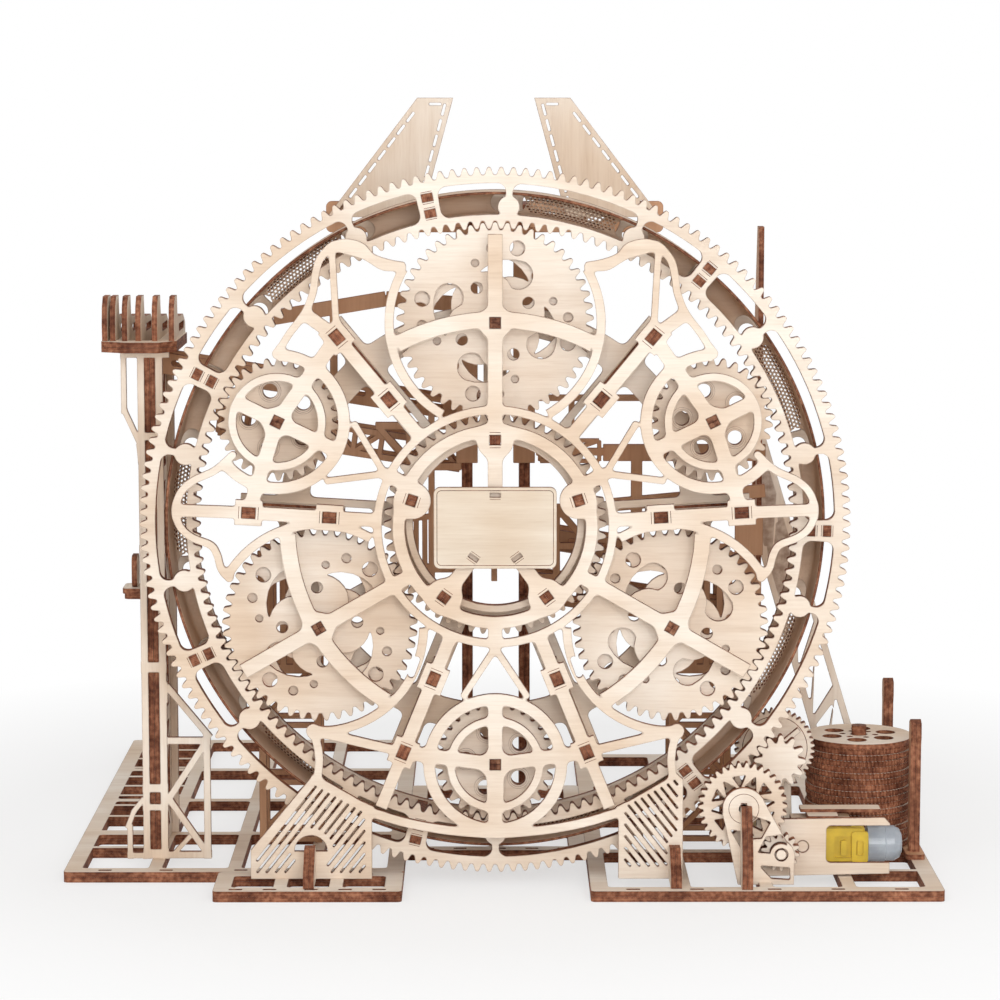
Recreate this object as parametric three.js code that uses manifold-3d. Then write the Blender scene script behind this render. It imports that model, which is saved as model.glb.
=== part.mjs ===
// A tabletop marble run wheel, cut from birch plywood and driven by a small gear motor.
// Millimetres. X points right, Y away from the viewer, Z up. The origin is the middle of the
// footprint, on the table.
import * as THREE from 'three';
import { mergeVertices } from 'three/addons/utils/BufferGeometryUtils.js';
import Module from 'manifold-3d';

const wasm = await Module();
wasm.setup();

// Stock and fits
const PLY_THICKNESS = 2.8;
const DOUBLE_THICKNESS = 2 * PLY_THICKNESS;
const SLOT_FIT = 0.15;
const RUNNING_FIT = 0.35;
const SIDE_PLAY = 0.3;
const OVERRUN = 2;

// Footprint
const FOOTPRINT_WIDTH = 457;
const FOOTPRINT_DEPTH = 390;
const HALF_WIDTH = FOOTPRINT_WIDTH / 2;
const HALF_DEPTH = FOOTPRINT_DEPTH / 2;

// The wheel and its gear train
const WHEEL_X = -2;
const WHEEL_Z = 190;
const TRAIN_MODULE_LENGTH = 2;
const RING_OUTER_TEETH = 182;
const RING_INNER_TEETH = 154;
const PLANET_TEETH = 49;
const SUN_TEETH = 56;
const SMALL_TEETH = 30;
const PINION_TEETH = 12;
const DRIVE_MODULE_LENGTH = 1.3;
const DRIVE_TEETH = 34;
const MOTOR_TEETH = 14;
const ADDENDUM_SHARE = 0.84;
const DEDENDUM_SHARE = 1.16;

const pitchRadius = (teeth, module) => teeth * module / 2;
const RING_OUTER_RADIUS = pitchRadius(RING_OUTER_TEETH, TRAIN_MODULE_LENGTH);
const RING_INNER_RADIUS = pitchRadius(RING_INNER_TEETH, TRAIN_MODULE_LENGTH);
const PLANET_RADIUS = pitchRadius(PLANET_TEETH, TRAIN_MODULE_LENGTH);
const SUN_RADIUS = pitchRadius(SUN_TEETH, TRAIN_MODULE_LENGTH);
const SMALL_RADIUS = pitchRadius(SMALL_TEETH, TRAIN_MODULE_LENGTH);
const PINION_RADIUS = pitchRadius(PINION_TEETH, TRAIN_MODULE_LENGTH);
const DRIVE_RADIUS = pitchRadius(DRIVE_TEETH, DRIVE_MODULE_LENGTH);
const MOTOR_PINION_RADIUS = pitchRadius(MOTOR_TEETH, DRIVE_MODULE_LENGTH);
const PLANET_ORBIT_RADIUS = SUN_RADIUS + PLANET_RADIUS;
const SMALL_ORBIT_RADIUS = RING_INNER_RADIUS - SMALL_RADIUS;
const PINION_ORBIT_RADIUS = RING_OUTER_RADIUS + PINION_RADIUS;
const PLANET_ANGLES = { top: 90, left: 210, right: 330 };
const SMALL_ANGLES = { right: 26, left: 154, bottom: 270 };
const DRIVE_ANGLE = -48.6;
const TAKEOFF_ANGLE = -40;
const MOTOR_ANGLE = -51;

// Layers from front to back
const FRONT_SETBACK_DEPTH = 27;
const FRONT_FACE_Y = -HALF_DEPTH + FRONT_SETBACK_DEPTH;
const FRONT_FRAME_BACK_Y = FRONT_FACE_Y + PLY_THICKNESS;
const FRAME_TO_GEARS_GAP = 9.2;
const GEAR_FRONT_Y = FRONT_FRAME_BACK_Y + FRAME_TO_GEARS_GAP;
const GEAR_BACK_Y = GEAR_FRONT_Y + DOUBLE_THICKNESS;
const GEARS_TO_REAR_FRAME_GAP = 10.4;
const REAR_FRAME_FRONT_Y = GEAR_BACK_Y + GEARS_TO_REAR_FRAME_GAP;
const REAR_FRAME_BACK_Y = REAR_FRAME_FRONT_Y + PLY_THICKNESS;
const GUTTER_DEPTH = 34;
const REAR_RING_FRONT_Y = GEAR_BACK_Y + GUTTER_DEPTH;

// Round outlines
const FINE_SIDES = 32;
const HUB_SIDES = 24;
const ROUND_SIDES = 12;
const HOLE_SIDES = 8;
const SMALL_SIDES = 6;

// Materials
const wood = new THREE.MeshStandardMaterial({ color: 0xecd9c4, roughness: 0.7, metalness: 0 });
const darkWood = new THREE.MeshStandardMaterial({ color: 0x8a5a41, roughness: 0.75, metalness: 0 });
const yellowPlastic = new THREE.MeshStandardMaterial({ color: 0xdcbe28, roughness: 0.4, metalness: 0 });
const clearPlastic = new THREE.MeshStandardMaterial({ color: 0xb4bec8, roughness: 0.2, metalness: 0 });

// Angles and points
const radians = (degrees) => THREE.MathUtils.degToRad(degrees);
const point = (x, y) => new THREE.Vector2(x, y);
const polar = (radius, degrees, x = 0, y = 0) =>
  point(x + radius * Math.cos(radians(degrees)), y + radius * Math.sin(radians(degrees)));

// Outlines, each a closed list of points, counter-clockwise
function circle(radius, sides, x = 0, y = 0, startDegrees = 0) {
  const points = [];
  for (let side = 0; side < sides; side += 1) {
    points.push(polar(radius, startDegrees + 360 * side / sides, x, y));
  }
  return points;
}

function arcBand(inner, outer, fromDegrees, toDegrees, steps, x = 0, y = 0) {
  const points = [];
  for (let step = 0; step <= steps; step += 1) {
    points.push(polar(outer, fromDegrees + (toDegrees - fromDegrees) * step / steps, x, y));
  }
  for (let step = steps; step >= 0; step -= 1) {
    points.push(polar(inner, fromDegrees + (toDegrees - fromDegrees) * step / steps, x, y));
  }
  return points;
}

function bar(start, end, width) {
  const along = end.clone().sub(start).normalize();
  const across = point(-along.y, along.x).multiplyScalar(width / 2);
  return [
    start.clone().sub(across),
    end.clone().sub(across),
    end.clone().add(across),
    start.clone().add(across),
  ];
}

function radialBar(degrees, fromRadius, toRadius, width) {
  return bar(polar(fromRadius, degrees), polar(toRadius, degrees), width);
}

function rectangle(fromX, toX, fromY, toY) {
  return [point(fromX, fromY), point(toX, fromY), point(toX, toY), point(fromX, toY)];
}

function roundedRectangle(fromX, toX, fromY, toY, corner) {
  const centres = [
    point(toX - corner, toY - corner),
    point(fromX + corner, toY - corner),
    point(fromX + corner, fromY + corner),
    point(toX - corner, fromY + corner),
  ];
  const points = [];
  centres.forEach((centre, quarter) => {
    for (const share of [0, 1 / 2, 1]) {
      points.push(polar(corner, 90 * (quarter + share), centre.x, centre.y));
    }
  });
  return points;
}

function ribbon(places, width) {
  const curve = new THREE.SplineCurve(places);
  const left = [];
  const right = [];
  const steps = places.length - 1;
  for (let step = 0; step <= steps; step += 1) {
    const share = step / steps;
    const here = curve.getPoint(share);
    const along = curve.getTangent(share);
    const across = point(-along.y, along.x).multiplyScalar(width / 2);
    left.push(here.clone().add(across));
    right.push(here.clone().sub(across));
  }
  return right.concat(left.reverse());
}

// Straight-flanked teeth with V-shaped gaps, the first tooth on the X axis
function toothedOutline(teeth, tipRadius, rootRadius) {
  const points = [];
  for (let tooth = 0; tooth < teeth; tooth += 1) {
    points.push(polar(tipRadius, 360 * tooth / teeth));
    points.push(polar(rootRadius, 360 * (tooth + 1 / 2) / teeth));
  }
  return points;
}

function gearOutline(teeth, module) {
  const radius = pitchRadius(teeth, module);
  return toothedOutline(teeth, radius + ADDENDUM_SHARE * module, radius - DEDENDUM_SHARE * module);
}

function innerGearOutline(teeth, module) {
  const radius = pitchRadius(teeth, module);
  return toothedOutline(teeth, radius - ADDENDUM_SHARE * module, radius + DEDENDUM_SHARE * module);
}

// Solids. A sheet is an outline given a thickness, then turned to face forward, up or sideways
function solidFrom(geometry) {
  geometry.deleteAttribute('normal');
  geometry.deleteAttribute('uv');
  const merged = mergeVertices(geometry);
  return new wasm.Manifold(new wasm.Mesh({
    numProp: 3,
    vertProperties: new Float32Array(merged.attributes.position.array),
    triVerts: new Uint32Array(merged.index.array),
  }));
}

const VIEWS = {
  facing: new THREE.Matrix4().makeBasis(
    new THREE.Vector3(1, 0, 0), new THREE.Vector3(0, 0, 1), new THREE.Vector3(0, -1, 0)),
  flat: new THREE.Matrix4(),
  sideways: new THREE.Matrix4().makeBasis(
    new THREE.Vector3(0, 1, 0), new THREE.Vector3(0, 0, 1), new THREE.Vector3(1, 0, 0)),
};

function extruded(outline, thickness, view, offset) {
  const geometry = new THREE.ExtrudeGeometry(new THREE.Shape(outline), {
    depth: thickness,
    bevelEnabled: false,
    curveSegments: 1,
  });
  geometry.applyMatrix4(VIEWS[view]);
  geometry.translate(offset.x, offset.y, offset.z);
  return solidFrom(geometry);
}

// A sheet that faces the viewer: the outline's points are x and z
function facing(outline, frontY, thickness = PLY_THICKNESS) {
  return extruded(outline, thickness, 'facing', new THREE.Vector3(0, frontY + thickness, 0));
}

// A sheet that lies flat: the outline's points are x and y
function flat(outline, bottomZ, thickness = PLY_THICKNESS) {
  return extruded(outline, thickness, 'flat', new THREE.Vector3(0, 0, bottomZ));
}

// A sheet seen edge on: the outline's points are y and z
function sideways(outline, leftX, thickness = PLY_THICKNESS) {
  return extruded(outline, thickness, 'sideways', new THREE.Vector3(leftX, 0, 0));
}

function cutterFacing(outline, frontY, thickness = PLY_THICKNESS) {
  return facing(outline, frontY - OVERRUN, thickness + 2 * OVERRUN);
}

function cutterFlat(outline, bottomZ, thickness = PLY_THICKNESS) {
  return flat(outline, bottomZ - OVERRUN, thickness + 2 * OVERRUN);
}

function cutterSideways(outline, leftX, thickness = PLY_THICKNESS) {
  return sideways(outline, leftX - OVERRUN, thickness + 2 * OVERRUN);
}

// A sheet in a plane through the wheel's axis: the outline's points are radius and y
function radialSheet(outline, degrees, thickness) {
  const geometry = new THREE.ExtrudeGeometry(new THREE.Shape(outline), {
    depth: thickness,
    bevelEnabled: false,
  });
  geometry.translate(0, 0, -thickness / 2);
  const along = new THREE.Vector3(Math.cos(radians(degrees)), 0, Math.sin(radians(degrees)));
  const away = new THREE.Vector3(0, 1, 0);
  const across = new THREE.Vector3().crossVectors(along, away);
  geometry.applyMatrix4(new THREE.Matrix4().makeBasis(along, away, across));
  return solidFrom(geometry);
}

// A facing sheet drawn afresh from the edges of its front, without the points that lie inside
// its face or along a straight edge
const STRAIGHT_TOLERANCE = 0.02;

function retraced(sheet, frontY, thickness = PLY_THICKNESS) {
  const mesh = sheet.getMesh();
  const onFront = (vertex) => Math.abs(mesh.vertProperties[3 * vertex + 1] - frontY) < STRAIGHT_TOLERANCE;
  const edges = new Set();
  for (let start = 0; start < mesh.triVerts.length; start += 3) {
    const corners = Array.from(mesh.triVerts.slice(start, start + 3));
    if (corners.every(onFront)) {
      corners.forEach((corner, index) => edges.add(`${corner} ${corners[(index + 1) % 3]}`));
    }
  }
  const next = new Map();
  for (const edge of edges) {
    const [from, to] = edge.split(' ');
    if (!edges.has(`${to} ${from}`)) next.set(from, to);
  }
  const loops = [];
  while (next.size > 0) {
    const loop = [];
    let vertex = next.keys().next().value;
    while (next.has(vertex)) {
      loop.push(point(mesh.vertProperties[3 * vertex], mesh.vertProperties[3 * vertex + 2]));
      const following = next.get(vertex);
      next.delete(vertex);
      vertex = following;
    }
    loops.push(withoutStraightPoints(loop));
  }
  const isRim = (loop) => THREE.ShapeUtils.area(loop) > 0;
  const shape = new THREE.Shape(loops.find(isRim));
  shape.holes = loops.filter((loop) => !isRim(loop)).map((loop) => new THREE.Path(loop));
  const geometry = new THREE.ExtrudeGeometry(shape, { depth: thickness, bevelEnabled: false });
  geometry.applyMatrix4(VIEWS.facing);
  geometry.translate(0, frontY + thickness, 0);
  return solidFrom(geometry);
}

function withoutStraightPoints(loop) {
  const kept = [...loop];
  for (let index = kept.length - 1; index >= 0 && kept.length > 3; index -= 1) {
    const before = kept[(index + kept.length - 1) % kept.length];
    const after = kept[(index + 1) % kept.length];
    const along = after.clone().sub(before);
    const offset = kept[index].clone().sub(before);
    const away = Math.abs(along.cross(offset)) / Math.max(along.length(), STRAIGHT_TOLERANCE);
    if (away < STRAIGHT_TOLERANCE) kept.splice(index, 1);
  }
  return kept;
}

const joined = (solids) => solids.reduce((sum, solid) => sum.add(solid));
const carved = (solid, cutters) => cutters.reduce((rest, cutter) => rest.subtract(cutter), solid);

const model = new THREE.Group();

function addPiece(name, solid, material, x = 0, y = 0, z = 0, turnDegrees = 0) {
  const mesh = solid.getMesh();
  const geometry = new THREE.BufferGeometry();
  geometry.setAttribute('position', new THREE.BufferAttribute(mesh.vertProperties, 3));
  geometry.setIndex(new THREE.BufferAttribute(mesh.triVerts, 1));
  geometry.computeVertexNormals();
  const node = new THREE.Mesh(geometry, material);
  node.name = name;
  node.position.set(x, y, z);
  // A positive turn is counter-clockwise for the viewer
  node.rotation.y = -radians(turnDegrees);
  model.add(node);
  return node;
}

const addAtWheel = (name, solid, material = wood) =>
  addPiece(name, solid, material, WHEEL_X, 0, WHEEL_Z);

// The ring: a double sheet with teeth outside and inside, seven segments of windows
const SEGMENTS = 7;
const SEGMENT_DEGREES = 360 / SEGMENTS;
const FIRST_JOINT_DEGREES = -1.2;
const BALL_DISC_DEGREES = 14.1;
const RING_INNER_RIM_WIDTH = 5.5;
const RING_OUTER_RIM_WIDTH = 6.5;
const WINDOW_INNER_RADIUS = RING_INNER_RADIUS + RING_INNER_RIM_WIDTH;
const WINDOW_OUTER_RADIUS = RING_OUTER_RADIUS - RING_OUTER_RIM_WIDTH;
const WINDOW_MIDDLE_RADIUS = (WINDOW_INNER_RADIUS + WINDOW_OUTER_RADIUS) / 2;
const LONG_WINDOW_STEPS = 3;
const JOINT_WIDTH = 11;
const BALL_DISC_RADIUS = 6.2;
const BALL_NECK_WIDTH = 3.6;
const JOINT_SLOT_LENGTH = 4;
const JOINT_SLOT_SPACING_WIDTH = 8.2;
const JOINT_SLOT_RADII = [-1, 1].map((side) => WINDOW_MIDDLE_RADIUS + side * JOINT_SLOT_SPACING_WIDTH / 2);
const degreesAt = (length, radius) => THREE.MathUtils.radToDeg(length / radius);

function ringFront() {
  const cutters = [];
  const jointHalf = degreesAt(JOINT_WIDTH / 2, WINDOW_MIDDLE_RADIUS);
  const neckHalf = degreesAt(BALL_NECK_WIDTH / 2, WINDOW_MIDDLE_RADIUS);
  for (let segment = 0; segment < SEGMENTS; segment += 1) {
    const joint = FIRST_JOINT_DEGREES + SEGMENT_DEGREES * segment;
    const next = joint + SEGMENT_DEGREES;
    const stops = [
      [joint + jointHalf, joint + BALL_DISC_DEGREES - neckHalf, 1],
      [joint + BALL_DISC_DEGREES + neckHalf, next - BALL_DISC_DEGREES - neckHalf, LONG_WINDOW_STEPS],
      [next - BALL_DISC_DEGREES + neckHalf, next - jointHalf, 1],
    ];
    for (const [from, to, steps] of stops) {
      const window = arcBand(WINDOW_INNER_RADIUS, WINDOW_OUTER_RADIUS, from, to, steps);
      cutters.push(cutterFacing(window, GEAR_FRONT_Y, DOUBLE_THICKNESS));
    }
    for (const orbit of JOINT_SLOT_RADII) {
      const slot = radialBar(joint, orbit - JOINT_SLOT_LENGTH / 2 - SLOT_FIT,
        orbit + JOINT_SLOT_LENGTH / 2 + SLOT_FIT, DOUBLE_THICKNESS + 2 * SLOT_FIT);
      cutters.push(cutterFacing(slot, GEAR_FRONT_Y, DOUBLE_THICKNESS));
    }
  }
  const blank = facing(gearOutline(RING_OUTER_TEETH, TRAIN_MODULE_LENGTH), GEAR_FRONT_Y, DOUBLE_THICKNESS);
  const inside = innerGearOutline(RING_INNER_TEETH, TRAIN_MODULE_LENGTH);
  const bore = cutterFacing(inside, GEAR_FRONT_Y, DOUBLE_THICKNESS);
  const discs = [];
  for (let segment = 0; segment < SEGMENTS; segment += 1) {
    const joint = FIRST_JOINT_DEGREES + SEGMENT_DEGREES * segment;
    for (const side of [-1, 1]) {
      const centre = polar(WINDOW_MIDDLE_RADIUS, joint + side * BALL_DISC_DEGREES);
      const disc = circle(BALL_DISC_RADIUS, HOLE_SIDES, centre.x, centre.y);
      discs.push(facing(disc, GEAR_FRONT_Y, DOUBLE_THICKNESS));
    }
  }
  return retraced(joined([carved(blank, [bore, ...cutters]), ...discs]), GEAR_FRONT_Y, DOUBLE_THICKNESS);
}

// The rear ring carries seven radial webs whose tabs lock into the front ring's joints
const REAR_RING_LAP_WIDTH = 1.5;
const REAR_RING_WIDTH = 13;
const REAR_RING_INNER_RADIUS = WINDOW_INNER_RADIUS - REAR_RING_LAP_WIDTH;
const REAR_RING_OUTER_RADIUS = REAR_RING_INNER_RADIUS + REAR_RING_WIDTH;
const RING_WEB_INSET_WIDTH = 1;

function ringRear() {
  const band = carved(facing(circle(REAR_RING_OUTER_RADIUS, FINE_SIDES), REAR_RING_FRONT_Y), [
    cutterFacing(circle(REAR_RING_INNER_RADIUS, FINE_SIDES), REAR_RING_FRONT_Y),
  ]);
  const webs = [];
  for (let segment = 0; segment < SEGMENTS; segment += 1) {
    const joint = FIRST_JOINT_DEGREES + SEGMENT_DEGREES * segment;
    const outline = rectangle(REAR_RING_INNER_RADIUS + RING_WEB_INSET_WIDTH, REAR_RING_OUTER_RADIUS,
      GEAR_BACK_Y, REAR_RING_FRONT_Y + PLY_THICKNESS / 2);
    webs.push(radialSheet(outline, joint, DOUBLE_THICKNESS));
    for (const orbit of JOINT_SLOT_RADII) {
      const tab = rectangle(orbit - JOINT_SLOT_LENGTH / 2, orbit + JOINT_SLOT_LENGTH / 2,
        GEAR_FRONT_Y, GEAR_BACK_Y + PLY_THICKNESS);
      webs.push(radialSheet(tab, joint, DOUBLE_THICKNESS));
    }
  }
  return joined([band, ...webs]);
}

// Each gutter is a bent sheet between two joints, a U that opens toward the viewer
const GUTTER_WALL_THICKNESS = 1.4;
const GUTTER_HALF_WIDTH = 6.4;
const GUTTER_STEPS = 3;
const GUTTER_BEND_STEPS = 4;
const GUTTER_END_DEGREES = 1.3;

function gutter(segment) {
  const section = [];
  const bendY = REAR_RING_FRONT_Y - GUTTER_HALF_WIDTH;
  const middle = (REAR_RING_INNER_RADIUS + REAR_RING_OUTER_RADIUS) / 2;
  section.push([middle + GUTTER_HALF_WIDTH, GEAR_BACK_Y]);
  for (let step = 0; step <= GUTTER_BEND_STEPS; step += 1) {
    const turn = Math.PI * step / GUTTER_BEND_STEPS;
    section.push([middle + GUTTER_HALF_WIDTH * Math.cos(turn), bendY + GUTTER_HALF_WIDTH * Math.sin(turn)]);
  }
  section.push([middle - GUTTER_HALF_WIDTH, GEAR_BACK_Y]);
  const inside = GUTTER_HALF_WIDTH - GUTTER_WALL_THICKNESS;
  section.push([middle - inside, GEAR_BACK_Y]);
  for (let step = GUTTER_BEND_STEPS; step >= 0; step -= 1) {
    const turn = Math.PI * step / GUTTER_BEND_STEPS;
    section.push([middle + inside * Math.cos(turn), bendY + inside * Math.sin(turn)]);
  }
  section.push([middle + inside, GEAR_BACK_Y]);
  const joint = FIRST_JOINT_DEGREES + SEGMENT_DEGREES * segment;
  const from = joint + GUTTER_END_DEGREES;
  const to = joint + SEGMENT_DEGREES - GUTTER_END_DEGREES;
  return sweptRound(section, from, to, GUTTER_STEPS);
}

// A section of radius and y points, swept about the wheel's axis with closed ends
function sweptRound(section, fromDegrees, toDegrees, steps) {
  const positions = [];
  const indices = [];
  const count = section.length;
  for (let step = 0; step <= steps; step += 1) {
    const angle = radians(fromDegrees + (toDegrees - fromDegrees) * step / steps);
    for (const [radius, y] of section) {
      positions.push(radius * Math.cos(angle), y, radius * Math.sin(angle));
    }
  }
  for (let step = 0; step < steps; step += 1) {
    for (let side = 0; side < count; side += 1) {
      const here = step * count + side;
      const next = step * count + (side + 1) % count;
      indices.push(here, next, here + count, next, next + count, here + count);
    }
  }
  const outline = section.map(([radius, y]) => point(radius, y));
  const caps = THREE.ShapeUtils.triangulateShape(outline, []);
  const last = steps * count;
  for (const [a, b, c] of caps) {
    indices.push(a, c, b);
    indices.push(last + a, last + b, last + c);
  }
  const geometry = new THREE.BufferGeometry();
  geometry.setAttribute('position', new THREE.Float32BufferAttribute(positions, 3));
  geometry.setIndex(indices);
  return solidFrom(geometry);
}

// Gears of the train, each about its own axis
const AXLE_RADIUS = 3.2;
const AXLE_COLLAR_RADIUS = 5.5;
const AXLE_SQUARE_WIDTH = 5.6;
const BORE_RADIUS = AXLE_RADIUS + RUNNING_FIT;
const gearBlank = (teeth) =>
  facing(gearOutline(teeth, TRAIN_MODULE_LENGTH), GEAR_FRONT_Y, DOUBLE_THICKNESS);
const gearHole = (outline) => cutterFacing(outline, GEAR_FRONT_Y, DOUBLE_THICKNESS);
const circumscribed = (radius, sides) => radius / Math.cos(Math.PI / sides);
const axleBore = () => gearHole(circle(circumscribed(BORE_RADIUS, ROUND_SIDES), ROUND_SIDES));

// A comma: a round head whose tail sweeps round the gear's centre to a point
const COMMA_HEAD_STEPS = 4;
const COMMA_OUTER_SHARES = [[0.75, 0.45]];
const COMMA_INNER_SHARES = [[-0.55, 0.45]];

function comma(headRadius, orbit, degrees, tailDegrees) {
  const head = polar(orbit, degrees);
  const points = [];
  for (let step = 0; step <= COMMA_HEAD_STEPS; step += 1) {
    points.push(polar(headRadius, degrees - 180 + 180 * step / COMMA_HEAD_STEPS, head.x, head.y));
  }
  for (const [radiusShare, turnShare] of COMMA_OUTER_SHARES) {
    points.push(polar(orbit + headRadius * radiusShare, degrees + tailDegrees * turnShare));
  }
  points.push(polar(orbit, degrees + tailDegrees));
  for (const [radiusShare, turnShare] of COMMA_INNER_SHARES) {
    points.push(polar(orbit + headRadius * radiusShare, degrees + tailDegrees * turnShare));
  }
  return points;
}

const PLANET_CUTS = 3;
const COMMA_HEAD_RADIUS = 7.2;
const COMMA_ORBIT_SHARE = 0.5;
const COMMA_TAIL_DEGREES = 58;
const PLANET_HOLE_RADIUS = 4.1;
const PLANET_HOLE_ORBIT_SHARE = 0.76;
const PLANET_HOLE_DEGREES = 78;

function planetGear() {
  const holes = [axleBore()];
  for (let turn = 0; turn < PLANET_CUTS; turn += 1) {
    const degrees = 360 * turn / PLANET_CUTS;
    holes.push(gearHole(
      comma(COMMA_HEAD_RADIUS, COMMA_ORBIT_SHARE * PLANET_RADIUS, degrees, COMMA_TAIL_DEGREES)));
    const hole = polar(PLANET_HOLE_ORBIT_SHARE * PLANET_RADIUS, degrees + PLANET_HOLE_DEGREES);
    holes.push(gearHole(circle(PLANET_HOLE_RADIUS, SMALL_SIDES, hole.x, hole.y)));
  }
  return carved(gearBlank(PLANET_TEETH), holes);
}

const SMALL_GEAR_HOLES = 5;
const SMALL_GEAR_HOLE_RADIUS = 4.6;
const SMALL_GEAR_HOLE_ORBIT_RADIUS = 15.3;
const SMALL_GEAR_FIRST_HOLE_DEGREES = 34;

function smallGear() {
  const holes = [axleBore()];
  for (let turn = 0; turn < SMALL_GEAR_HOLES; turn += 1) {
    const centre = polar(SMALL_GEAR_HOLE_ORBIT_RADIUS,
      SMALL_GEAR_FIRST_HOLE_DEGREES + 360 * turn / SMALL_GEAR_HOLES);
    holes.push(gearHole(circle(SMALL_GEAR_HOLE_RADIUS, SMALL_SIDES, centre.x, centre.y)));
  }
  return carved(gearBlank(SMALL_TEETH), holes);
}

const SUN_BORE_RADIUS = 48.6;
const sunGear = () => carved(gearBlank(SUN_TEETH), [
  gearHole(circle(circumscribed(SUN_BORE_RADIUS, FINE_SIDES), FINE_SIDES)),
]);

// Mesh phases, in degrees of each gear's own turn
const pitchDegrees = (teeth) => 360 / teeth;

// A gear inside the ring: one of its teeth must fill the ring gap nearest its angle
function insideRingPhase(degrees, teeth) {
  const ringPitch = pitchDegrees(RING_INNER_TEETH);
  const gap = (Math.floor(degrees / ringPitch) + 1 / 2) * ringPitch;
  return degrees + (gap - degrees) * RING_INNER_TEETH / teeth;
}

// A gear outside the ring: one of its gaps must take the ring tooth nearest its angle
function outsideRingPhase(degrees, teeth) {
  const ringPitch = pitchDegrees(RING_OUTER_TEETH);
  const tooth = Math.round(degrees / ringPitch) * ringPitch;
  const facingWheel = degrees + 180;
  return facingWheel - (tooth - degrees) * RING_OUTER_TEETH / teeth + pitchDegrees(teeth) / 2;
}

// The sun: its gap takes the tooth that the top planet points inward
function sunPhase() {
  const top = PLANET_ANGLES.top;
  const planetPitch = pitchDegrees(PLANET_TEETH);
  const phase = insideRingPhase(top, PLANET_TEETH);
  const inward = top + 180;
  const tooth = Math.round((inward - phase) / planetPitch) * planetPitch + phase;
  return top - (tooth - inward) * PLANET_TEETH / SUN_TEETH + pitchDegrees(SUN_TEETH) / 2;
}

addAtWheel('ring_front', ringFront());
addAtWheel('ring_rear', ringRear());
for (let segment = 0; segment < SEGMENTS; segment += 1) {
  addAtWheel(`gutter_${segment + 1}`, gutter(segment));
}

const wheelPlace = (radius, degrees) => polar(radius, degrees, WHEEL_X, WHEEL_Z);

for (const [side, degrees] of Object.entries(PLANET_ANGLES)) {
  const place = wheelPlace(PLANET_ORBIT_RADIUS, degrees);
  addPiece(`planet_gear_${side}`, planetGear(), wood, place.x, 0, place.y,
    insideRingPhase(degrees, PLANET_TEETH));
}
for (const [side, degrees] of Object.entries(SMALL_ANGLES)) {
  const place = wheelPlace(SMALL_ORBIT_RADIUS, degrees);
  addPiece(`small_gear_${side}`, smallGear(), wood, place.x, 0, place.y,
    insideRingPhase(degrees, SMALL_TEETH));
}
addPiece('sun_gear', sunGear(), wood, WHEEL_X, 0, WHEEL_Z, sunPhase());

const squareOutline = (width, centre, degrees) =>
  bar(polar(-width / 2, degrees, centre.x, centre.y), polar(width / 2, degrees, centre.x, centre.y), width);

// Axles: square ends in both frames, collars either side of the gear
function axle(degrees) {
  const between = (radius, sides, fromY, toY) => facing(circle(radius, sides), fromY, toY - fromY);
  const square = squareOutline(AXLE_SQUARE_WIDTH, point(0, 0), degrees);
  const body = joined([
    facing(square, FRONT_FACE_Y, REAR_FRAME_BACK_Y - FRONT_FACE_Y),
    between(AXLE_COLLAR_RADIUS, SMALL_SIDES, FRONT_FRAME_BACK_Y, GEAR_FRONT_Y - SIDE_PLAY),
    between(AXLE_COLLAR_RADIUS, SMALL_SIDES, GEAR_BACK_Y + SIDE_PLAY, REAR_FRAME_FRONT_Y),
  ]);
  const neckFront = GEAR_FRONT_Y - SIDE_PLAY;
  const neckBack = GEAR_BACK_Y + SIDE_PLAY;
  const core = carved(body, [
    facing(circle(AXLE_COLLAR_RADIUS + OVERRUN, SMALL_SIDES), neckFront, neckBack - neckFront),
  ]);
  return core.add(between(AXLE_RADIUS, ROUND_SIDES, neckFront, neckBack));
}

for (const [side, degrees] of Object.entries(PLANET_ANGLES)) {
  const place = wheelPlace(PLANET_ORBIT_RADIUS, degrees);
  addPiece(`planet_axle_${side}`, axle(degrees), darkWood, place.x, 0, place.y);
}
for (const [side, degrees] of Object.entries(SMALL_ANGLES)) {
  const place = wheelPlace(SMALL_ORBIT_RADIUS, degrees);
  addPiece(`small_axle_${side}`, axle(degrees), darkWood, place.x, 0, place.y);
}

// The front frame: hub, spokes, cross beams, hoops, beams, lobes, bottom band and feet
const HUB_INNER_RADIUS = 46.5;
const HUB_OUTER_RADIUS = 53;
const HUB_BAND_INNER_RADIUS = 58;
const HUB_BAND_OUTER_RADIUS = 62.5;
const LOBES = 5;
const LOBE_DEGREES = 360 / LOBES;
const FIRST_LOBE_DEGREES = 90;
const LOBE_RADIUS = 8.6;
const LOBE_ORBIT_RADIUS = 45;
const SPOKE_WIDTH = 7.5;
const SPOKE_TIP_RADIUS = 150;
const CROSS_BEAM_RADIUS = 106.6;
const CROSS_BEAM_WIDTH = 8;
const CROSS_BEAM_DEGREES = 28;
const HOOP_RADIUS = 54;
const HOOP_WIDTH = 4.4;
const HOOP_FROM_DEGREES = 60;
const HOOP_TO_DEGREES = 150;
const WEB_SLOT_INNER_RADIUS = 85.2;
const WEB_SLOT_OUTER_RADIUS = 126.7;
const WEB_SLOT_RADII = [WEB_SLOT_INNER_RADIUS, WEB_SLOT_OUTER_RADIUS];
const WEB_SLOT_LENGTH = 7;
const BEAM_ANGLES = { upper: 50.5, side: 3.4, lower: -68 };
const BEAM_WIDTH = 6.6;
const PAD_WIDTH = 13;
const PAD_LENGTH = 16;
const SMALL_HOOP_OUTER_RADIUS = 37.2;
const SMALL_HOOP_INNER_RADIUS = 31.2;
const SMALL_RING_OUTER_RADIUS = 24.8;
const SMALL_RING_INNER_RADIUS = 21;
const ARM_WIDTH = 7.2;
const STRUT_WIDTH = 3.4;
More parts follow.
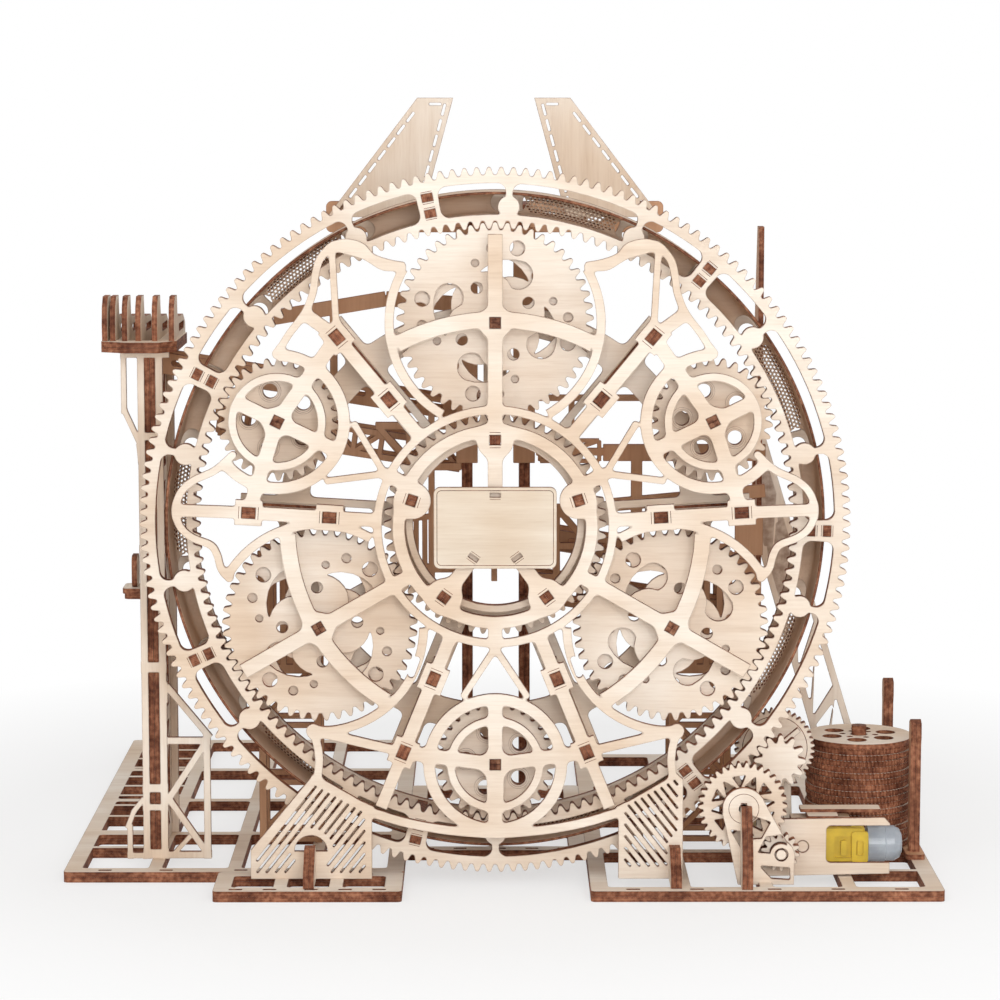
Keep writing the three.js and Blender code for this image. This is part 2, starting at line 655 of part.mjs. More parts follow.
const SIDE_STRUT_WIDTH = 4.4;
const FOOT_STRUT_WIDTH = 4.8;
const QUARTER_CORNER_RADIUS = 10.4;
const AXLE_SEAT_RADIUS = 8.4;
const SMALL_AXLE_SEAT_RADIUS = 7.3;
const CROSS_BEAM_STEPS = 4;
const HOOP_STEPS = 4;
const SMALL_HOOP_STEPS = 10;
const BOTTOM_BAND_STEPS = 8;
const HUB_WINDOW_STEPS = 2;
const QUARTER_STEPS = 2;
const STRUT_APEX_RADIUS = 63;
const STRUT_FOOT_RADIUS = 89;
const STRUT_FOOT_DEGREES = 10.4;
const OUTER_BAND_WIDTH = 4.4;
const BOTTOM_BAND_INNER_RADIUS = 153;
const BOTTOM_BAND_OUTER_RADIUS = 161;
const BOTTOM_BAND_DEGREES = 44;
const DOWN_DEGREES = 270;
const NAMEPLATE_ARM_DEGREES = [90, 234, 306];
const NAMEPLATE_ARM_TIP_RADIUS = 10;

// The outer lobes, as shares of the ring's inner pitch radius and degrees
const UPPER_LOBE_SHARES = [
  [0.92, 70.5], [0.941, 67.1], [0.981, 65.5], [1.03, 64.8], [1.066, 62.6], [1.078, 60],
  [1.062, 57], [1.025, 54.6], [0.985, 52.3], [0.951, 48.5], [0.938, 43.4], [0.925, 38.5],
];
const SIDE_LOBE_SHARES = [
  [0.905, 15.5], [0.952, 11.5], [1.015, 8.9], [1.052, 6.4], [1.066, 3.1], [1.05, 0.2],
  [1.012, -1.9], [0.951, -3.6], [0.932, -5.7], [0.925, -8.6], [0.905, -10.9],
];

const mirrored = (outline) => outline.map((corner) => point(-corner.x, corner.y)).reverse();
const beamAngles = [];
for (const degrees of Object.values(BEAM_ANGLES)) {
  beamAngles.push(degrees, 180 - degrees);
}
const lobePlaces = (shares) =>
  shares.map(([radiusShare, degrees]) => polar(radiusShare * RING_INNER_RADIUS, degrees));

function slotOutline(orbit, degrees, length) {
  return radialBar(degrees, orbit - length / 2 - SLOT_FIT, orbit + length / 2 + SLOT_FIT,
    DOUBLE_THICKNESS + 2 * SLOT_FIT);
}

function squareHole(place, degrees) {
  return squareOutline(AXLE_SQUARE_WIDTH + 2 * SLOT_FIT, place, degrees);
}

// Foot plates, with x from the wheel's axis and z from the table. The left one is wider
const FOOT_LEFT_INNER_X = -64;
const FOOT_LEFT_OUTER_X = -127;
const FOOT_RIGHT_INNER_X = 64;
const FOOT_RIGHT_OUTER_X = 97.4;
const FOOT_LEFT_SLIT_LENGTH = 26;
const FOOT_RIGHT_SLIT_LENGTH = 13;
const FEET = {
  left: {
    inner: FOOT_LEFT_INNER_X,
    outer: FOOT_LEFT_OUTER_X,
    slitStart: FOOT_LEFT_INNER_X,
    slitLength: FOOT_LEFT_SLIT_LENGTH,
    slits: 5,
  },
  right: {
    inner: FOOT_RIGHT_INNER_X,
    outer: FOOT_RIGHT_OUTER_X,
    slitStart: FOOT_RIGHT_OUTER_X,
    slitLength: FOOT_RIGHT_SLIT_LENGTH,
    slits: 4,
  },
};
const FOOT_TOP_Z = 56;
const FOOT_NECK_RADIUS = 138;
const FOOT_NECK_TIP_RADIUS = 161.5;
const FOOT_NECK_DEGREES = -48.5;
const FOOT_NECK_TIP_DEGREES = -47.5;
const FOOT_NECK_WIDTH = 8;
const FOOT_SHOULDER_SHARES = {
  left: [[0, 0.64], [0.39, 1], [0.513, 1], [1, 0.37]],
  right: [[0, 0.6], [0.7, 1], [1, 1]],
};
const FOOT_SLIT_DEGREES = 130;
const FOOT_SLIT_WIDTH = 2.4;
const FOOT_SLIT_PITCH_LENGTH = 6.2;
const FOOT_SLIT_BOTTOM_Z = 15;
const FOOT_ARCH_RADIUS = 8.2;
const FOOT_ARCH_X = -97;

const fromTable = (corner) => point(corner.x, corner.y - WHEEL_Z);

function footOutline(side) {
  const { inner, outer } = FEET[side];
  const points = [point(outer, DOUBLE_THICKNESS), point(inner, DOUBLE_THICKNESS)];
  for (const [widthShare, heightShare] of FOOT_SHOULDER_SHARES[side]) {
    points.push(point(inner + (outer - inner) * widthShare, FOOT_TOP_Z * heightShare));
  }
  const outline = points.map(fromTable);
  return side === 'left' ? outline : outline.reverse();
}

function footSlits(side) {
  const { slitStart, slitLength, slits } = FEET[side];
  const cuts = [];
  for (let slit = 1; slit <= slits; slit += 1) {
    const low = point(slitStart - FOOT_SLIT_PITCH_LENGTH * slit, FOOT_SLIT_BOTTOM_Z);
    const high = polar(slitLength, FOOT_SLIT_DEGREES, low.x, low.y);
    cuts.push(bar(low, high, FOOT_SLIT_WIDTH).map(fromTable));
  }
  return cuts;
}

// One planet's share of the frame, drawn about the wheel's axis
function planetFrame(degrees) {
  const centre = polar(PLANET_ORBIT_RADIUS, degrees);
  const parts = [
    radialBar(degrees, HUB_OUTER_RADIUS - OVERRUN, SPOKE_TIP_RADIUS, SPOKE_WIDTH),
    arcBand(CROSS_BEAM_RADIUS - CROSS_BEAM_WIDTH / 2, CROSS_BEAM_RADIUS + CROSS_BEAM_WIDTH / 2,
      degrees - CROSS_BEAM_DEGREES, degrees + CROSS_BEAM_DEGREES, CROSS_BEAM_STEPS),
    circle(AXLE_SEAT_RADIUS, HOLE_SIDES, centre.x, centre.y, degrees + 180 / HOLE_SIDES),
  ];
  for (const side of [-1, 1]) {
    const from = degrees + side * HOOP_FROM_DEGREES;
    const to = degrees + side * HOOP_TO_DEGREES;
    parts.push(arcBand(HOOP_RADIUS - HOOP_WIDTH / 2, HOOP_RADIUS + HOOP_WIDTH / 2,
      Math.min(from, to), Math.max(from, to), HOOP_STEPS, centre.x, centre.y));
  }
  return parts;
}

// One small gear's share: two rings, a spoke, two arms to the outer slots and two struts
function smallFrame(degrees, beams, hoopFrom, hoopTo) {
  const centre = polar(SMALL_ORBIT_RADIUS, degrees);
  const parts = [
    arcBand(SMALL_HOOP_INNER_RADIUS, SMALL_HOOP_OUTER_RADIUS, hoopFrom, hoopTo, SMALL_HOOP_STEPS,
      centre.x, centre.y),
    radialBar(degrees, SMALL_ORBIT_RADIUS - SMALL_HOOP_INNER_RADIUS - OVERRUN,
      SMALL_ORBIT_RADIUS + SMALL_RING_OUTER_RADIUS - OVERRUN, ARM_WIDTH),
    circle(SMALL_AXLE_SEAT_RADIUS, HOLE_SIDES, centre.x, centre.y, degrees + 180 / HOLE_SIDES),
    circle(SMALL_RING_OUTER_RADIUS, ROUND_SIDES, centre.x, centre.y),
  ];
  for (const beam of beams) {
    const side = Math.sign(Math.sin(radians(beam - degrees)));
    parts.push(bar(centre, polar(WEB_SLOT_OUTER_RADIUS, beam), ARM_WIDTH));
    parts.push(bar(polar(STRUT_APEX_RADIUS, degrees),
      polar(STRUT_FOOT_RADIUS, degrees + side * STRUT_FOOT_DEGREES), STRUT_WIDTH));
  }
  return parts;
}

// What the inner ring of a small gear's hoop leaves open: four quarters between the arms
function smallFrameWindows(degrees, beams) {
  const centre = polar(SMALL_ORBIT_RADIUS, degrees);
  const arms = [degrees, degrees + 180];
  for (const beam of beams) {
    const end = polar(WEB_SLOT_OUTER_RADIUS, beam).sub(centre);
    arms.push(THREE.MathUtils.radToDeg(end.angle()));
  }
  const turns = arms.map((arm) => ((arm % 360) + 360) % 360).sort((a, b) => a - b);
  const windows = [];
  turns.forEach((from, index) => {
    const to = index + 1 < turns.length ? turns[index + 1] : turns[0] + 360;
    const insideFrom = degreesAt(ARM_WIDTH / 2, SMALL_RING_INNER_RADIUS);
    const corner = polar(QUARTER_CORNER_RADIUS, (from + to) / 2, centre.x, centre.y);
    const outline = [corner];
    for (let step = 0; step <= QUARTER_STEPS; step += 1) {
      const turn = from + insideFrom + (to - from - 2 * insideFrom) * step / QUARTER_STEPS;
      outline.push(polar(SMALL_RING_INNER_RADIUS, turn, centre.x, centre.y));
    }
    windows.push(outline);
  });
  return windows;
}

const SIDE_BEAMS = [BEAM_ANGLES.upper, BEAM_ANGLES.side];
const BOTTOM_BEAMS = [BEAM_ANGLES.lower, 180 - BEAM_ANGLES.lower];
const SIDE_HOOP_FROM = 92;
const SIDE_HOOP_TO = 318;
const BOTTOM_HOOP_FROM = -90;
const BOTTOM_HOOP_TO = 270;
const BEAM_TIP_RADIUS = 153;
const HUB_BRIDGE_WIDTH = 7;

function frontFrame() {
  const right = [
    ...planetFrame(PLANET_ANGLES.right),
    ...smallFrame(SMALL_ANGLES.right, SIDE_BEAMS, SIDE_HOOP_FROM, SIDE_HOOP_TO),
    ribbon(lobePlaces(UPPER_LOBE_SHARES), OUTER_BAND_WIDTH),
    ribbon(lobePlaces(SIDE_LOBE_SHARES), OUTER_BAND_WIDTH),
    bar(polar(WEB_SLOT_OUTER_RADIUS, BEAM_ANGLES.upper), lobePlaces(UPPER_LOBE_SHARES)[9], BEAM_WIDTH),
    bar(polar(WEB_SLOT_OUTER_RADIUS, BEAM_ANGLES.upper), lobePlaces(UPPER_LOBE_SHARES)[5], STRUT_WIDTH),
    bar(lobePlaces(UPPER_LOBE_SHARES)[0], lobePlaces(UPPER_LOBE_SHARES)[5], STRUT_WIDTH),
    bar(polar(WEB_SLOT_OUTER_RADIUS, BEAM_ANGLES.side), lobePlaces(SIDE_LOBE_SHARES)[4], SIDE_STRUT_WIDTH),
    radialBar(BEAM_ANGLES.lower, WEB_SLOT_OUTER_RADIUS, BEAM_TIP_RADIUS, BEAM_WIDTH),
    bar(polar(WEB_SLOT_OUTER_RADIUS, BEAM_ANGLES.lower), polar(FOOT_NECK_RADIUS, FOOT_NECK_DEGREES),
      FOOT_STRUT_WIDTH),
    bar(polar(FOOT_NECK_RADIUS, FOOT_NECK_DEGREES), polar(FOOT_NECK_TIP_RADIUS, FOOT_NECK_TIP_DEGREES),
      FOOT_NECK_WIDTH),
  ];
  for (const degrees of Object.values(BEAM_ANGLES)) {
    right.push(radialBar(degrees, HUB_BAND_OUTER_RADIUS - OVERRUN, WEB_SLOT_OUTER_RADIUS, BEAM_WIDTH));
    for (const orbit of WEB_SLOT_RADII) {
      right.push(radialBar(degrees, orbit - PAD_LENGTH / 2, orbit + PAD_LENGTH / 2, PAD_WIDTH));
    }
  }
  const middle = [
    ...planetFrame(PLANET_ANGLES.top),
    ...smallFrame(SMALL_ANGLES.bottom, BOTTOM_BEAMS, BOTTOM_HOOP_FROM, BOTTOM_HOOP_TO),
    circle(HUB_BAND_OUTER_RADIUS, FINE_SIDES),
    arcBand(BOTTOM_BAND_INNER_RADIUS, BOTTOM_BAND_OUTER_RADIUS, DOWN_DEGREES - BOTTOM_BAND_DEGREES,
      DOWN_DEGREES + BOTTOM_BAND_DEGREES, BOTTOM_BAND_STEPS),
    radialBar(SMALL_ANGLES.bottom, SMALL_ORBIT_RADIUS + SMALL_HOOP_INNER_RADIUS,
      BOTTOM_BAND_INNER_RADIUS + OVERRUN, ARM_WIDTH),
    footOutline('left'),
    footOutline('right'),
  ];
  const outlines = [...middle, ...right, ...right.map(mirrored)];
  const sheet = joined(outlines.map((outline) => facing(outline, FRONT_FACE_Y)));

  const holes = [circle(HUB_INNER_RADIUS, FINE_SIDES), ...footSlits('left'), ...footSlits('right')];
  const bridges = [...Object.values(PLANET_ANGLES), ...Object.values(SMALL_ANGLES)];
  bridges.sort((a, b) => a - b);
  bridges.forEach((from, index) => {
    const to = index + 1 < bridges.length ? bridges[index + 1] : bridges[0] + 360;
    const half = degreesAt(HUB_BRIDGE_WIDTH / 2, HUB_OUTER_RADIUS);
    holes.push(arcBand(HUB_OUTER_RADIUS, HUB_BAND_INNER_RADIUS, from + half, to - half, HUB_WINDOW_STEPS));
  });
  for (const [side, degrees] of Object.entries(SMALL_ANGLES)) {
    const beams = side === 'bottom' ? BOTTOM_BEAMS
      : SIDE_BEAMS.map((beam) => (side === 'left' ? 180 - beam : beam));
    holes.push(...smallFrameWindows(degrees, beams));
    holes.push(squareHole(polar(SMALL_ORBIT_RADIUS, degrees), degrees));
  }
  for (const degrees of Object.values(PLANET_ANGLES)) {
    holes.push(squareHole(polar(PLANET_ORBIT_RADIUS, degrees), degrees));
  }
  for (const degrees of beamAngles) {
    for (const orbit of WEB_SLOT_RADII) {
      holes.push(slotOutline(orbit, degrees, WEB_SLOT_LENGTH));
    }
  }
  const archCentre = point(FOOT_ARCH_X, DOUBLE_THICKNESS - WHEEL_Z);
  holes.push(circle(FOOT_ARCH_RADIUS, ROUND_SIDES, archCentre.x, archCentre.y));
  const cut = carved(sheet, holes.map((outline) => cutterFacing(outline, FRONT_FACE_Y)));

  const hub = [];
  for (let lobe = 0; lobe < LOBES; lobe += 1) {
    const degrees = FIRST_LOBE_DEGREES + LOBE_DEGREES * lobe;
    const centre = polar(LOBE_ORBIT_RADIUS, degrees);
    hub.push(facing(circle(LOBE_RADIUS, HOLE_SIDES, centre.x, centre.y), FRONT_FACE_Y));
  }
  for (const degrees of NAMEPLATE_ARM_DEGREES) {
    const arm = radialBar(degrees, NAMEPLATE_ARM_TIP_RADIUS, HUB_INNER_RADIUS, SPOKE_WIDTH);
    hub.push(facing(arm, FRONT_FACE_Y));
  }
  const slots = [];
  for (let lobe = 0; lobe < LOBES; lobe += 1) {
    const degrees = FIRST_LOBE_DEGREES + LOBE_DEGREES * lobe;
    const outline = slotOutline(LOBE_ORBIT_RADIUS, degrees, BEARING_TAB_LENGTH);
    slots.push(cutterFacing(outline, FRONT_FACE_Y));
  }
  return retraced(carved(joined([cut, ...hub]), slots), FRONT_FACE_Y);
}

// The rear frame repeats the slots and axle seats on a plainer spider
const REAR_HUB_INNER_RADIUS = 38;
const REAR_HUB_OUTER_RADIUS = 52;
const REAR_BAND_WIDTH = 8;
const REAR_BEAM_TIP_RADIUS = 134;

function rearFrame() {
  const parts = [circle(REAR_HUB_OUTER_RADIUS, HUB_SIDES)];
  for (const degrees of Object.values(PLANET_ANGLES)) {
    parts.push(radialBar(degrees, REAR_HUB_OUTER_RADIUS - OVERRUN, PLANET_ORBIT_RADIUS + PAD_LENGTH / 2,
      PAD_WIDTH));
  }
  for (const degrees of Object.values(SMALL_ANGLES)) {
    parts.push(radialBar(degrees, PLANET_ORBIT_RADIUS, SMALL_ORBIT_RADIUS + PAD_LENGTH / 2, PAD_WIDTH));
  }
  for (const degrees of beamAngles) {
    parts.push(radialBar(degrees, REAR_HUB_OUTER_RADIUS - OVERRUN, REAR_BEAM_TIP_RADIUS, PAD_WIDTH));
  }
  const hub = joined(parts.map((outline) => facing(outline, REAR_FRAME_FRONT_Y)));
  const outside = circle(PLANET_ORBIT_RADIUS + REAR_BAND_WIDTH, HUB_SIDES);
  const inside = circle(PLANET_ORBIT_RADIUS - REAR_BAND_WIDTH, HUB_SIDES);
  const band = carved(facing(outside, REAR_FRAME_FRONT_Y), [cutterFacing(inside, REAR_FRAME_FRONT_Y)]);
  const holes = [circle(REAR_HUB_INNER_RADIUS, HUB_SIDES)];
  for (const degrees of Object.values(PLANET_ANGLES)) {
    holes.push(squareHole(polar(PLANET_ORBIT_RADIUS, degrees), degrees));
  }
  for (const degrees of Object.values(SMALL_ANGLES)) {
    holes.push(squareHole(polar(SMALL_ORBIT_RADIUS, degrees), degrees));
  }
  const sheet = carved(hub.add(band), holes.map((outline) => cutterFacing(outline, REAR_FRAME_FRONT_Y)));
  return retraced(sheet, REAR_FRAME_FRONT_Y);
}

// Double webs stand between the two frames, with tabs through the front one
function frameWeb(degrees) {
  const [innerOrbit, outerOrbit] = WEB_SLOT_RADII;
  const body = rectangle(innerOrbit - WEB_SLOT_LENGTH, outerOrbit + WEB_SLOT_LENGTH,
    FRONT_FRAME_BACK_Y, REAR_FRAME_FRONT_Y);
  const tabs = WEB_SLOT_RADII.map((orbit) => rectangle(orbit - WEB_SLOT_LENGTH / 2,
    orbit + WEB_SLOT_LENGTH / 2, FRONT_FACE_Y, FRONT_FRAME_BACK_Y + PLY_THICKNESS));
  const solids = [body, ...tabs].map((outline) => radialSheet(outline, degrees, DOUBLE_THICKNESS));
  return joined(solids);
}

// Five webs on a ring carry the sun's bore between the frames, with tabs in the hub slots
const BEARING_TAB_LENGTH = 5;
const BEARING_RING_INNER_RADIUS = 34;
const BEARING_RING_OUTER_RADIUS = 41;

function sunBearing() {
  const edge = SUN_BORE_RADIUS - RUNNING_FIT;
  const outside = facing(circle(BEARING_RING_OUTER_RADIUS, HUB_SIDES), GEAR_FRONT_Y, DOUBLE_THICKNESS);
  const inside = cutterFacing(circle(BEARING_RING_INNER_RADIUS, HUB_SIDES), GEAR_FRONT_Y, DOUBLE_THICKNESS);
  const ring = carved(outside, [inside]);
  const webs = [];
  for (let lobe = 0; lobe < LOBES; lobe += 1) {
    const degrees = FIRST_LOBE_DEGREES + LOBE_DEGREES * lobe;
    const body = rectangle(BEARING_RING_INNER_RADIUS + OVERRUN, edge, FRONT_FRAME_BACK_Y,
      REAR_FRAME_FRONT_Y);
    const tab = rectangle(LOBE_ORBIT_RADIUS - BEARING_TAB_LENGTH / 2,
      LOBE_ORBIT_RADIUS + BEARING_TAB_LENGTH / 2, FRONT_FACE_Y, FRONT_FRAME_BACK_Y + PLY_THICKNESS);
    webs.push(radialSheet(body, degrees, DOUBLE_THICKNESS), radialSheet(tab, degrees, DOUBLE_THICKNESS));
  }
  return joined([ring, ...webs]);
}

const NAMEPLATE_WIDTH = 63;
const NAMEPLATE_HEIGHT = 42;
const NAMEPLATE_CORNER = 3;

function nameplate() {
  return facing(roundedRectangle(-NAMEPLATE_WIDTH / 2, NAMEPLATE_WIDTH / 2, -NAMEPLATE_HEIGHT / 2,
    NAMEPLATE_HEIGHT / 2, NAMEPLATE_CORNER), FRONT_FACE_Y - PLY_THICKNESS);
}

addAtWheel('front_frame', frontFrame());
addAtWheel('rear_frame', rearFrame());
beamAngles.forEach((degrees, index) => {
  addAtWheel(`frame_web_${index + 1}`, frameWeb(degrees), darkWood);
});
addAtWheel('sun_bearing', sunBearing(), darkWood);
addAtWheel('nameplate', nameplate());

// Small helpers for the trusses and lattices
function latticeWindows(fromX, toX, fromY, toY, columns, rows, rim, slat) {
  const width = (toX - fromX - 2 * rim - (columns - 1) * slat) / columns;
  const depth = (toY - fromY - 2 * rim - (rows - 1) * slat) / rows;
  const windows = [];
  for (let column = 0; column < columns; column += 1) {
    for (let row = 0; row < rows; row += 1) {
      const left = fromX + rim + column * (width + slat);
      const front = fromY + rim + row * (depth + slat);
      windows.push(rectangle(left, left + width, front, front + depth));
    }
  }
  return windows;
}

// Four triangles that leave a diagonal cross between them
function crossWindows(fromX, toX, fromY, toY, barWidth) {
  const middle = point((fromX + toX) / 2, (fromY + toY) / 2);
  const corners = rectangle(fromX, toX, fromY, toY);
  return corners.map((corner, index) => {
    const next = corners[(index + 1) % corners.length];
    const centre = corner.clone().add(next).add(middle).divideScalar(3);
    const reach = Math.min(toX - fromX, toY - fromY) / 2;
    const shrink = 1 - barWidth / reach;
    return [corner, next, middle].map((place) =>
      place.clone().sub(centre).multiplyScalar(shrink).add(centre));
  });
}

// The bases: double sheets on the table with long windows
const BASE_RIM_WIDTH = 9;
const BASE_SLAT_WIDTH = 7;
const BASE_LEFT_INNER_X = -50;
const BASE_RIGHT_INNER_X = 47;
const BASE_TONGUE_DEPTH = 42;
const BASE_TONGUE_WIDTH = 97;
const BASE_RIGHT_SETBACK_DEPTH = 45;
const BASE_MIDDLE_SETBACK_DEPTH = 91;
const BASE_MIDDLE_DEPTH = 164;
const BASE_LEFT_FRONT_Y = -HALF_DEPTH + BASE_TONGUE_DEPTH;
const BASE_RIGHT_BACK_Y = HALF_DEPTH - BASE_RIGHT_SETBACK_DEPTH;
const BASE_TONGUE_LEFT_X = BASE_LEFT_INNER_X - BASE_TONGUE_WIDTH;
const BASE_MIDDLE_FRONT_Y = -HALF_DEPTH + BASE_MIDDLE_SETBACK_DEPTH;
const BASE_COLUMNS = 4;
const BASE_ROWS = 4;
const TONGUE_COLUMNS = 3;
const TONGUE_ROWS = 1;
const MIDDLE_COLUMNS = 2;
const MIDDLE_ROWS = 3;

function latticeSheet(fromX, toX, fromY, toY, columns, rows) {
  const windows = latticeWindows(fromX, toX, fromY, toY, columns, rows, BASE_RIM_WIDTH, BASE_SLAT_WIDTH);
  return carved(flat(rectangle(fromX, toX, fromY, toY), 0, DOUBLE_THICKNESS),
    windows.map((window) => cutterFlat(window, 0, DOUBLE_THICKNESS)));
}

addPiece('base_left', latticeSheet(-HALF_WIDTH, BASE_LEFT_INNER_X, BASE_LEFT_FRONT_Y, HALF_DEPTH,
  BASE_COLUMNS, BASE_ROWS), wood);
addPiece('base_right', latticeSheet(BASE_RIGHT_INNER_X, HALF_WIDTH, -HALF_DEPTH, BASE_RIGHT_BACK_Y,
  BASE_COLUMNS, BASE_ROWS), wood);
addPiece('base_front_left', latticeSheet(BASE_TONGUE_LEFT_X, BASE_LEFT_INNER_X, -HALF_DEPTH,
  BASE_LEFT_FRONT_Y, TONGUE_COLUMNS, TONGUE_ROWS), wood);
addPiece('base_middle', latticeSheet(BASE_LEFT_INNER_X, BASE_RIGHT_INNER_X, BASE_MIDDLE_FRONT_Y,
  BASE_MIDDLE_FRONT_Y + BASE_MIDDLE_DEPTH, MIDDLE_COLUMNS, MIDDLE_ROWS), wood);

// Gussets stand in front of the feet, edge on
const GUSSET_DEPTH = 22;
const GUSSET_HEIGHT = 18;
const GUSSET_LEFT_X = -98;
const GUSSET_RIGHT_X = 91;

function gusset() {
  return sideways([
    point(FRONT_FACE_Y - GUSSET_DEPTH, 0),
    point(FRONT_FACE_Y, 0),
    point(FRONT_FACE_Y, GUSSET_HEIGHT),
    point(FRONT_FACE_Y - GUSSET_DEPTH / 3, GUSSET_HEIGHT),
    point(FRONT_FACE_Y - GUSSET_DEPTH, GUSSET_HEIGHT / 3),
  ], -DOUBLE_THICKNESS / 2, DOUBLE_THICKNESS);
}

addPiece('foot_gusset_left', gusset(), darkWood, GUSSET_LEFT_X, 0, DOUBLE_THICKNESS);
addPiece('foot_gusset_right', gusset(), darkWood, GUSSET_RIGHT_X, 0, DOUBLE_THICKNESS);

// The left tower: a braced front sheet, a double edge-on column and a back sheet
const TOWER_SETBACK_DEPTH = 46;
const TOWER_FRONT_Y = FRONT_FACE_Y + TOWER_SETBACK_DEPTH;
const TOWER_DEPTH = 64;
const TOWER_LEFT_X = -198;
const TOWER_RUNG_HEIGHT = 10;
const TOWER_NECK_DROP_HEIGHT = 15;
const TOWER_WINDOWS = 4;
const TOWER_FOOT_WIDTH = 41;
const TOWER_COLUMN_WIDTH = 16;
const TOWER_SHOULDER_Z = 60;
const TOWER_NECK_Z = 118;
const TOWER_TOP_Z = 277;
const TOWER_RAIL_WIDTH = 5;
const LEDGE_Z = 151;
const LEDGE_REACH_LENGTH = 9;

function leftTower() {
  const columnRight = TOWER_LEFT_X + TOWER_COLUMN_WIDTH;
  const footRight = TOWER_LEFT_X + TOWER_FOOT_WIDTH;
  const front = facing([
    point(TOWER_LEFT_X, DOUBLE_THICKNESS),
    point(footRight, DOUBLE_THICKNESS),
    point(footRight, TOWER_SHOULDER_Z),
    point(columnRight, TOWER_NECK_Z),
    point(columnRight, TOWER_TOP_Z),
    point(TOWER_LEFT_X, TOWER_TOP_Z),
  ], TOWER_FRONT_Y);
  const panelTop = TOWER_SHOULDER_Z - TOWER_RAIL_WIDTH;
  const windows = [
    ...crossWindows(columnRight, footRight - TOWER_RAIL_WIDTH, DOUBLE_THICKNESS + TOWER_RUNG_HEIGHT,
      panelTop, TOWER_RAIL_WIDTH),
    [
      point(columnRight, TOWER_SHOULDER_Z + TOWER_RAIL_WIDTH),
      point(footRight - TOWER_RUNG_HEIGHT, TOWER_SHOULDER_Z + TOWER_RAIL_WIDTH),
      point(columnRight, TOWER_NECK_Z - TOWER_NECK_DROP_HEIGHT),
    ],
  ];
  const columnLeft = TOWER_LEFT_X + TOWER_RAIL_WIDTH;
  const columnOutline = rectangle(TOWER_FRONT_Y + PLY_THICKNESS / 2,
    TOWER_FRONT_Y + TOWER_DEPTH - PLY_THICKNESS / 2, DOUBLE_THICKNESS, TOWER_TOP_Z);
  const column = sideways(columnOutline, columnLeft, DOUBLE_THICKNESS);
  const ladder = latticeWindows(TOWER_FRONT_Y, TOWER_FRONT_Y + TOWER_DEPTH, DOUBLE_THICKNESS,
    TOWER_TOP_Z, 1, TOWER_WINDOWS, TOWER_RUNG_HEIGHT, TOWER_RUNG_HEIGHT);
  const back = facing(rectangle(TOWER_LEFT_X, columnRight, DOUBLE_THICKNESS, TOWER_TOP_Z),
    TOWER_FRONT_Y + TOWER_DEPTH - PLY_THICKNESS);
  const ledge = flat(rectangle(TOWER_LEFT_X - LEDGE_REACH_LENGTH, columnRight - TOWER_RAIL_WIDTH,
    TOWER_FRONT_Y + PLY_THICKNESS / 2, TOWER_FRONT_Y + TOWER_DEPTH / 3), LEDGE_Z);
  return joined([
    carved(front, windows.map((window) => cutterFacing(window, TOWER_FRONT_Y))),
    carved(column, ladder.map((window) => cutterSideways(window, columnLeft, DOUBLE_THICKNESS))),
    back,
    ledge,
  ]);
}

// The basket on top of the left tower: a rounded plate under six curved ribs
const BASKET_OVERHANG_WIDTH = 11;
const BASKET_WIDTH = 41;
const BASKET_LEFT_X = TOWER_LEFT_X - BASKET_OVERHANG_WIDTH;
const BASKET_RIGHT_X = BASKET_LEFT_X + BASKET_WIDTH;
const BASKET_OVERHANG_DEPTH = 16;
const BASKET_FRONT_Y = TOWER_FRONT_Y - BASKET_OVERHANG_DEPTH;
const BASKET_DEPTH = 84;
const BASKET_CORNER_RADIUS = 14;
const BASKET_RIBS = 6;
const RIB_HEIGHT = 27;
const RIB_INSET_DEPTH = 10;
const RIB_SHARES = [[0.03, 0], [0.97, 0], [0.97, 0.45], [0.8, 0.8], [0.35, 1], [0.12, 0.96], [0.0, 0.7]];

function catchBasket() {
  const plate = flat(roundedRectangle(BASKET_LEFT_X, BASKET_RIGHT_X, BASKET_FRONT_Y,
    BASKET_FRONT_Y + BASKET_DEPTH, BASKET_CORNER_RADIUS), TOWER_TOP_Z, DOUBLE_THICKNESS);
  const ribs = [];
  const pitch = (BASKET_RIGHT_X - BASKET_LEFT_X - PLY_THICKNESS) / (BASKET_RIBS - 1);
  for (let rib = 0; rib < BASKET_RIBS; rib += 1) {
    const outline = RIB_SHARES.map(([depthShare, heightShare]) => point(
      BASKET_FRONT_Y + RIB_INSET_DEPTH + (BASKET_DEPTH - 2 * RIB_INSET_DEPTH) * depthShare,
      TOWER_TOP_Z + DOUBLE_THICKNESS / 2 + RIB_HEIGHT * heightShare));
    ribs.push(sideways(outline, BASKET_LEFT_X + pitch * rib));
  }
  return joined([plate, ...ribs]);
}

addPiece('left_tower', leftTower(), wood);
addPiece('catch_basket', catchBasket(), darkWood);

// The lift tower behind the hub: two double columns, shelves, and arms to the rear frame
const LIFT_LEFT_X = -19.8;
const LIFT_RIGHT_X = 16.8;
const LIFT_SETBACK_DEPTH = 82;
const LIFT_DEPTH = 50;
const LIFT_FRONT_Y = FRONT_FACE_Y + LIFT_SETBACK_DEPTH;
const LIFT_BACK_Y = LIFT_FRONT_Y + LIFT_DEPTH;
const LIFT_TOP_Z = 352;
const LIFT_RIM_WIDTH = 11;
const LIFT_WINDOWS = 4;
const LIFT_ARM_HEIGHT = 8;
const LIFT_ARM_OFFSET_HEIGHT = 42;
const SHELVES = 4;
const FIRST_SHELF_Z = 70;
const SHELF_PITCH_HEIGHT = 88;
const HEAD_PLATE_HALF_WIDTH = 92;
const HEAD_PLATE_HEIGHT = 17;

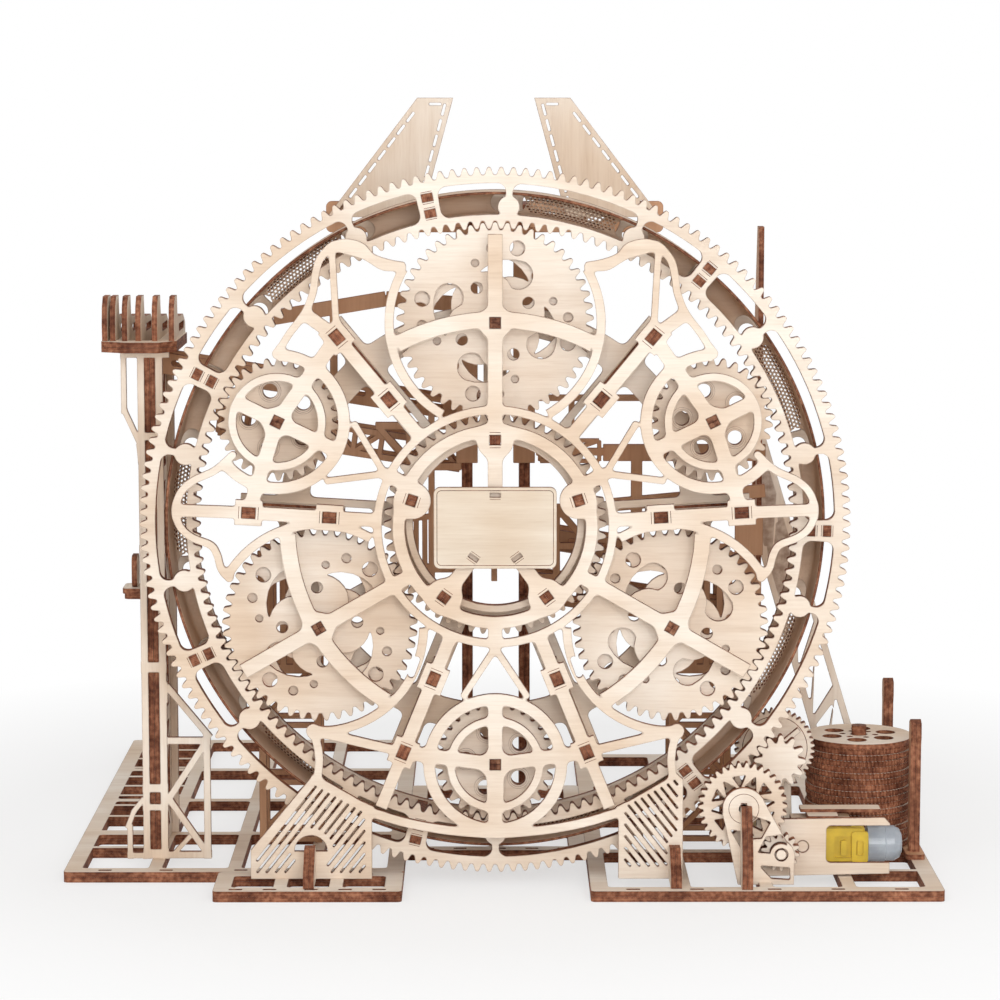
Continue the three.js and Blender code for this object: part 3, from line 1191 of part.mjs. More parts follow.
function liftTower() {
  const windows = latticeWindows(LIFT_FRONT_Y, LIFT_BACK_Y, DOUBLE_THICKNESS, LIFT_TOP_Z, 1, LIFT_WINDOWS,
    LIFT_RIM_WIDTH, LIFT_RIM_WIDTH);
  const parts = [];
  for (const left of [LIFT_LEFT_X, LIFT_RIGHT_X - DOUBLE_THICKNESS]) {
    const outline = rectangle(LIFT_FRONT_Y, LIFT_BACK_Y, DOUBLE_THICKNESS, LIFT_TOP_Z);
    const column = sideways(outline, left, DOUBLE_THICKNESS);
    parts.push(carved(column, windows.map((window) => cutterSideways(window, left, DOUBLE_THICKNESS))));
    for (const side of [-1, 1]) {
      const middle = WHEEL_Z + side * LIFT_ARM_OFFSET_HEIGHT;
      parts.push(sideways(rectangle(REAR_FRAME_BACK_Y, LIFT_FRONT_Y + LIFT_RIM_WIDTH / 2,
        middle - LIFT_ARM_HEIGHT / 2, middle + LIFT_ARM_HEIGHT / 2), left, DOUBLE_THICKNESS));
    }
  }
  for (let shelf = 0; shelf < SHELVES; shelf += 1) {
    const outline = rectangle(LIFT_LEFT_X + PLY_THICKNESS, LIFT_RIGHT_X - PLY_THICKNESS,
      LIFT_FRONT_Y + LIFT_RIM_WIDTH / 2, LIFT_BACK_Y - LIFT_RIM_WIDTH / 2);
    parts.push(flat(outline, FIRST_SHELF_Z + SHELF_PITCH_HEIGHT * shelf));
  }
  parts.push(facing(rectangle(WHEEL_X - HEAD_PLATE_HALF_WIDTH, WHEEL_X + HEAD_PLATE_HALF_WIDTH,
    LIFT_TOP_Z - HEAD_PLATE_HEIGHT, LIFT_TOP_Z), LIFT_BACK_Y - PLY_THICKNESS));
  return joined(parts);
}

addPiece('lift_tower', liftTower(), darkWood);

// Two fins on the head plate
const FIN_HEIGHT = 64.5;
const FIN_BOTTOM_Z = LIFT_TOP_Z - HEAD_PLATE_HEIGHT / 2;
const FIN_TOP_Z = FIN_BOTTOM_Z + FIN_HEIGHT;
const FIN_TOP_INNER_X = 22;
const FIN_TOP_WIDTH = 19.5;
const FIN_OUTER_SLOPE_SHARE = 0.765;
const FIN_INNER_SLOPE_SHARE = 0.27;
const FIN_CENTRE_X = -2.5;

function finOutline() {
  return [
    point(FIN_TOP_INNER_X + FIN_HEIGHT * FIN_INNER_SLOPE_SHARE, FIN_BOTTOM_Z),
    point(FIN_TOP_INNER_X + FIN_TOP_WIDTH + FIN_HEIGHT * FIN_OUTER_SLOPE_SHARE, FIN_BOTTOM_Z),
    point(FIN_TOP_INNER_X + FIN_TOP_WIDTH, FIN_TOP_Z),
    point(FIN_TOP_INNER_X, FIN_TOP_Z),
  ];
}

const finFrontY = LIFT_BACK_Y - PLY_THICKNESS - DOUBLE_THICKNESS;
addPiece('fin_left', facing(mirrored(finOutline()), finFrontY, DOUBLE_THICKNESS), wood,
  FIN_CENTRE_X);
addPiece('fin_right', facing(finOutline(), finFrontY, DOUBLE_THICKNESS), wood, FIN_CENTRE_X);

// Right of the wheel: a tall post, a leaning truss against it and two low posts on a rail
const POST_LEFT_X = 140.6;
const POST_SETBACK_DEPTH = 106;
const POST_DEPTH = 34;
const POST_FRONT_Y = FRONT_FACE_Y + POST_SETBACK_DEPTH;
const POST_BACK_Y = POST_FRONT_Y + POST_DEPTH;
const POST_TOP_Z = 250;
const POST_TIP_Z = 339;
const POST_TIP_DEPTH = 12;
const TRUSS_FOOT_RIGHT_X = 214;
const TRUSS_WIDTH = 24;
const TRUSS_TOP_Z = 236;
const TRUSS_HEAD_HEIGHT = 72;
const TRUSS_BAYS = 5;
const TRUSS_RUNG_SHARE = 0.16;
const TRUSS_RAIL_SHARE = 0.24;
const TRUSS_BRACE_SHARE = 0.38;
const TRUSS_BRACE_STEP_SHARE = 0.05;

function rightPost() {
  return sideways([
    point(POST_FRONT_Y, DOUBLE_THICKNESS),
    point(POST_BACK_Y, DOUBLE_THICKNESS),
    point(POST_BACK_Y, POST_TOP_Z),
    point(POST_FRONT_Y + POST_TIP_DEPTH, POST_TIP_Z),
    point(POST_FRONT_Y, POST_TIP_Z),
  ], POST_LEFT_X);
}

function rightTruss() {
  const postRight = POST_LEFT_X + PLY_THICKNESS;
  const frontY = POST_BACK_Y - PLY_THICKNESS;
  const outline = [
    point(TRUSS_FOOT_RIGHT_X - TRUSS_WIDTH, DOUBLE_THICKNESS),
    point(TRUSS_FOOT_RIGHT_X, DOUBLE_THICKNESS),
    point(postRight, TRUSS_TOP_Z),
    point(postRight, TRUSS_TOP_Z - TRUSS_HEAD_HEIGHT),
  ];
  const [footLeft, footRight, top, low] = outline;
  const inside = (upShare, acrossShare) =>
    footLeft.clone().lerp(low, upShare).lerp(footRight.clone().lerp(top, upShare), acrossShare);
  const windows = [];
  for (let bay = 0; bay < TRUSS_BAYS; bay += 1) {
    const from = (bay + TRUSS_RUNG_SHARE) / TRUSS_BAYS;
    const to = (bay + 1 - TRUSS_RUNG_SHARE) / TRUSS_BAYS;
    windows.push([
      inside(from, TRUSS_RAIL_SHARE),
      inside(from, 1 - TRUSS_RAIL_SHARE),
      inside(to, 1 - TRUSS_RAIL_SHARE),
    ]);
    windows.push([
      inside(from + TRUSS_BRACE_STEP_SHARE, TRUSS_RAIL_SHARE),
      inside(to, 1 - TRUSS_BRACE_SHARE),
      inside(to, TRUSS_RAIL_SHARE),
    ]);
  }
  return carved(facing(outline, frontY), windows.map((window) => cutterFacing(window, frontY)));
}

const LOW_POST_X = 222;
const LOW_POST_RADIUS = 3.6;
const LOW_POST_TOP_Z = 80;
const LOW_POST_HEAD_RADIUS = 5;
const LOW_POST_HEAD_HEIGHT = 9;
const LOW_POST_SETBACK_DEPTH = 51;
const LOW_POST_SPACING_DEPTH = 122;
const LOW_POST_FRONT_Y = FRONT_FACE_Y + LOW_POST_SETBACK_DEPTH;
const LOW_POST_BACK_Y = LOW_POST_FRONT_Y + LOW_POST_SPACING_DEPTH;
const LOW_RAIL_WIDTH = 10;

function lowPosts() {
  const rail = flat(rectangle(LOW_POST_X - LOW_RAIL_WIDTH / 2, LOW_POST_X + LOW_RAIL_WIDTH / 2,
    LOW_POST_FRONT_Y - LOW_RAIL_WIDTH, LOW_POST_BACK_Y + LOW_RAIL_WIDTH), DOUBLE_THICKNESS);
  const parts = [rail];
  for (const y of [LOW_POST_FRONT_Y, LOW_POST_BACK_Y]) {
    const shank = circle(LOW_POST_RADIUS, SMALL_SIDES, LOW_POST_X, y);
    const head = circle(LOW_POST_HEAD_RADIUS, SMALL_SIDES, LOW_POST_X, y);
    parts.push(flat(shank, DOUBLE_THICKNESS, LOW_POST_TOP_Z - DOUBLE_THICKNESS));
    parts.push(flat(head, LOW_POST_TOP_Z - LOW_POST_HEAD_HEIGHT, LOW_POST_HEAD_HEIGHT));
  }
  return joined(parts);
}

addPiece('right_post', rightPost(), darkWood);
addPiece('right_truss', rightTruss(), wood);
addPiece('low_posts', lowPosts(), wood);

// Two sloping marble tracks, open troughs between the towers
const TRACK_WIDTH = 24;
const TRACK_HEIGHT = 12;
const TRACK_INSET_DEPTH = 14;
const TRACK_MIDDLE_Y = LIFT_FRONT_Y + TRACK_INSET_DEPTH;
const TRACK_SLOPE_SHARE = 0.16;
const UPPER_TRACK_Z = 262;
const LOWER_TRACK_Z = 168;

function track(fromX, toX, startZ) {
  const frontY = TRACK_MIDDLE_Y - TRACK_WIDTH / 2;
  const backY = TRACK_MIDDLE_Y + TRACK_WIDTH / 2;
  const outline = [
    point(frontY, 0),
    point(backY, 0),
    point(backY, TRACK_HEIGHT),
    point(backY - PLY_THICKNESS, TRACK_HEIGHT),
    point(backY - PLY_THICKNESS, PLY_THICKNESS),
    point(frontY + PLY_THICKNESS, PLY_THICKNESS),
    point(frontY + PLY_THICKNESS, TRACK_HEIGHT),
    point(frontY, TRACK_HEIGHT),
  ];
  const geometry = new THREE.ExtrudeGeometry(new THREE.Shape(outline), {
    depth: toX - fromX,
    bevelEnabled: false,
  });
  geometry.applyMatrix4(VIEWS.sideways);
  geometry.applyMatrix4(new THREE.Matrix4().makeShear(0, -TRACK_SLOPE_SHARE, 0, 0, 0, 0));
  geometry.translate(fromX, 0, startZ);
  return solidFrom(geometry);
}

addPiece('upper_track', track(TOWER_LEFT_X + TOWER_COLUMN_WIDTH, LIFT_LEFT_X, UPPER_TRACK_Z), darkWood);
addPiece('lower_track', track(LIFT_RIGHT_X, POST_LEFT_X, LOWER_TRACK_Z), darkWood);

// The drive: the motor's pinion turns the drive gear, whose own pinion turns the ring
const DRIVE_LEAD_DEPTH = 3;
const DRIVE_FRONT_Y = FRONT_FACE_Y - DRIVE_LEAD_DEPTH;
const DRIVE_BACK_Y = DRIVE_FRONT_Y + DOUBLE_THICKNESS;
const BRACKET_GAP_DEPTH = 2.6;
const BRACKET_FRONT_Y = DRIVE_FRONT_Y - BRACKET_GAP_DEPTH - PLY_THICKNESS;
const MOTOR_PLATE_GAP_DEPTH = 2.4;
const MOTOR_PLATE_FRONT_Y = DRIVE_BACK_Y + MOTOR_PLATE_GAP_DEPTH;
const GEARBOX_FRONT_Y = MOTOR_PLATE_FRONT_Y + PLY_THICKNESS;
const GEARBOX_DEPTH = 18.8;
const SHAFT_RADIUS = 2.6;
const DRIVE_HUB_RADIUS = 6;
const DRIVE_WINDOWS = 5;
const DRIVE_WINDOW_INNER_SHARE = 0.42;
const DRIVE_WINDOW_OUTER_SHARE = 0.82;
const DRIVE_WINDOW_HALF_DEGREES = 24;
const driveCentre = wheelPlace(PINION_ORBIT_RADIUS, DRIVE_ANGLE);
const motorCentre = polar(DRIVE_RADIUS + MOTOR_PINION_RADIUS, MOTOR_ANGLE, driveCentre.x,
  driveCentre.y);

function shaft(radius, fromY, toY, sides = ROUND_SIDES) {
  return facing(circle(radius, sides), fromY, toY - fromY);
}

function driveGear() {
  const windows = [];
  for (let turn = 0; turn < DRIVE_WINDOWS; turn += 1) {
    const degrees = 360 * turn / DRIVE_WINDOWS;
    windows.push(cutterFacing([
      polar(DRIVE_RADIUS * DRIVE_WINDOW_INNER_SHARE, degrees),
      polar(DRIVE_RADIUS * DRIVE_WINDOW_OUTER_SHARE, degrees - DRIVE_WINDOW_HALF_DEGREES),
      polar(DRIVE_RADIUS * DRIVE_WINDOW_OUTER_SHARE, degrees + DRIVE_WINDOW_HALF_DEGREES),
    ], DRIVE_FRONT_Y, DOUBLE_THICKNESS));
  }
  const blank = facing(gearOutline(DRIVE_TEETH, DRIVE_MODULE_LENGTH), DRIVE_FRONT_Y, DOUBLE_THICKNESS);
  const wheel = carved(blank, windows);
  return joined([
    wheel,
    facing(gearOutline(PINION_TEETH, TRAIN_MODULE_LENGTH), GEAR_FRONT_Y, DOUBLE_THICKNESS),
    shaft(DRIVE_HUB_RADIUS, DRIVE_BACK_Y, GEAR_FRONT_Y, HOLE_SIDES),
    shaft(SHAFT_RADIUS, BRACKET_FRONT_Y, DRIVE_FRONT_Y),
  ]);
}

function motorPinion() {
  return joined([
    facing(gearOutline(MOTOR_TEETH, DRIVE_MODULE_LENGTH), DRIVE_FRONT_Y, DOUBLE_THICKNESS),
    shaft(SHAFT_RADIUS, BRACKET_FRONT_Y, GEARBOX_FRONT_Y - SIDE_PLAY),
  ]);
}

// A driven gear's phase so that its gap takes the tooth that the driver points at it
function pairPhase(driverPhase, driverTeeth, teeth, degrees) {
  const driverPitch = pitchDegrees(driverTeeth);
  const tooth = Math.round((degrees - driverPhase) / driverPitch) * driverPitch + driverPhase;
  return degrees + 180 - (tooth - degrees) * driverTeeth / teeth + pitchDegrees(teeth) / 2;
}

const drivePhase = outsideRingPhase(DRIVE_ANGLE, PINION_TEETH);
addPiece('drive_gear', driveGear(), wood, driveCentre.x, 0, driveCentre.y, drivePhase);
addPiece('motor_pinion', motorPinion(), wood, motorCentre.x, 0, motorCentre.y,
  pairPhase(drivePhase, DRIVE_TEETH, MOTOR_TEETH, MOTOR_ANGLE));

// The drop-shaped bracket in front of the two gears, on an edge-on post
const BRACKET_UPPER_RADIUS = 11;
const BRACKET_LOWER_RADIUS = 9;
const BRACKET_POST_DEPTH = 16;
const BRACKET_POST_SHOULDER_SHARE = 0.5;
const BRACKET_UPPER_STEPS = 6;
const BRACKET_LOWER_STEPS = 5;

function driveBracket() {
  const outline = [];
  for (let step = 0; step <= BRACKET_UPPER_STEPS; step += 1) {
    const turn = MOTOR_ANGLE + 90 + 180 * step / BRACKET_UPPER_STEPS;
    outline.push(polar(BRACKET_UPPER_RADIUS, turn, driveCentre.x, driveCentre.y));
  }
  for (let step = 0; step <= BRACKET_LOWER_STEPS; step += 1) {
    const turn = MOTOR_ANGLE - 90 + 180 * step / BRACKET_LOWER_STEPS;
    outline.push(polar(BRACKET_LOWER_RADIUS, turn, motorCentre.x, motorCentre.y));
  }
  const bore = (centre) => cutterFacing(circle(circumscribed(SHAFT_RADIUS + RUNNING_FIT, ROUND_SIDES),
    ROUND_SIDES, centre.x, centre.y), BRACKET_FRONT_Y);
  const sheet = carved(facing(outline, BRACKET_FRONT_Y), [bore(driveCentre), bore(motorCentre)]);
  const postLeft = driveCentre.x - DOUBLE_THICKNESS / 2;
  const postTop = driveCentre.y - SHAFT_RADIUS - PLY_THICKNESS;
  const post = sideways([
    point(BRACKET_FRONT_Y - BRACKET_POST_DEPTH, DOUBLE_THICKNESS),
    point(BRACKET_FRONT_Y + PLY_THICKNESS, DOUBLE_THICKNESS),
    point(BRACKET_FRONT_Y + PLY_THICKNESS, postTop),
    point(BRACKET_FRONT_Y - BRACKET_POST_DEPTH / 3, postTop),
    point(BRACKET_FRONT_Y - BRACKET_POST_DEPTH, postTop * BRACKET_POST_SHOULDER_SHARE),
  ], postLeft, DOUBLE_THICKNESS);
  return joined([sheet, post]);
}

addPiece('drive_bracket', driveBracket(), wood);

// The gear motor: a yellow gearbox behind its plate, a clear end cap and a clamp on top
const GEARBOX_LEFT_X = 134;
const GEARBOX_RIGHT_X = 193;
const GEARBOX_HEIGHT = 22.4;
const GEARBOX_CORNER = 2;
const CAP_RADIUS = 10;
const CAP_LENGTH = 18;
const MOTOR_PLATE_RIGHT_X = 208;
const MOTOR_PLATE_TOP_Z = 37;
const MOTOR_WINDOW_LEFT_X = 173;
const MOTOR_WINDOW_RIGHT_X = 192.4;
const MOTOR_WINDOW_BOTTOM_Z = 13;
const MOTOR_WINDOW_TOP_Z = 30;
const gearboxBottom = motorCentre.y - GEARBOX_HEIGHT / 2;

function motorPlate() {
  const plate = facing(rectangle(GEARBOX_LEFT_X, MOTOR_PLATE_RIGHT_X, DOUBLE_THICKNESS, MOTOR_PLATE_TOP_Z),
    MOTOR_PLATE_FRONT_Y);
  const window = rectangle(MOTOR_WINDOW_LEFT_X, MOTOR_WINDOW_RIGHT_X, MOTOR_WINDOW_BOTTOM_Z,
    MOTOR_WINDOW_TOP_Z);
  return carved(plate, [
    cutterFacing(window, MOTOR_PLATE_FRONT_Y),
    cutterFacing(circle(circumscribed(SHAFT_RADIUS + RUNNING_FIT, ROUND_SIDES), ROUND_SIDES,
      motorCentre.x, motorCentre.y), MOTOR_PLATE_FRONT_Y),
  ]);
}

addPiece('motor_plate', motorPlate(), wood);
addPiece('motor_gearbox', facing(roundedRectangle(GEARBOX_LEFT_X, GEARBOX_RIGHT_X, gearboxBottom,
  gearboxBottom + GEARBOX_HEIGHT, GEARBOX_CORNER), GEARBOX_FRONT_Y, GEARBOX_DEPTH), yellowPlastic);
const capMiddleY = GEARBOX_FRONT_Y + (GEARBOX_DEPTH + PLY_THICKNESS) / 2;
addPiece('motor_cap', sideways(circle(CAP_RADIUS, ROUND_SIDES, capMiddleY, motorCentre.y),
  GEARBOX_RIGHT_X, CAP_LENGTH), clearPlastic);
addPiece('motor_clamp', flat(rectangle(GEARBOX_LEFT_X + GEARBOX_DEPTH, GEARBOX_RIGHT_X, GEARBOX_FRONT_Y,
  GEARBOX_FRONT_Y + GEARBOX_DEPTH), gearboxBottom + GEARBOX_HEIGHT, DOUBLE_THICKNESS), wood);

// The take-off: a pinion on the ring turns a fine toothed wheel behind it
const TAKEOFF_TEETH = 40;
const TAKEOFF_MODULE_LENGTH = 1.02;
const TAKEOFF_HUB_LENGTH = 27.4;
const TAKEOFF_BRACKET_GAP_DEPTH = 4;
const TAKEOFF_WHEEL_FRONT_Y = GEAR_BACK_Y + TAKEOFF_HUB_LENGTH;
const TAKEOFF_BRACKET_FRONT_Y = TAKEOFF_WHEEL_FRONT_Y + DOUBLE_THICKNESS + TAKEOFF_BRACKET_GAP_DEPTH;
const TAKEOFF_BRACKET_WIDTH = 22;
const TAKEOFF_SHOULDER_WIDTH = 17.6;
const TAKEOFF_SHOULDER_RISE_HEIGHT = 5.5;
const takeoffCentre = wheelPlace(PINION_ORBIT_RADIUS, TAKEOFF_ANGLE);

function takeoffWheel() {
  return joined([
    facing(gearOutline(PINION_TEETH, TRAIN_MODULE_LENGTH), GEAR_FRONT_Y, DOUBLE_THICKNESS),
    shaft(DRIVE_HUB_RADIUS, GEAR_BACK_Y, TAKEOFF_WHEEL_FRONT_Y, HOLE_SIDES),
    facing(gearOutline(TAKEOFF_TEETH, TAKEOFF_MODULE_LENGTH), TAKEOFF_WHEEL_FRONT_Y, DOUBLE_THICKNESS),
    shaft(SHAFT_RADIUS, TAKEOFF_WHEEL_FRONT_Y + DOUBLE_THICKNESS,
      TAKEOFF_BRACKET_FRONT_Y + DOUBLE_THICKNESS),
  ]);
}

function takeoffBracket() {
  const half = TAKEOFF_BRACKET_WIDTH / 2;
  const shoulder = TAKEOFF_SHOULDER_WIDTH / 2;
  const outline = [
    point(takeoffCentre.x - half, DOUBLE_THICKNESS),
    point(takeoffCentre.x + half, DOUBLE_THICKNESS),
    point(takeoffCentre.x + shoulder, takeoffCentre.y + TAKEOFF_SHOULDER_RISE_HEIGHT),
    point(takeoffCentre.x, takeoffCentre.y + half),
    point(takeoffCentre.x - shoulder, takeoffCentre.y + TAKEOFF_SHOULDER_RISE_HEIGHT),
  ];
  return carved(facing(outline, TAKEOFF_BRACKET_FRONT_Y), [
    cutterFacing(circle(circumscribed(SHAFT_RADIUS + RUNNING_FIT, ROUND_SIDES), ROUND_SIDES,
      takeoffCentre.x, takeoffCentre.y), TAKEOFF_BRACKET_FRONT_Y),
  ]);
}

addPiece('takeoff_wheel', takeoffWheel(), wood, takeoffCentre.x, 0, takeoffCentre.y,
  outsideRingPhase(TAKEOFF_ANGLE, PINION_TEETH));
addPiece('takeoff_bracket', takeoffBracket(), wood);

// The drum turns on a spindle that stands on the right base
const DRUM_X = 194.6;
const DRUM_SETBACK_DEPTH = 75;
const DRUM_Y = FRONT_FACE_Y + DRUM_SETBACK_DEPTH;
const DRUM_RADIUS = 28.7;
const DRUM_WALL_RADIUS = 27.2;
const DRUM_TOP_Z = 67;
const DRUM_SIDES = 20;
const SPINDLE_RADIUS = 4;
const SPINDLE_FOOT_RADIUS = 14;
const SPINDLE_TOP_Z = 72;

function drum() {
  const bottom = DOUBLE_THICKNESS + PLY_THICKNESS + SIDE_PLAY;
  const bore = circumscribed(SPINDLE_RADIUS + RUNNING_FIT, DRUM_SIDES);
  const profile = [
    point(bore, bottom),
    point(DRUM_RADIUS, bottom),
    point(DRUM_RADIUS, bottom + PLY_THICKNESS),
    point(DRUM_WALL_RADIUS, bottom + PLY_THICKNESS),
    point(DRUM_WALL_RADIUS, DRUM_TOP_Z - PLY_THICKNESS),
    point(DRUM_RADIUS, DRUM_TOP_Z - PLY_THICKNESS),
    point(DRUM_RADIUS, DRUM_TOP_Z),
    point(bore, DRUM_TOP_Z),
    point(bore, bottom),
  ];
  const geometry = new THREE.LatheGeometry(profile, DRUM_SIDES);
  geometry.rotateX(Math.PI / 2);
  return solidFrom(geometry);
}

function drumSpindle() {
  return joined([
    flat(circle(SPINDLE_FOOT_RADIUS, ROUND_SIDES), DOUBLE_THICKNESS),
    flat(circle(SPINDLE_RADIUS, ROUND_SIDES), DOUBLE_THICKNESS, SPINDLE_TOP_Z - DOUBLE_THICKNESS),
  ]);
}

addPiece('drum', drum(), darkWood, DRUM_X, DRUM_Y, 0);
addPiece('drum_spindle', drumSpindle(), wood, DRUM_X, DRUM_Y, 0);

export default model;
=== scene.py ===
# The looks of a tabletop marble run wheel, cut from birch plywood and driven by a gear motor.
# Lengths are millimetres until a mesh is made. X points right, Y away from the viewer, Z up.
import math

import bpy
import numpy as np
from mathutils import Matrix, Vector
from mathutils.geometry import delaunay_2d_cdt


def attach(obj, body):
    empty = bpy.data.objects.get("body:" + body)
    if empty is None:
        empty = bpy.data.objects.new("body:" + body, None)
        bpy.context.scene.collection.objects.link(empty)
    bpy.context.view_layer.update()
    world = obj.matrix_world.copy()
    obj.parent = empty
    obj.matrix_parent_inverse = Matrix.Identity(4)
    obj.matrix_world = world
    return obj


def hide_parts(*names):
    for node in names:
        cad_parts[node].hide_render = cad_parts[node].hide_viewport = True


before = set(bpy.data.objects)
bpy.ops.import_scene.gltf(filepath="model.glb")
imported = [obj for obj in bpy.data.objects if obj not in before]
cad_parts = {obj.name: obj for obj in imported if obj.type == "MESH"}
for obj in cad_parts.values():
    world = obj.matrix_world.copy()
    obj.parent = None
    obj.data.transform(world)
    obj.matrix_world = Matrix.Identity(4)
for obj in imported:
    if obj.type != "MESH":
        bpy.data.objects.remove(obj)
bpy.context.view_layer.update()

MM = 0.001

# Stock and layers, as in the frame
PLY = 2.8
DOUBLE_PLY = 2 * PLY
FRONT_FACE_Y = -168.0
FRONT_FRAME_BACK_Y = FRONT_FACE_Y + PLY
GEAR_FRONT_Y = -156.0
GEAR_BACK_Y = GEAR_FRONT_Y + DOUBLE_PLY
REAR_FRAME_FRONT_Y = -140.0
REAR_FRAME_BACK_Y = REAR_FRAME_FRONT_Y + PLY
REAR_RING_FRONT_Y = -116.4
WHEEL_X = -2.0
WHEEL_Z = 190.0
WHEEL = (WHEEL_X, WHEEL_Z)


def polar(radius, degrees, centre=WHEEL):
    turn = math.radians(degrees)
    return (centre[0] + radius * math.cos(turn), centre[1] + radius * math.sin(turn))


def mirrored(place, axis_x=WHEEL_X):
    return (2 * axis_x - place[0], place[1])


# Shapes on a plan: each is a signed distance, negative inside, and the box that holds it
def disc(centre, radius):
    cx, cy = centre

    def distance(x, y):
        return np.hypot(x - cx, y - cy) - radius

    return distance, (cx - radius, cx + radius, cy - radius, cy + radius)


def beam(start, end, width, rounded=False):
    (ax, ay), (bx, by) = start, end
    length = math.hypot(bx - ax, by - ay)
    ux, uy = (bx - ax) / length, (by - ay) / length

    def distance(x, y):
        along = (x - ax) * ux + (y - ay) * uy
        across = np.abs((y - ay) * ux - (x - ax) * uy)
        if rounded:
            return np.hypot(along - np.clip(along, 0, length), across) - width / 2
        dx = np.abs(along - length / 2) - length / 2
        dy = across - width / 2
        return np.hypot(np.maximum(dx, 0), np.maximum(dy, 0)) + np.minimum(np.maximum(dx, dy), 0)

    reach = width
    return distance, (min(ax, bx) - reach, max(ax, bx) + reach, min(ay, by) - reach, max(ay, by) + reach)


def radial(degrees, inner, outer, width, centre=WHEEL, rounded=False):
    return beam(polar(inner, degrees, centre), polar(outer, degrees, centre), width, rounded)


def arc(centre, radius, width, from_degrees=-180, to_degrees=180, corner=0.0):
    cx, cy = centre
    middle = math.radians((from_degrees + to_degrees) / 2)
    half = math.radians((to_degrees - from_degrees) / 2)

    def distance(x, y):
        dx, dy = x - cx, y - cy
        r = np.hypot(dx, dy)
        across = np.abs(r - radius) - width / 2
        if half >= math.pi:
            return across
        turn = np.abs(np.arctan2(np.sin(np.arctan2(dy, dx) - middle), np.cos(np.arctan2(dy, dx) - middle)))
        along = (turn - half) * r
        qx, qy = across + corner, along + corner
        outside = np.hypot(np.maximum(qx, 0), np.maximum(qy, 0))
        return outside + np.minimum(np.maximum(qx, qy), 0) - corner

    reach = radius + width / 2
    return distance, (cx - reach, cx + reach, cy - reach, cy + reach)


def slab(from_x, to_x, from_y, to_y, corner=0.0):
    mx, my = (from_x + to_x) / 2, (from_y + to_y) / 2
    hx, hy = (to_x - from_x) / 2, (to_y - from_y) / 2

    def distance(x, y):
        qx = np.abs(x - mx) - hx + corner
        qy = np.abs(y - my) - hy + corner
        outside = np.hypot(np.maximum(qx, 0), np.maximum(qy, 0))
        return outside + np.minimum(np.maximum(qx, qy), 0) - corner

    return distance, (from_x, to_x, from_y, to_y)


def polygon(points, corner=0.0):
    places = np.array(points, float)

    def distance(x, y):
        nearest = np.full(x.shape, 1e9)
        inside = np.zeros(x.shape, bool)
        for (ax, ay), (bx, by) in zip(places, np.roll(places, -1, axis=0)):
            ex, ey = bx - ax, by - ay
            share = np.clip(((x - ax) * ex + (y - ay) * ey) / (ex * ex + ey * ey), 0, 1)
            nearest = np.minimum(nearest, (x - ax - ex * share) ** 2 + (y - ay - ey * share) ** 2)
            if ay != by:
                crosses = (ay > y) != (by > y)
                inside ^= crosses & (x < ax + (y - ay) / ey * ex)
        return np.sqrt(nearest) * np.where(inside, -1, 1) - corner

    low, high = places.min(axis=0) - corner, places.max(axis=0) + corner
    return distance, (low[0], high[0], low[1], high[1])


def smooth_places(points, steps=8):
    """Points of a smooth curve through the given ones."""
    places = [np.array(p, float) for p in points]
    places = [2 * places[0] - places[1]] + places + [2 * places[-1] - places[-2]]
    made = []
    for a, b, c, d in zip(places, places[1:], places[2:], places[3:]):
        for step in range(steps):
            t = step / steps
            made.append(0.5 * (2 * b + (c - a) * t + (2 * a - 5 * b + 4 * c - d) * t ** 2
                               + (3 * b - a - 3 * c + d) * t ** 3))
    made.append(places[-2])
    return made


def strand(points, width, steps=8):
    places = smooth_places(points, steps)

    def distance(x, y):
        nearest = np.full(x.shape, 1e9)
        for (ax, ay), (bx, by) in zip(places, places[1:]):
            ex, ey = bx - ax, by - ay
            share = np.clip(((x - ax) * ex + (y - ay) * ey) / (ex * ex + ey * ey + 1e-12), 0, 1)
            nearest = np.minimum(nearest, (x - ax - ex * share) ** 2 + (y - ay - ey * share) ** 2)
        return np.sqrt(nearest) - width / 2

    spread = np.array(places)
    low, high = spread.min(axis=0) - width, spread.max(axis=0) + width
    return distance, (low[0], high[0], low[1], high[1])


# Teeth swell and fall smoothly, blunt at the tip and the root
TOOTH_RISE = 1.0
TOOTH_SINK_SHARE = 0.16
TOOTH_BLUNTNESS = 1.25


def tooth_edge(x, y, teeth, module, centre, phase, sign):
    turn = np.arctan2(y - centre[1], x - centre[0]) - math.radians(phase)
    swell = np.tanh(TOOTH_BLUNTNESS * np.cos(turn * teeth)) / math.tanh(TOOTH_BLUNTNESS)
    return teeth * module / 2 + sign * module * (TOOTH_RISE * swell - TOOTH_SINK_SHARE)


def gear(teeth, module, centre, phase):
    def distance(x, y):
        edge = tooth_edge(x, y, teeth, module, centre, phase, 1)
        return np.hypot(x - centre[0], y - centre[1]) - edge

    reach = teeth * module / 2 + module
    return distance, (centre[0] - reach, centre[0] + reach, centre[1] - reach, centre[1] + reach)


def gear_bore(teeth, module, centre, phase):
    def distance(x, y):
        edge = tooth_edge(x, y, teeth, module, centre, phase, -1)
        return np.hypot(x - centre[0], y - centre[1]) - edge

    reach = teeth * module / 2 + 2 * module
    return distance, (centre[0] - reach, centre[0] + reach, centre[1] - reach, centre[1] + reach)


def turned_back(shapes, axis_x=WHEEL_X):
    """The same shapes mirrored left to right."""
    made = []
    for distance, (low_x, high_x, low_y, high_y) in shapes:
        def other(x, y, inner=distance):
            return inner(2 * axis_x - x, y)
        made.append((other, (2 * axis_x - high_x, 2 * axis_x - low_x, low_y, high_y)))
    return made


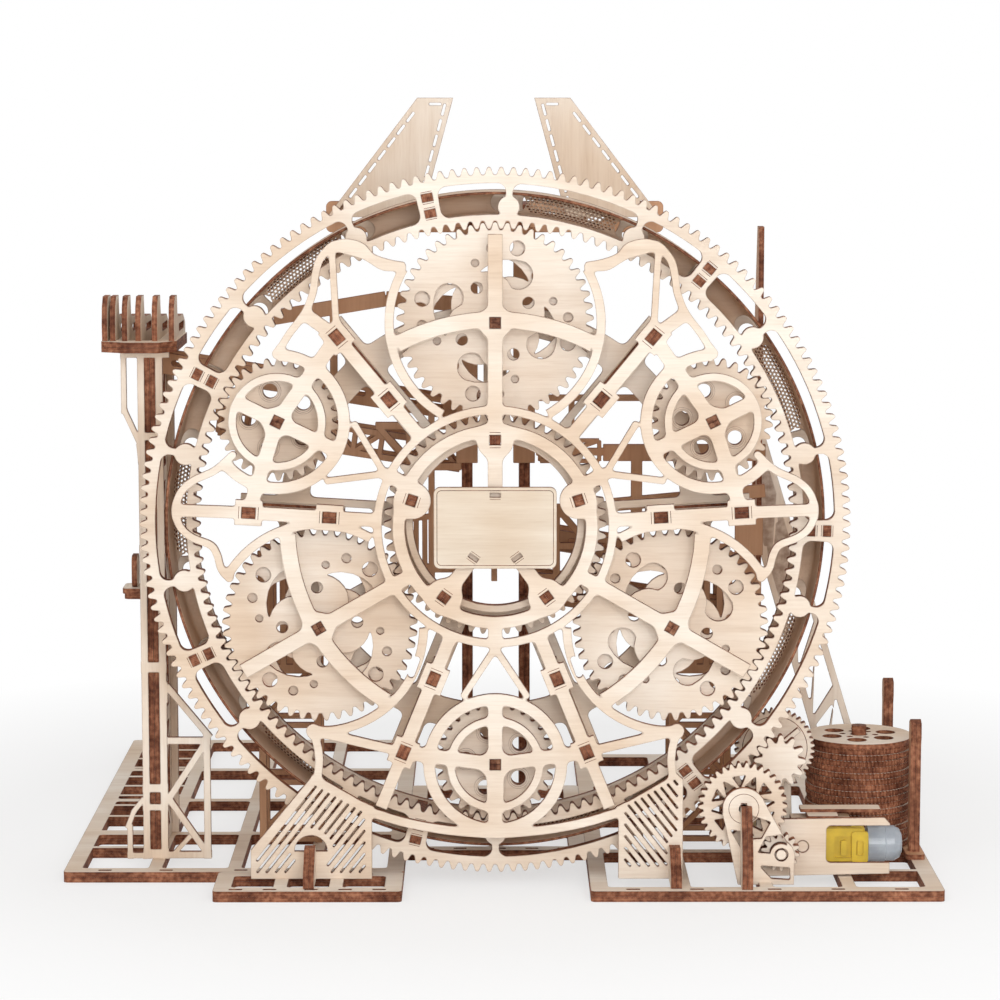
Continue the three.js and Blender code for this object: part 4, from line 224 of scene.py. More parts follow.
# A plan: shapes joined and cut on a grid, then traced round its edges
TOOTH_STEP, FINE_STEP, PLAN_STEP, MID_STEP, WIDE_STEP, BASE_STEP = 0.22, 0.3, 0.35, 0.4, 0.5, 0.6
LINE_STEP = 0.15
FAR = 1e3
PLAN_MARGIN = 2.5
TRACE_TOLERANCE = 0.035
CELL_LINKS = {
    1: [("B", "L")], 2: [("R", "B")], 3: [("R", "L")], 4: [("T", "R")], 5: [("B", "L"), ("T", "R")],
    6: [("T", "B")], 7: [("T", "L")], 8: [("L", "T")], 9: [("B", "T")], 10: [("R", "B"), ("L", "T")],
    11: [("R", "T")], 12: [("L", "R")], 13: [("B", "R")], 14: [("L", "B")],
}


class Plan:
    def __init__(self, adds, cuts=(), step=WIDE_STEP, fillet=0.0):
        boxes = np.array([box for _, box in adds])
        low_x, low_y = boxes[:, 0].min() - PLAN_MARGIN, boxes[:, 2].min() - PLAN_MARGIN
        high_x, high_y = boxes[:, 1].max() + PLAN_MARGIN, boxes[:, 3].max() + PLAN_MARGIN
        self.step = step
        self.xs = np.arange(low_x, high_x + step, step)
        self.ys = np.arange(low_y, high_y + step, step)
        self.field = np.full((len(self.ys), len(self.xs)), FAR)
        for shape in adds:
            self.mix(shape, fillet, 1)
        for shape in cuts:
            self.cut(shape)

    def cut(self, shape):
        self.mix(shape, 0, -1)

    def mix(self, shape, blend=0.0, sign=1):
        distance, (low_x, high_x, low_y, high_y) = shape
        margin = PLAN_MARGIN + 2 * blend
        columns = slice(*np.searchsorted(self.xs, [low_x - margin, high_x + margin]))
        rows = slice(*np.searchsorted(self.ys, [low_y - margin, high_y + margin]))
        part = self.field[rows, columns]
        if part.size == 0:
            return
        x, y = np.meshgrid(self.xs[columns], self.ys[rows])
        new = distance(x, y)
        old = part * sign
        if blend > 0:
            share = np.clip(0.5 + 0.5 * (new - old) / blend, 0, 1)
            made = new * (1 - share) + old * share - blend * share * (1 - share)
        else:
            made = np.minimum(old, new)
        self.field[rows, columns] = made * sign

    def loops(self, level=0.0, even=False):
        field = self.field
        if even:
            grow_y, grow_x = np.gradient(field, self.step)
            field = field / np.maximum(np.hypot(grow_x, grow_y), 1.0)
        field = field - level
        inside = field < 0
        code = (inside[:-1, :-1] * 1 + inside[:-1, 1:] * 2 + inside[1:, 1:] * 4 + inside[1:, :-1] * 8)
        rows, columns = np.nonzero((code > 0) & (code < 15))
        follow = {}
        for j, i, kind in zip(rows.tolist(), columns.tolist(), code[rows, columns].tolist()):
            edges = {"B": (0, j, i), "T": (0, j + 1, i), "L": (1, j, i), "R": (1, j, i + 1)}
            for start, end in CELL_LINKS[kind]:
                follow[edges[start]] = edges[end]
        made = []
        while follow:
            start = next(iter(follow))
            chain = []
            here = start
            while here in follow:
                chain.append(here)
                here = follow.pop(here)
            made.append(self.places(chain, field))
        return [simpler(loop) for loop in made if len(loop) > 3]

    def places(self, chain, field):
        keys = np.array(chain)
        kind, j, i = keys[:, 0], keys[:, 1], keys[:, 2]
        j_end, i_end = j + kind, i + 1 - kind
        here, there = field[j, i], field[j_end, i_end]
        share = here / (here - there)
        x = self.xs[i] + share * (i_end - i) * self.step
        y = self.ys[j] + share * (j_end - j) * self.step
        return np.column_stack([x, y])


def simpler(loop):
    """A closed loop without the points that lie along its edges."""
    count = len(loop)
    far = int(np.argmax(np.hypot(*(loop - loop[0]).T)))
    keep = np.zeros(count + 1, bool)
    keep[[0, far, count]] = True
    closed = np.vstack([loop, loop[:1]])
    stack = [(0, far), (far, count)]
    while stack:
        start, end = stack.pop()
        if end - start < 2:
            continue
        a, b = closed[start], closed[end]
        along = b - a
        length = math.hypot(*along)
        between = closed[start + 1:end] - a
        if length < 1e-9:
            away = np.hypot(between[:, 0], between[:, 1])
        else:
            away = np.abs(between[:, 0] * along[1] - between[:, 1] * along[0]) / length
        worst = int(np.argmax(away))
        if away[worst] > TRACE_TOLERANCE:
            middle = start + 1 + worst
            keep[middle] = True
            stack += [(start, middle), (middle, end)]
    return loop[keep[:count]]


def stepped(loop, reach):
    """The same loop with no edge longer than the reach."""
    made = []
    for a, b in zip(loop, np.roll(loop, -1, axis=0)):
        count = max(1, math.ceil(math.dist(a, b) / reach))
        made += [a + (b - a) * step / count for step in range(count)]
    return np.array(made)


# How a plan's two directions and its front normal lie in the frame
RIGHT, AWAY, UP, NOWHERE = np.eye(3)[0], np.eye(3)[1], np.eye(3)[2], np.zeros(3)
VIEWS = {
    "facing": (RIGHT, UP, -AWAY, NOWHERE),
    "flat": (RIGHT, AWAY, UP, NOWHERE),
    "sideways": (AWAY, UP, RIGHT, NOWHERE),
}
SCORCH_WIDTH = 0.45
SEAM = 0.04
LINE_PROUD, LINE_SUNK, LINE_WIDTH = 0.03, 0.1, 0.3
FACE, EDGE = 0, 1


def filled(loops, rims, grid_step=0.0):
    """Triangles of a plan's inside: points, triangles and how scorched each point is."""
    points, edges, border = [], [], {}
    for group, is_border in ((loops, True), (rims, False)):
        for loop in group:
            first = len(points)
            points += [Vector(p) for p in loop.tolist()]
            for index in range(len(loop)):
                a, b = first + index, first + (index + 1) % len(loop)
                edges.append((a, b))
                if is_border:
                    border[(a, b)] = True
    border_count = sum(len(loop) for loop in loops)
    if grid_step:
        spread = np.vstack(loops)
        for x in np.arange(spread[:, 0].min() + grid_step / 2, spread[:, 0].max(), grid_step):
            for y in np.arange(spread[:, 1].min() + grid_step / 2, spread[:, 1].max(), grid_step):
                points.append(Vector((x, y)))
    made, _, faces, origins, _, _ = delaunay_2d_cdt(points, edges, [], 0, 1e-5)
    owner = {}
    for new, olds in enumerate(origins):
        for old in olds:
            owner[old] = new
    inner_side = {(owner[a], owner[b]) for a, b in border}
    by_edge = {}
    for index, face in enumerate(faces):
        for corner in range(3):
            by_edge[(face[corner], face[(corner + 1) % 3])] = index
    state = {}
    stack = []
    for a, b in inner_side:
        index = by_edge.get((a, b))
        if index is not None and index not in state:
            state[index] = True
            stack.append(index)
    while stack:
        face = faces[stack.pop()]
        for corner in range(3):
            a, b = face[corner], face[(corner + 1) % 3]
            if (a, b) in inner_side or (b, a) in inner_side:
                continue
            other = by_edge.get((b, a))
            if other is not None and other not in state:
                state[other] = True
                stack.append(other)
    kept = [faces[index] for index in state]
    scorch = np.zeros(len(made))
    for new, olds in enumerate(origins):
        if olds and min(olds) < border_count:
            scorch[new] = 1.0
    walls = [(owner[a], owner[b]) for a, b in border if owner[a] != owner[b]]
    return np.array([tuple(p) for p in made]), kept, scorch, walls


class Piece:
    """One named mesh, gathered from sheets and turned forms."""

    def __init__(self, name):
        self.name = name
        self.points = []
        self.faces = []
        self.kinds = []
        self.scorch = []
        self.ply = []
        self.smooth = []

    def take(self, points, faces, kinds, scorch, ply, smooth=False):
        first = len(self.points)
        self.points += [tuple(p) for p in points]
        self.faces += [tuple(first + corner for corner in face) for face in faces]
        self.kinds += list(kinds)
        self.scorch += list(scorch)
        self.ply += list(ply)
        self.smooth += [smooth] * len(faces)

    def sheet(self, plan, front, thickness=PLY, view="facing", plies=None, warp=None, grid_step=0.0):
        """A plan given a thickness. The front is where its near face lies along its normal."""
        across, up, normal, origin = VIEWS[view] if isinstance(view, str) else view
        rims = plan.loops(-SCORCH_WIDTH, even=True)
        loops = plan.loops()
        if grid_step:
            loops, rims = [[stepped(loop, grid_step) for loop in group] for group in (loops, rims)]
        places, triangles, scorch, walls = filled(loops, rims, grid_step)
        count = len(places)
        plies = plies or max(1, round(thickness / PLY))
        if warp:
            near, far = warp(places, 0.0), warp(places, thickness)
        else:
            flat = origin + places[:, :1] * across + places[:, 1:] * up
            near = flat + (front * normal if isinstance(view, tuple) else abs(normal) * front)
            far = near - normal * thickness
        faces = [tuple(face) for face in triangles]
        faces += [(a + count, c + count, b + count) for a, b, c in triangles]
        kinds = [FACE] * len(faces)
        faces += [(a, a + count, b + count, b) for a, b in walls]
        kinds += [EDGE] * len(walls)
        used = np.zeros(2 * count, bool)
        used[np.unique(np.concatenate([np.array(face) for face in faces]))] = True
        renamed = np.cumsum(used) - 1
        faces = [tuple(int(renamed[corner]) for corner in face) for face in faces]
        points = np.vstack([near, far])[used]
        self.take(points, faces, kinds, np.tile(scorch, 2)[used],
                  np.repeat([0.0, float(plies)], count)[used], smooth=bool(warp))

    def pair(self, plan, front, view="facing", gap=SEAM, less=SEAM):
        """Two plies of one plan, with a hair of air between them and over them."""
        along = 1 if view == "facing" else -1
        for layer in range(2):
            self.sheet(plan, front + along * layer * (PLY + gap), PLY - less, view)

    def take_line(self, plan, front_y):
        """A thin burnt line on a facing sheet's front, just proud of it."""
        first = len(self.faces)
        self.sheet(plan, front_y - LINE_PROUD, 2 * LINE_PROUD, plies=1)
        self.kinds[first:] = [EDGE] * (len(self.faces) - first)

    def turned(self, profile, centre, sides):
        """A closed profile of radius and place turned about a line along X."""
        count = len(profile)
        points, faces = [], []
        for side in range(sides):
            turn = 2 * math.pi * side / sides
            for radius, height in profile:
                place = (height, radius * math.cos(turn), radius * math.sin(turn))
                points.append(tuple(np.add(place, centre)))
        for side in range(sides):
            here, there = side * count, (side + 1) % sides * count
            for step in range(count):
                after = (step + 1) % count
                faces.append((here + step, there + step, there + after, here + after))
        self.take(points, faces, [EDGE] * len(faces), [0.0] * len(points), [0.0] * len(points))

    def rod(self, centre, radius, from_y, to_y):
        """A round bar along Y."""
        self.sheet(Plan([disc(centre, radius)], step=PLAN_STEP), from_y, to_y - from_y, plies=2)

    def done(self, body, materials, replaces=()):
        mesh = bpy.data.meshes.new(self.name)
        mesh.from_pydata((np.array(self.points) * MM).tolist(), [], self.faces)
        mesh.polygons.foreach_set("material_index", self.kinds)
        mesh.polygons.foreach_set("use_smooth", self.smooth)
        for label, values in (("scorch", self.scorch), ("ply", self.ply)):
            mesh.attributes.new(label, "FLOAT", "POINT").data.foreach_set("value", values)
        for material in materials:
            mesh.materials.append(material)
        mesh.validate()
        mesh.update()
        made = bpy.data.objects.new(self.name, mesh)
        bpy.context.scene.collection.objects.link(made)
        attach(made, body)
        if replaces:
            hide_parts(*replaces)
        return made


# Materials
def nodes_of(material):
    material.use_nodes = True
    tree = material.node_tree
    tree.nodes.clear()
    output = tree.nodes.new("ShaderNodeOutputMaterial")
    shader = tree.nodes.new("ShaderNodeBsdfPrincipled")
    tree.links.new(shader.outputs[0], output.inputs[0])
    return tree, shader


def added(tree, kind, inputs=(), **settings):
    node = tree.nodes.new(kind)
    for key, value in settings.items():
        setattr(node, key, value)
    for key, value in dict(inputs).items():
        if isinstance(value, bpy.types.NodeSocket):
            tree.links.new(value, node.inputs[key])
        else:
            node.inputs[key].default_value = value
    return node


def noise(tree, vector, scale, detail, **more):
    values = {"Vector": vector, "Scale": scale, "Detail": detail, **more}
    return added(tree, "ShaderNodeTexNoise", values).outputs[0]


def bumped(tree, shader, height, strength):
    bump = added(tree, "ShaderNodeBump", {"Strength": strength, "Distance": BUMP_DEPTH, "Height": height})
    tree.links.new(bump.outputs[0], shader.inputs["Normal"])


def ramp(tree, factor, stops):
    node = added(tree, "ShaderNodeValToRGB", {0: factor})
    while len(node.color_ramp.elements) < len(stops):
        node.color_ramp.elements.new(0.5)
    for element, (place, colour) in zip(node.color_ramp.elements, stops):
        element.position = place
        element.color = (*linear(colour), 1)
    return node.outputs[0]


def linear(colour):
    """A colour of 0 to 255 as Blender's linear values."""
    shares = [c / 255 for c in colour]
    return tuple(s / 12.92 if s <= 0.04045 else ((s + 0.055) / 1.055) ** 2.4 for s in shares)


def mixed(tree, factor, a, b, mode="MIX"):
    node = added(tree, "ShaderNodeMix", data_type="RGBA", blend_type=mode)
    for socket, value in ((node.inputs[0], factor), (node.inputs[6], a), (node.inputs[7], b)):
        if isinstance(value, bpy.types.NodeSocket):
            tree.links.new(value, socket)
        else:
            socket.default_value = value
    return node.outputs[2]


GRAIN_SCALES = {"x": (0.06, 1.0, 1.0), "z": (1.0, 1.0, 0.06)}
FINE_GRAIN, BROAD_GRAIN, CLOUDS, BURN_PATCHES = 900.0, 90.0, 14.0, 260.0
EDGE_FLECKS, EDGE_PATCHES, PLASTIC_CLOUDS = 420.0, 60.0, 120.0
BUMP_DEPTH = 0.2 * MM
BIRCH_DARK, BIRCH_MID, BIRCH_LIGHT = (224, 207, 189), (236, 223, 208), (243, 233, 220)
SCORCHED = (104, 62, 40)
CHAR_DARK, CHAR_MID, CHAR_WARM, CHAR_LIGHT = (86, 48, 35), (122, 74, 54), (156, 100, 74), (192, 140, 108)


def birch_face(name, grain, tint=(255, 255, 255)):
    material = bpy.data.materials.new(name)
    tree, shader = nodes_of(material)
    place = added(tree, "ShaderNodeTexCoord").outputs["Object"]
    own = added(tree, "ShaderNodeObjectInfo").outputs["Random"]
    shift = added(tree, "ShaderNodeVectorMath", {0: place, 1: own}, operation="ADD").outputs[0]
    stretched = added(tree, "ShaderNodeMapping", {"Vector": shift, "Scale": GRAIN_SCALES[grain]}).outputs[0]
    fine = noise(tree, stretched, FINE_GRAIN, 5.0, Roughness=0.62)
    broad = noise(tree, stretched, BROAD_GRAIN, 3.0, Distortion=0.6)
    cloud = noise(tree, shift, CLOUDS, 2.0)
    colour = ramp(tree, fine, [(0.3, BIRCH_DARK), (0.48, BIRCH_MID), (0.7, BIRCH_LIGHT)])
    veined = mixed(tree, 0.5, colour, ramp(tree, broad, [(0.36, BIRCH_DARK), (0.52, BIRCH_MID),
                                                         (0.66, BIRCH_LIGHT)]))
    patch = ramp(tree, cloud, [(0.35, (238, 226, 214)), (0.65, (255, 255, 255))])
    toned = mixed(tree, 1.0, veined, patch, "MULTIPLY")
    tinted = mixed(tree, 1.0, toned, (*linear(tint), 1), "MULTIPLY")
    burn = added(tree, "ShaderNodeAttribute", attribute_name="scorch").outputs["Fac"]
    uneven = noise(tree, place, BURN_PATCHES, 2.0)
    strength = added(tree, "ShaderNodeMath", {0: burn, 1: uneven}, operation="MULTIPLY").outputs[0]
    final = mixed(tree, strength, tinted, (*linear(SCORCHED), 1))
    tree.links.new(final, shader.inputs["Base Color"])
    rough = added(tree, "ShaderNodeMapRange", {0: fine, 3: 0.55, 4: 0.8}).outputs[0]
    tree.links.new(rough, shader.inputs["Roughness"])
    bumped(tree, shader, fine, 0.12)
    shader.inputs["Specular IOR Level"].default_value = 0.3
    return material


def burnt_edge(name, lift=1.0):
    material = bpy.data.materials.new(name)
    tree, shader = nodes_of(material)
    place = added(tree, "ShaderNodeTexCoord").outputs["Object"]
    depth = added(tree, "ShaderNodeAttribute", attribute_name="ply").outputs["Fac"]
    own = added(tree, "ShaderNodeMath", {0: depth}, operation="FRACT").outputs[0]
    layers = ramp(tree, own, [(0.0, CHAR_DARK), (0.16, CHAR_WARM), (0.36, CHAR_MID), (0.5, CHAR_LIGHT),
                              (0.64, CHAR_MID), (0.84, CHAR_WARM), (1.0, CHAR_DARK)])
    fleck = noise(tree, place, EDGE_FLECKS, 4.0)
    burn = ramp(tree, fleck, [(0.34, (98, 60, 46)), (0.5, (166, 116, 92)), (0.68, (216, 166, 134))])
    colour = mixed(tree, 0.55, layers, burn, "MIX")
    wide = noise(tree, place, EDGE_PATCHES, 2.0)
    shade = ramp(tree, wide, [(0.3, (160, 140, 130)), (0.7, (255, 250, 245))])
    colour = mixed(tree, 1.0, colour, shade, "MULTIPLY")
    level = tuple(min(1.0, c * lift) for c in (0.8, 0.74, 0.7))
    final = mixed(tree, 1.0, colour, (*level, 1), "MULTIPLY")
    tree.links.new(final, shader.inputs["Base Color"])
    shader.inputs["Roughness"].default_value = 0.72
    bumped(tree, shader, fleck, 0.25)
    shader.inputs["Specular IOR Level"].default_value = 0.2
    return material


def plastic(name, colour, rough, alpha):
    material = bpy.data.materials.new(name)
    tree, shader = nodes_of(material)
    place = added(tree, "ShaderNodeTexCoord").outputs["Object"]
    cloud = noise(tree, place, PLASTIC_CLOUDS, 3.0)
    darker = tuple(c * 0.86 for c in colour)
    tree.links.new(ramp(tree, cloud, [(0.3, darker), (0.7, colour)]), shader.inputs["Base Color"])
    bumped(tree, shader, cloud, 0.05)
    shader.inputs["Roughness"].default_value = rough
    shader.inputs["Alpha"].default_value = alpha
    return material


birch_x = birch_face("birch_grain_x", "x")
birch_z = birch_face("birch_grain_z", "z")
birch_plate = birch_face("birch_nameplate", "x", (246, 249, 249))
gutter_face = birch_face("gutter_veneer", "x", (250, 240, 232))
edge = burnt_edge("burnt_edge", 1.15)
edge_light = burnt_edge("burnt_edge_light", 1.4)
# Painted shade: sheets behind the wheel get a darker, browner birch face that stands in for the shadow they
# lie in
birch_shaded_face = birch_face("birch_shaded", "z", (222, 186, 160))
edge_drum = burnt_edge("burnt_edge_drum", 1.25)
yellow_plastic = plastic("yellow_plastic", (214, 180, 46), 0.35, 1.0)
clear_plastic = plastic("clear_plastic", (196, 206, 216), 0.12, 0.62)
SHEET_X = (birch_x, edge)
SHEET_Z = (birch_z, edge)

# The wheel
TRAIN_MODULE = 2.0
RING_OUTER_TEETH, RING_INNER_TEETH = 182, 154
PLANET_TEETH, SUN_TEETH, SMALL_TEETH, PINION_TEETH = 49, 56, 30, 12
RING_OUTER_RADIUS = RING_OUTER_TEETH * TRAIN_MODULE / 2
RING_INNER_RADIUS = RING_INNER_TEETH * TRAIN_MODULE / 2
PLANET_RADIUS = PLANET_TEETH * TRAIN_MODULE / 2
SUN_RADIUS = SUN_TEETH * TRAIN_MODULE / 2
SMALL_RADIUS = SMALL_TEETH * TRAIN_MODULE / 2
PINION_RADIUS = PINION_TEETH * TRAIN_MODULE / 2
PLANET_ORBIT = SUN_RADIUS + PLANET_RADIUS
SMALL_ORBIT = RING_INNER_RADIUS - SMALL_RADIUS
PINION_ORBIT = RING_OUTER_RADIUS + PINION_RADIUS
PLANET_ANGLES = {"top": 90, "left": 210, "right": 330}
SMALL_ANGLES = {"right": 26, "left": 154, "bottom": 270}
SEGMENTS = 7
SEGMENT_DEGREES = 360 / SEGMENTS
FIRST_JOINT_DEGREES = -1.2
BALL_DISC_DEGREES = 14.1
BALL_DISC_RADIUS = 5.5
BALL_DISC_ORBIT = 163.6
BALL_NECK_WIDTH, BALL_DISC_BLEND = 3.4, 1.2
REAR_BALL_HOLE_RADIUS = 4.5
WINDOW_INNER_RADIUS, WINDOW_OUTER_RADIUS = 159.5, 175.5
WINDOW_MIDDLE_RADIUS = (WINDOW_INNER_RADIUS + WINDOW_OUTER_RADIUS) / 2
WINDOW_CORNER = 4.6
JOINT_WIDTH = 11.0
JOINT_SLOT_ORBITS = (163.4, 171.6)
JOINT_SLOT_LENGTH = 4.0
JOINT_INNER_RADIUS = 159.0
JOINT_ENGRAVING = (3.0, 5.8)
SLOT_FIT = 0.15
TENON_SUNK = 0.3
REAR_RING_INNER_RADIUS, REAR_RING_OUTER_RADIUS = 158.0, 171.0
REAR_WINDOW_WIDTH, REAR_WINDOW_DEGREES, REAR_WINDOW_CORNER = 9.0, 9.0, 3.0
GUTTER_RADIUS = 164.5
GUTTER_HALF_WIDTH = 6.4
GUTTER_SCORCH_SHARE = 0.2
GUTTER_WALL = 1.4


def degrees_at(length, radius):
    return math.degrees(length / radius)


def engraved(piece, centre_xz, degrees, along, length, front_y, width=LINE_WIDTH):
    """Two thin burnt lines across a slot's ends, sunk in the sheet's front."""
    turn = math.radians(degrees)
    ux, uz = math.cos(turn), math.sin(turn)
    for side in (-1, 1):
        x = centre_xz[0] + side * along * ux
        z = centre_xz[1] + side * along * uz
        corners = []
        for a, b in ((-1, -1), (1, -1), (1, 1), (-1, 1)):
            across, up = a * width / 2, b * length / 2
            corners.append((x + across * ux - up * uz, z + across * uz + up * ux))
        low = [(cx, front_y - LINE_PROUD, cz) for cx, cz in corners]
        high = [(cx, front_y + LINE_SUNK, cz) for cx, cz in corners]
        faces = [(0, 1, 2, 3), (7, 6, 5, 4), (0, 4, 5, 1), (1, 5, 6, 2), (2, 6, 7, 3), (3, 7, 4, 0)]
        piece.take(low + high, faces, [EDGE] * 6, [0.0] * 8, [0.1] * 8)


def ring_front():
    windows, discs, slots = [], [], []
    joint_half = degrees_at(JOINT_WIDTH / 2, WINDOW_MIDDLE_RADIUS)
    neck_half = degrees_at(BALL_NECK_WIDTH / 2, WINDOW_MIDDLE_RADIUS)
    depth = WINDOW_OUTER_RADIUS - WINDOW_INNER_RADIUS
    piece = Piece("ring_front_plate")
    for segment in range(SEGMENTS):
        joint = FIRST_JOINT_DEGREES + SEGMENT_DEGREES * segment
        after = joint + SEGMENT_DEGREES
        stops = [
            (joint + joint_half, joint + BALL_DISC_DEGREES - neck_half),
            (joint + BALL_DISC_DEGREES + neck_half, after - BALL_DISC_DEGREES - neck_half),
            (after - BALL_DISC_DEGREES + neck_half, after - joint_half),
        ]
        for start, end in stops:
            windows.append(arc(WHEEL, WINDOW_MIDDLE_RADIUS, depth, start, end, WINDOW_CORNER))
        for side in (-1, 1):
            discs.append(disc(polar(BALL_DISC_ORBIT, joint + side * BALL_DISC_DEGREES), BALL_DISC_RADIUS))
        for orbit in JOINT_SLOT_ORBITS:
            half = JOINT_SLOT_LENGTH / 2 + SLOT_FIT
            slots.append(radial(joint, orbit - half, orbit + half, DOUBLE_PLY + 2 * SLOT_FIT))
            engraved(piece, polar(orbit, joint), joint, *JOINT_ENGRAVING, GEAR_FRONT_Y)
    plan = Plan([gear(RING_OUTER_TEETH, TRAIN_MODULE, WHEEL, 0)], windows, PLAN_STEP)
    for shape in discs:
        plan.mix(shape, BALL_DISC_BLEND)
    for shape in slots + [gear_bore(RING_INNER_TEETH, TRAIN_MODULE, WHEEL, 0)]:
        plan.cut(shape)
    piece.sheet(plan, GEAR_FRONT_Y, DOUBLE_PLY)
    piece.done("wheel", SHEET_X, ["ring_front"])


def ring_rear():
    piece = Piece("ring_rear_plate")
    width = REAR_RING_OUTER_RADIUS - REAR_RING_INNER_RADIUS
    middle = (REAR_RING_OUTER_RADIUS + REAR_RING_INNER_RADIUS) / 2
    plan = Plan([arc(WHEEL, middle, width)], step=PLAN_STEP)
    for segment in range(SEGMENTS):
        joint = FIRST_JOINT_DEGREES + SEGMENT_DEGREES * segment
        for side in (-1, 1):
            plan.cut(disc(polar(BALL_DISC_ORBIT, joint + side * BALL_DISC_DEGREES), REAR_BALL_HOLE_RADIUS))
        centre = joint + SEGMENT_DEGREES / 2
        ends = centre - REAR_WINDOW_DEGREES, centre + REAR_WINDOW_DEGREES
        plan.cut(arc(WHEEL, middle, REAR_WINDOW_WIDTH, *ends, REAR_WINDOW_CORNER))
    piece.sheet(plan, REAR_RING_FRONT_Y, PLY)
    for segment in range(SEGMENTS):
        joint = FIRST_JOINT_DEGREES + SEGMENT_DEGREES * segment
        radial_box(piece, joint, JOINT_INNER_RADIUS, REAR_RING_OUTER_RADIUS, GEAR_BACK_Y, REAR_RING_FRONT_Y)
        for orbit in JOINT_SLOT_ORBITS:
            half = JOINT_SLOT_LENGTH / 2
            radial_box(piece, joint, orbit - half, orbit + half, GEAR_FRONT_Y + TENON_SUNK, GEAR_BACK_Y)
    piece.done("wheel", SHEET_X, ["ring_rear"])


def radial_box(piece, degrees, inner, outer, front_y, back_y):
    """A double plate on edge that stands in a plane through the wheel's axis."""
    turn = math.radians(degrees)
    ux, uz = math.cos(turn), math.sin(turn)
    points = []
    for radius in (inner, outer):
        for y in (front_y, back_y):
            for side in (-PLY, PLY):
                points.append((WHEEL_X + radius * ux - side * uz, y, WHEEL_Z + radius * uz + side * ux))
    faces = [(0, 1, 3, 2), (4, 6, 7, 5), (0, 4, 5, 1), (2, 3, 7, 6), (0, 2, 6, 4), (1, 5, 7, 3)]
    kinds = [EDGE, EDGE, EDGE, EDGE, FACE, FACE]
    piece.take(points, faces, kinds, [0.0] * 8, [0.0, 2.0] * 4)


# A trough is a bent sheet: its plan runs round the wheel and across the bend
GUTTER_END_DEGREES = 1.3
GUTTER_DEPTH = REAR_RING_FRONT_Y - GEAR_BACK_Y
PERFORATION_RADIUS = 0.72
PERFORATION_PITCH = 2.2
PERFORATION_ROWS, PERFORATION_ROW_SHARE = 4, 0.87
PERFORATED_SHARE, PERFORATED_TAPER = 0.42, 0.045
MOON_RADIUS = 9.2
GUTTER_GRID = 2.0


def gutter(segment):
    middle = GUTTER_RADIUS
    joint = FIRST_JOINT_DEGREES + SEGMENT_DEGREES * segment
    start, end = joint + GUTTER_END_DEGREES, joint + SEGMENT_DEGREES - GUTTER_END_DEGREES
    straight = GUTTER_DEPTH - GUTTER_HALF_WIDTH
    bend = math.pi * GUTTER_HALF_WIDTH
    half_section = straight + bend / 2
    half_length = math.radians(end - start) / 2 * middle
    middle_degrees = (start + end) / 2

    def warp(places, inset):
        along, across = places[:, 0], places[:, 1]
        radius = GUTTER_HALF_WIDTH - inset
        side = np.sign(across)
        past = np.abs(across) - bend / 2
        turn = np.clip(across / GUTTER_HALF_WIDTH, -math.pi / 2, math.pi / 2)
        r = middle + np.where(past > 0, side * radius, radius * np.sin(turn))
        bend_y = REAR_RING_FRONT_Y - GUTTER_HALF_WIDTH
        y = np.where(past > 0, bend_y - past, bend_y + radius * np.cos(turn))
        angle = math.radians(middle_degrees) + along / middle
        return np.column_stack([WHEEL_X + r * np.cos(angle), y, WHEEL_Z + r * np.sin(angle)])

    cuts = []
    for row in range(-PERFORATION_ROWS, PERFORATION_ROWS + 1):
        reach = half_length * (PERFORATED_SHARE - PERFORATED_TAPER * abs(row))
        count = int(reach // PERFORATION_PITCH)
        across = row * PERFORATION_PITCH * PERFORATION_ROW_SHARE
        for column in range(-count, count + 1):
            along = (column + 0.5 * (row % 2)) * PERFORATION_PITCH
            cuts.append(disc((along, across), PERFORATION_RADIUS))
    for side in (-1, 1):
        moon = side * (math.radians(SEGMENT_DEGREES / 2 - BALL_DISC_DEGREES) * middle)
        cuts.append(disc((moon, 0), MOON_RADIUS))
    outline = slab(-half_length, half_length, -half_section, half_section)
    plan = Plan([outline], cuts, FINE_STEP)
    piece = Piece(f"gutter_sheet_{segment + 1}")
    piece.sheet(plan, 0, GUTTER_WALL, warp=warp, plies=1, grid_step=GUTTER_GRID)
    piece.scorch = [burn * GUTTER_SCORCH_SHARE for burn in piece.scorch]
    piece.done("wheel", (gutter_face, edge_light), [f"gutter_{segment + 1}"])


# Gears. Each is two plies with their own cut-outs
BORE_RADIUS = 3.55
PLANET_PATTERN = {"top": 63, "left": 38, "right": 20}
COMMA_HEAD_RADIUS, COMMA_ORBIT, COMMA_CORNER, COMMA_HEAD_STEPS = 7.0, 26.5, 0.4, 12
COMMA_OUTER_SHARES, COMMA_INNER_SHARES = (0.2, 0.45, 0.7, 0.9), (0.85, 0.65, 0.45, 0.25)
COMMA_OUTER_SWELL, COMMA_OUTER_POWER, COMMA_INNER_SWELL, COMMA_INNER_POWER = 0.96, 1.6, 0.9, 1.5


def pitch_degrees(teeth):
    return 360 / teeth


def inside_ring_phase(degrees, teeth):
    ring_pitch = pitch_degrees(RING_INNER_TEETH)
    gap = (math.floor(degrees / ring_pitch) + 0.5) * ring_pitch
    return degrees + (gap - degrees) * RING_INNER_TEETH / teeth


def outside_ring_phase(degrees, teeth):
    ring_pitch = pitch_degrees(RING_OUTER_TEETH)
    tooth = round(degrees / ring_pitch) * ring_pitch
    return degrees + 180 - (tooth - degrees) * RING_OUTER_TEETH / teeth + pitch_degrees(teeth) / 2


def sun_phase():
    top = PLANET_ANGLES["top"]
    planet_pitch = pitch_degrees(PLANET_TEETH)
    phase = inside_ring_phase(top, PLANET_TEETH)
    inward = top + 180
    tooth = round((inward - phase) / planet_pitch) * planet_pitch + phase
    return top - (tooth - inward) * PLANET_TEETH / SUN_TEETH + pitch_degrees(SUN_TEETH) / 2


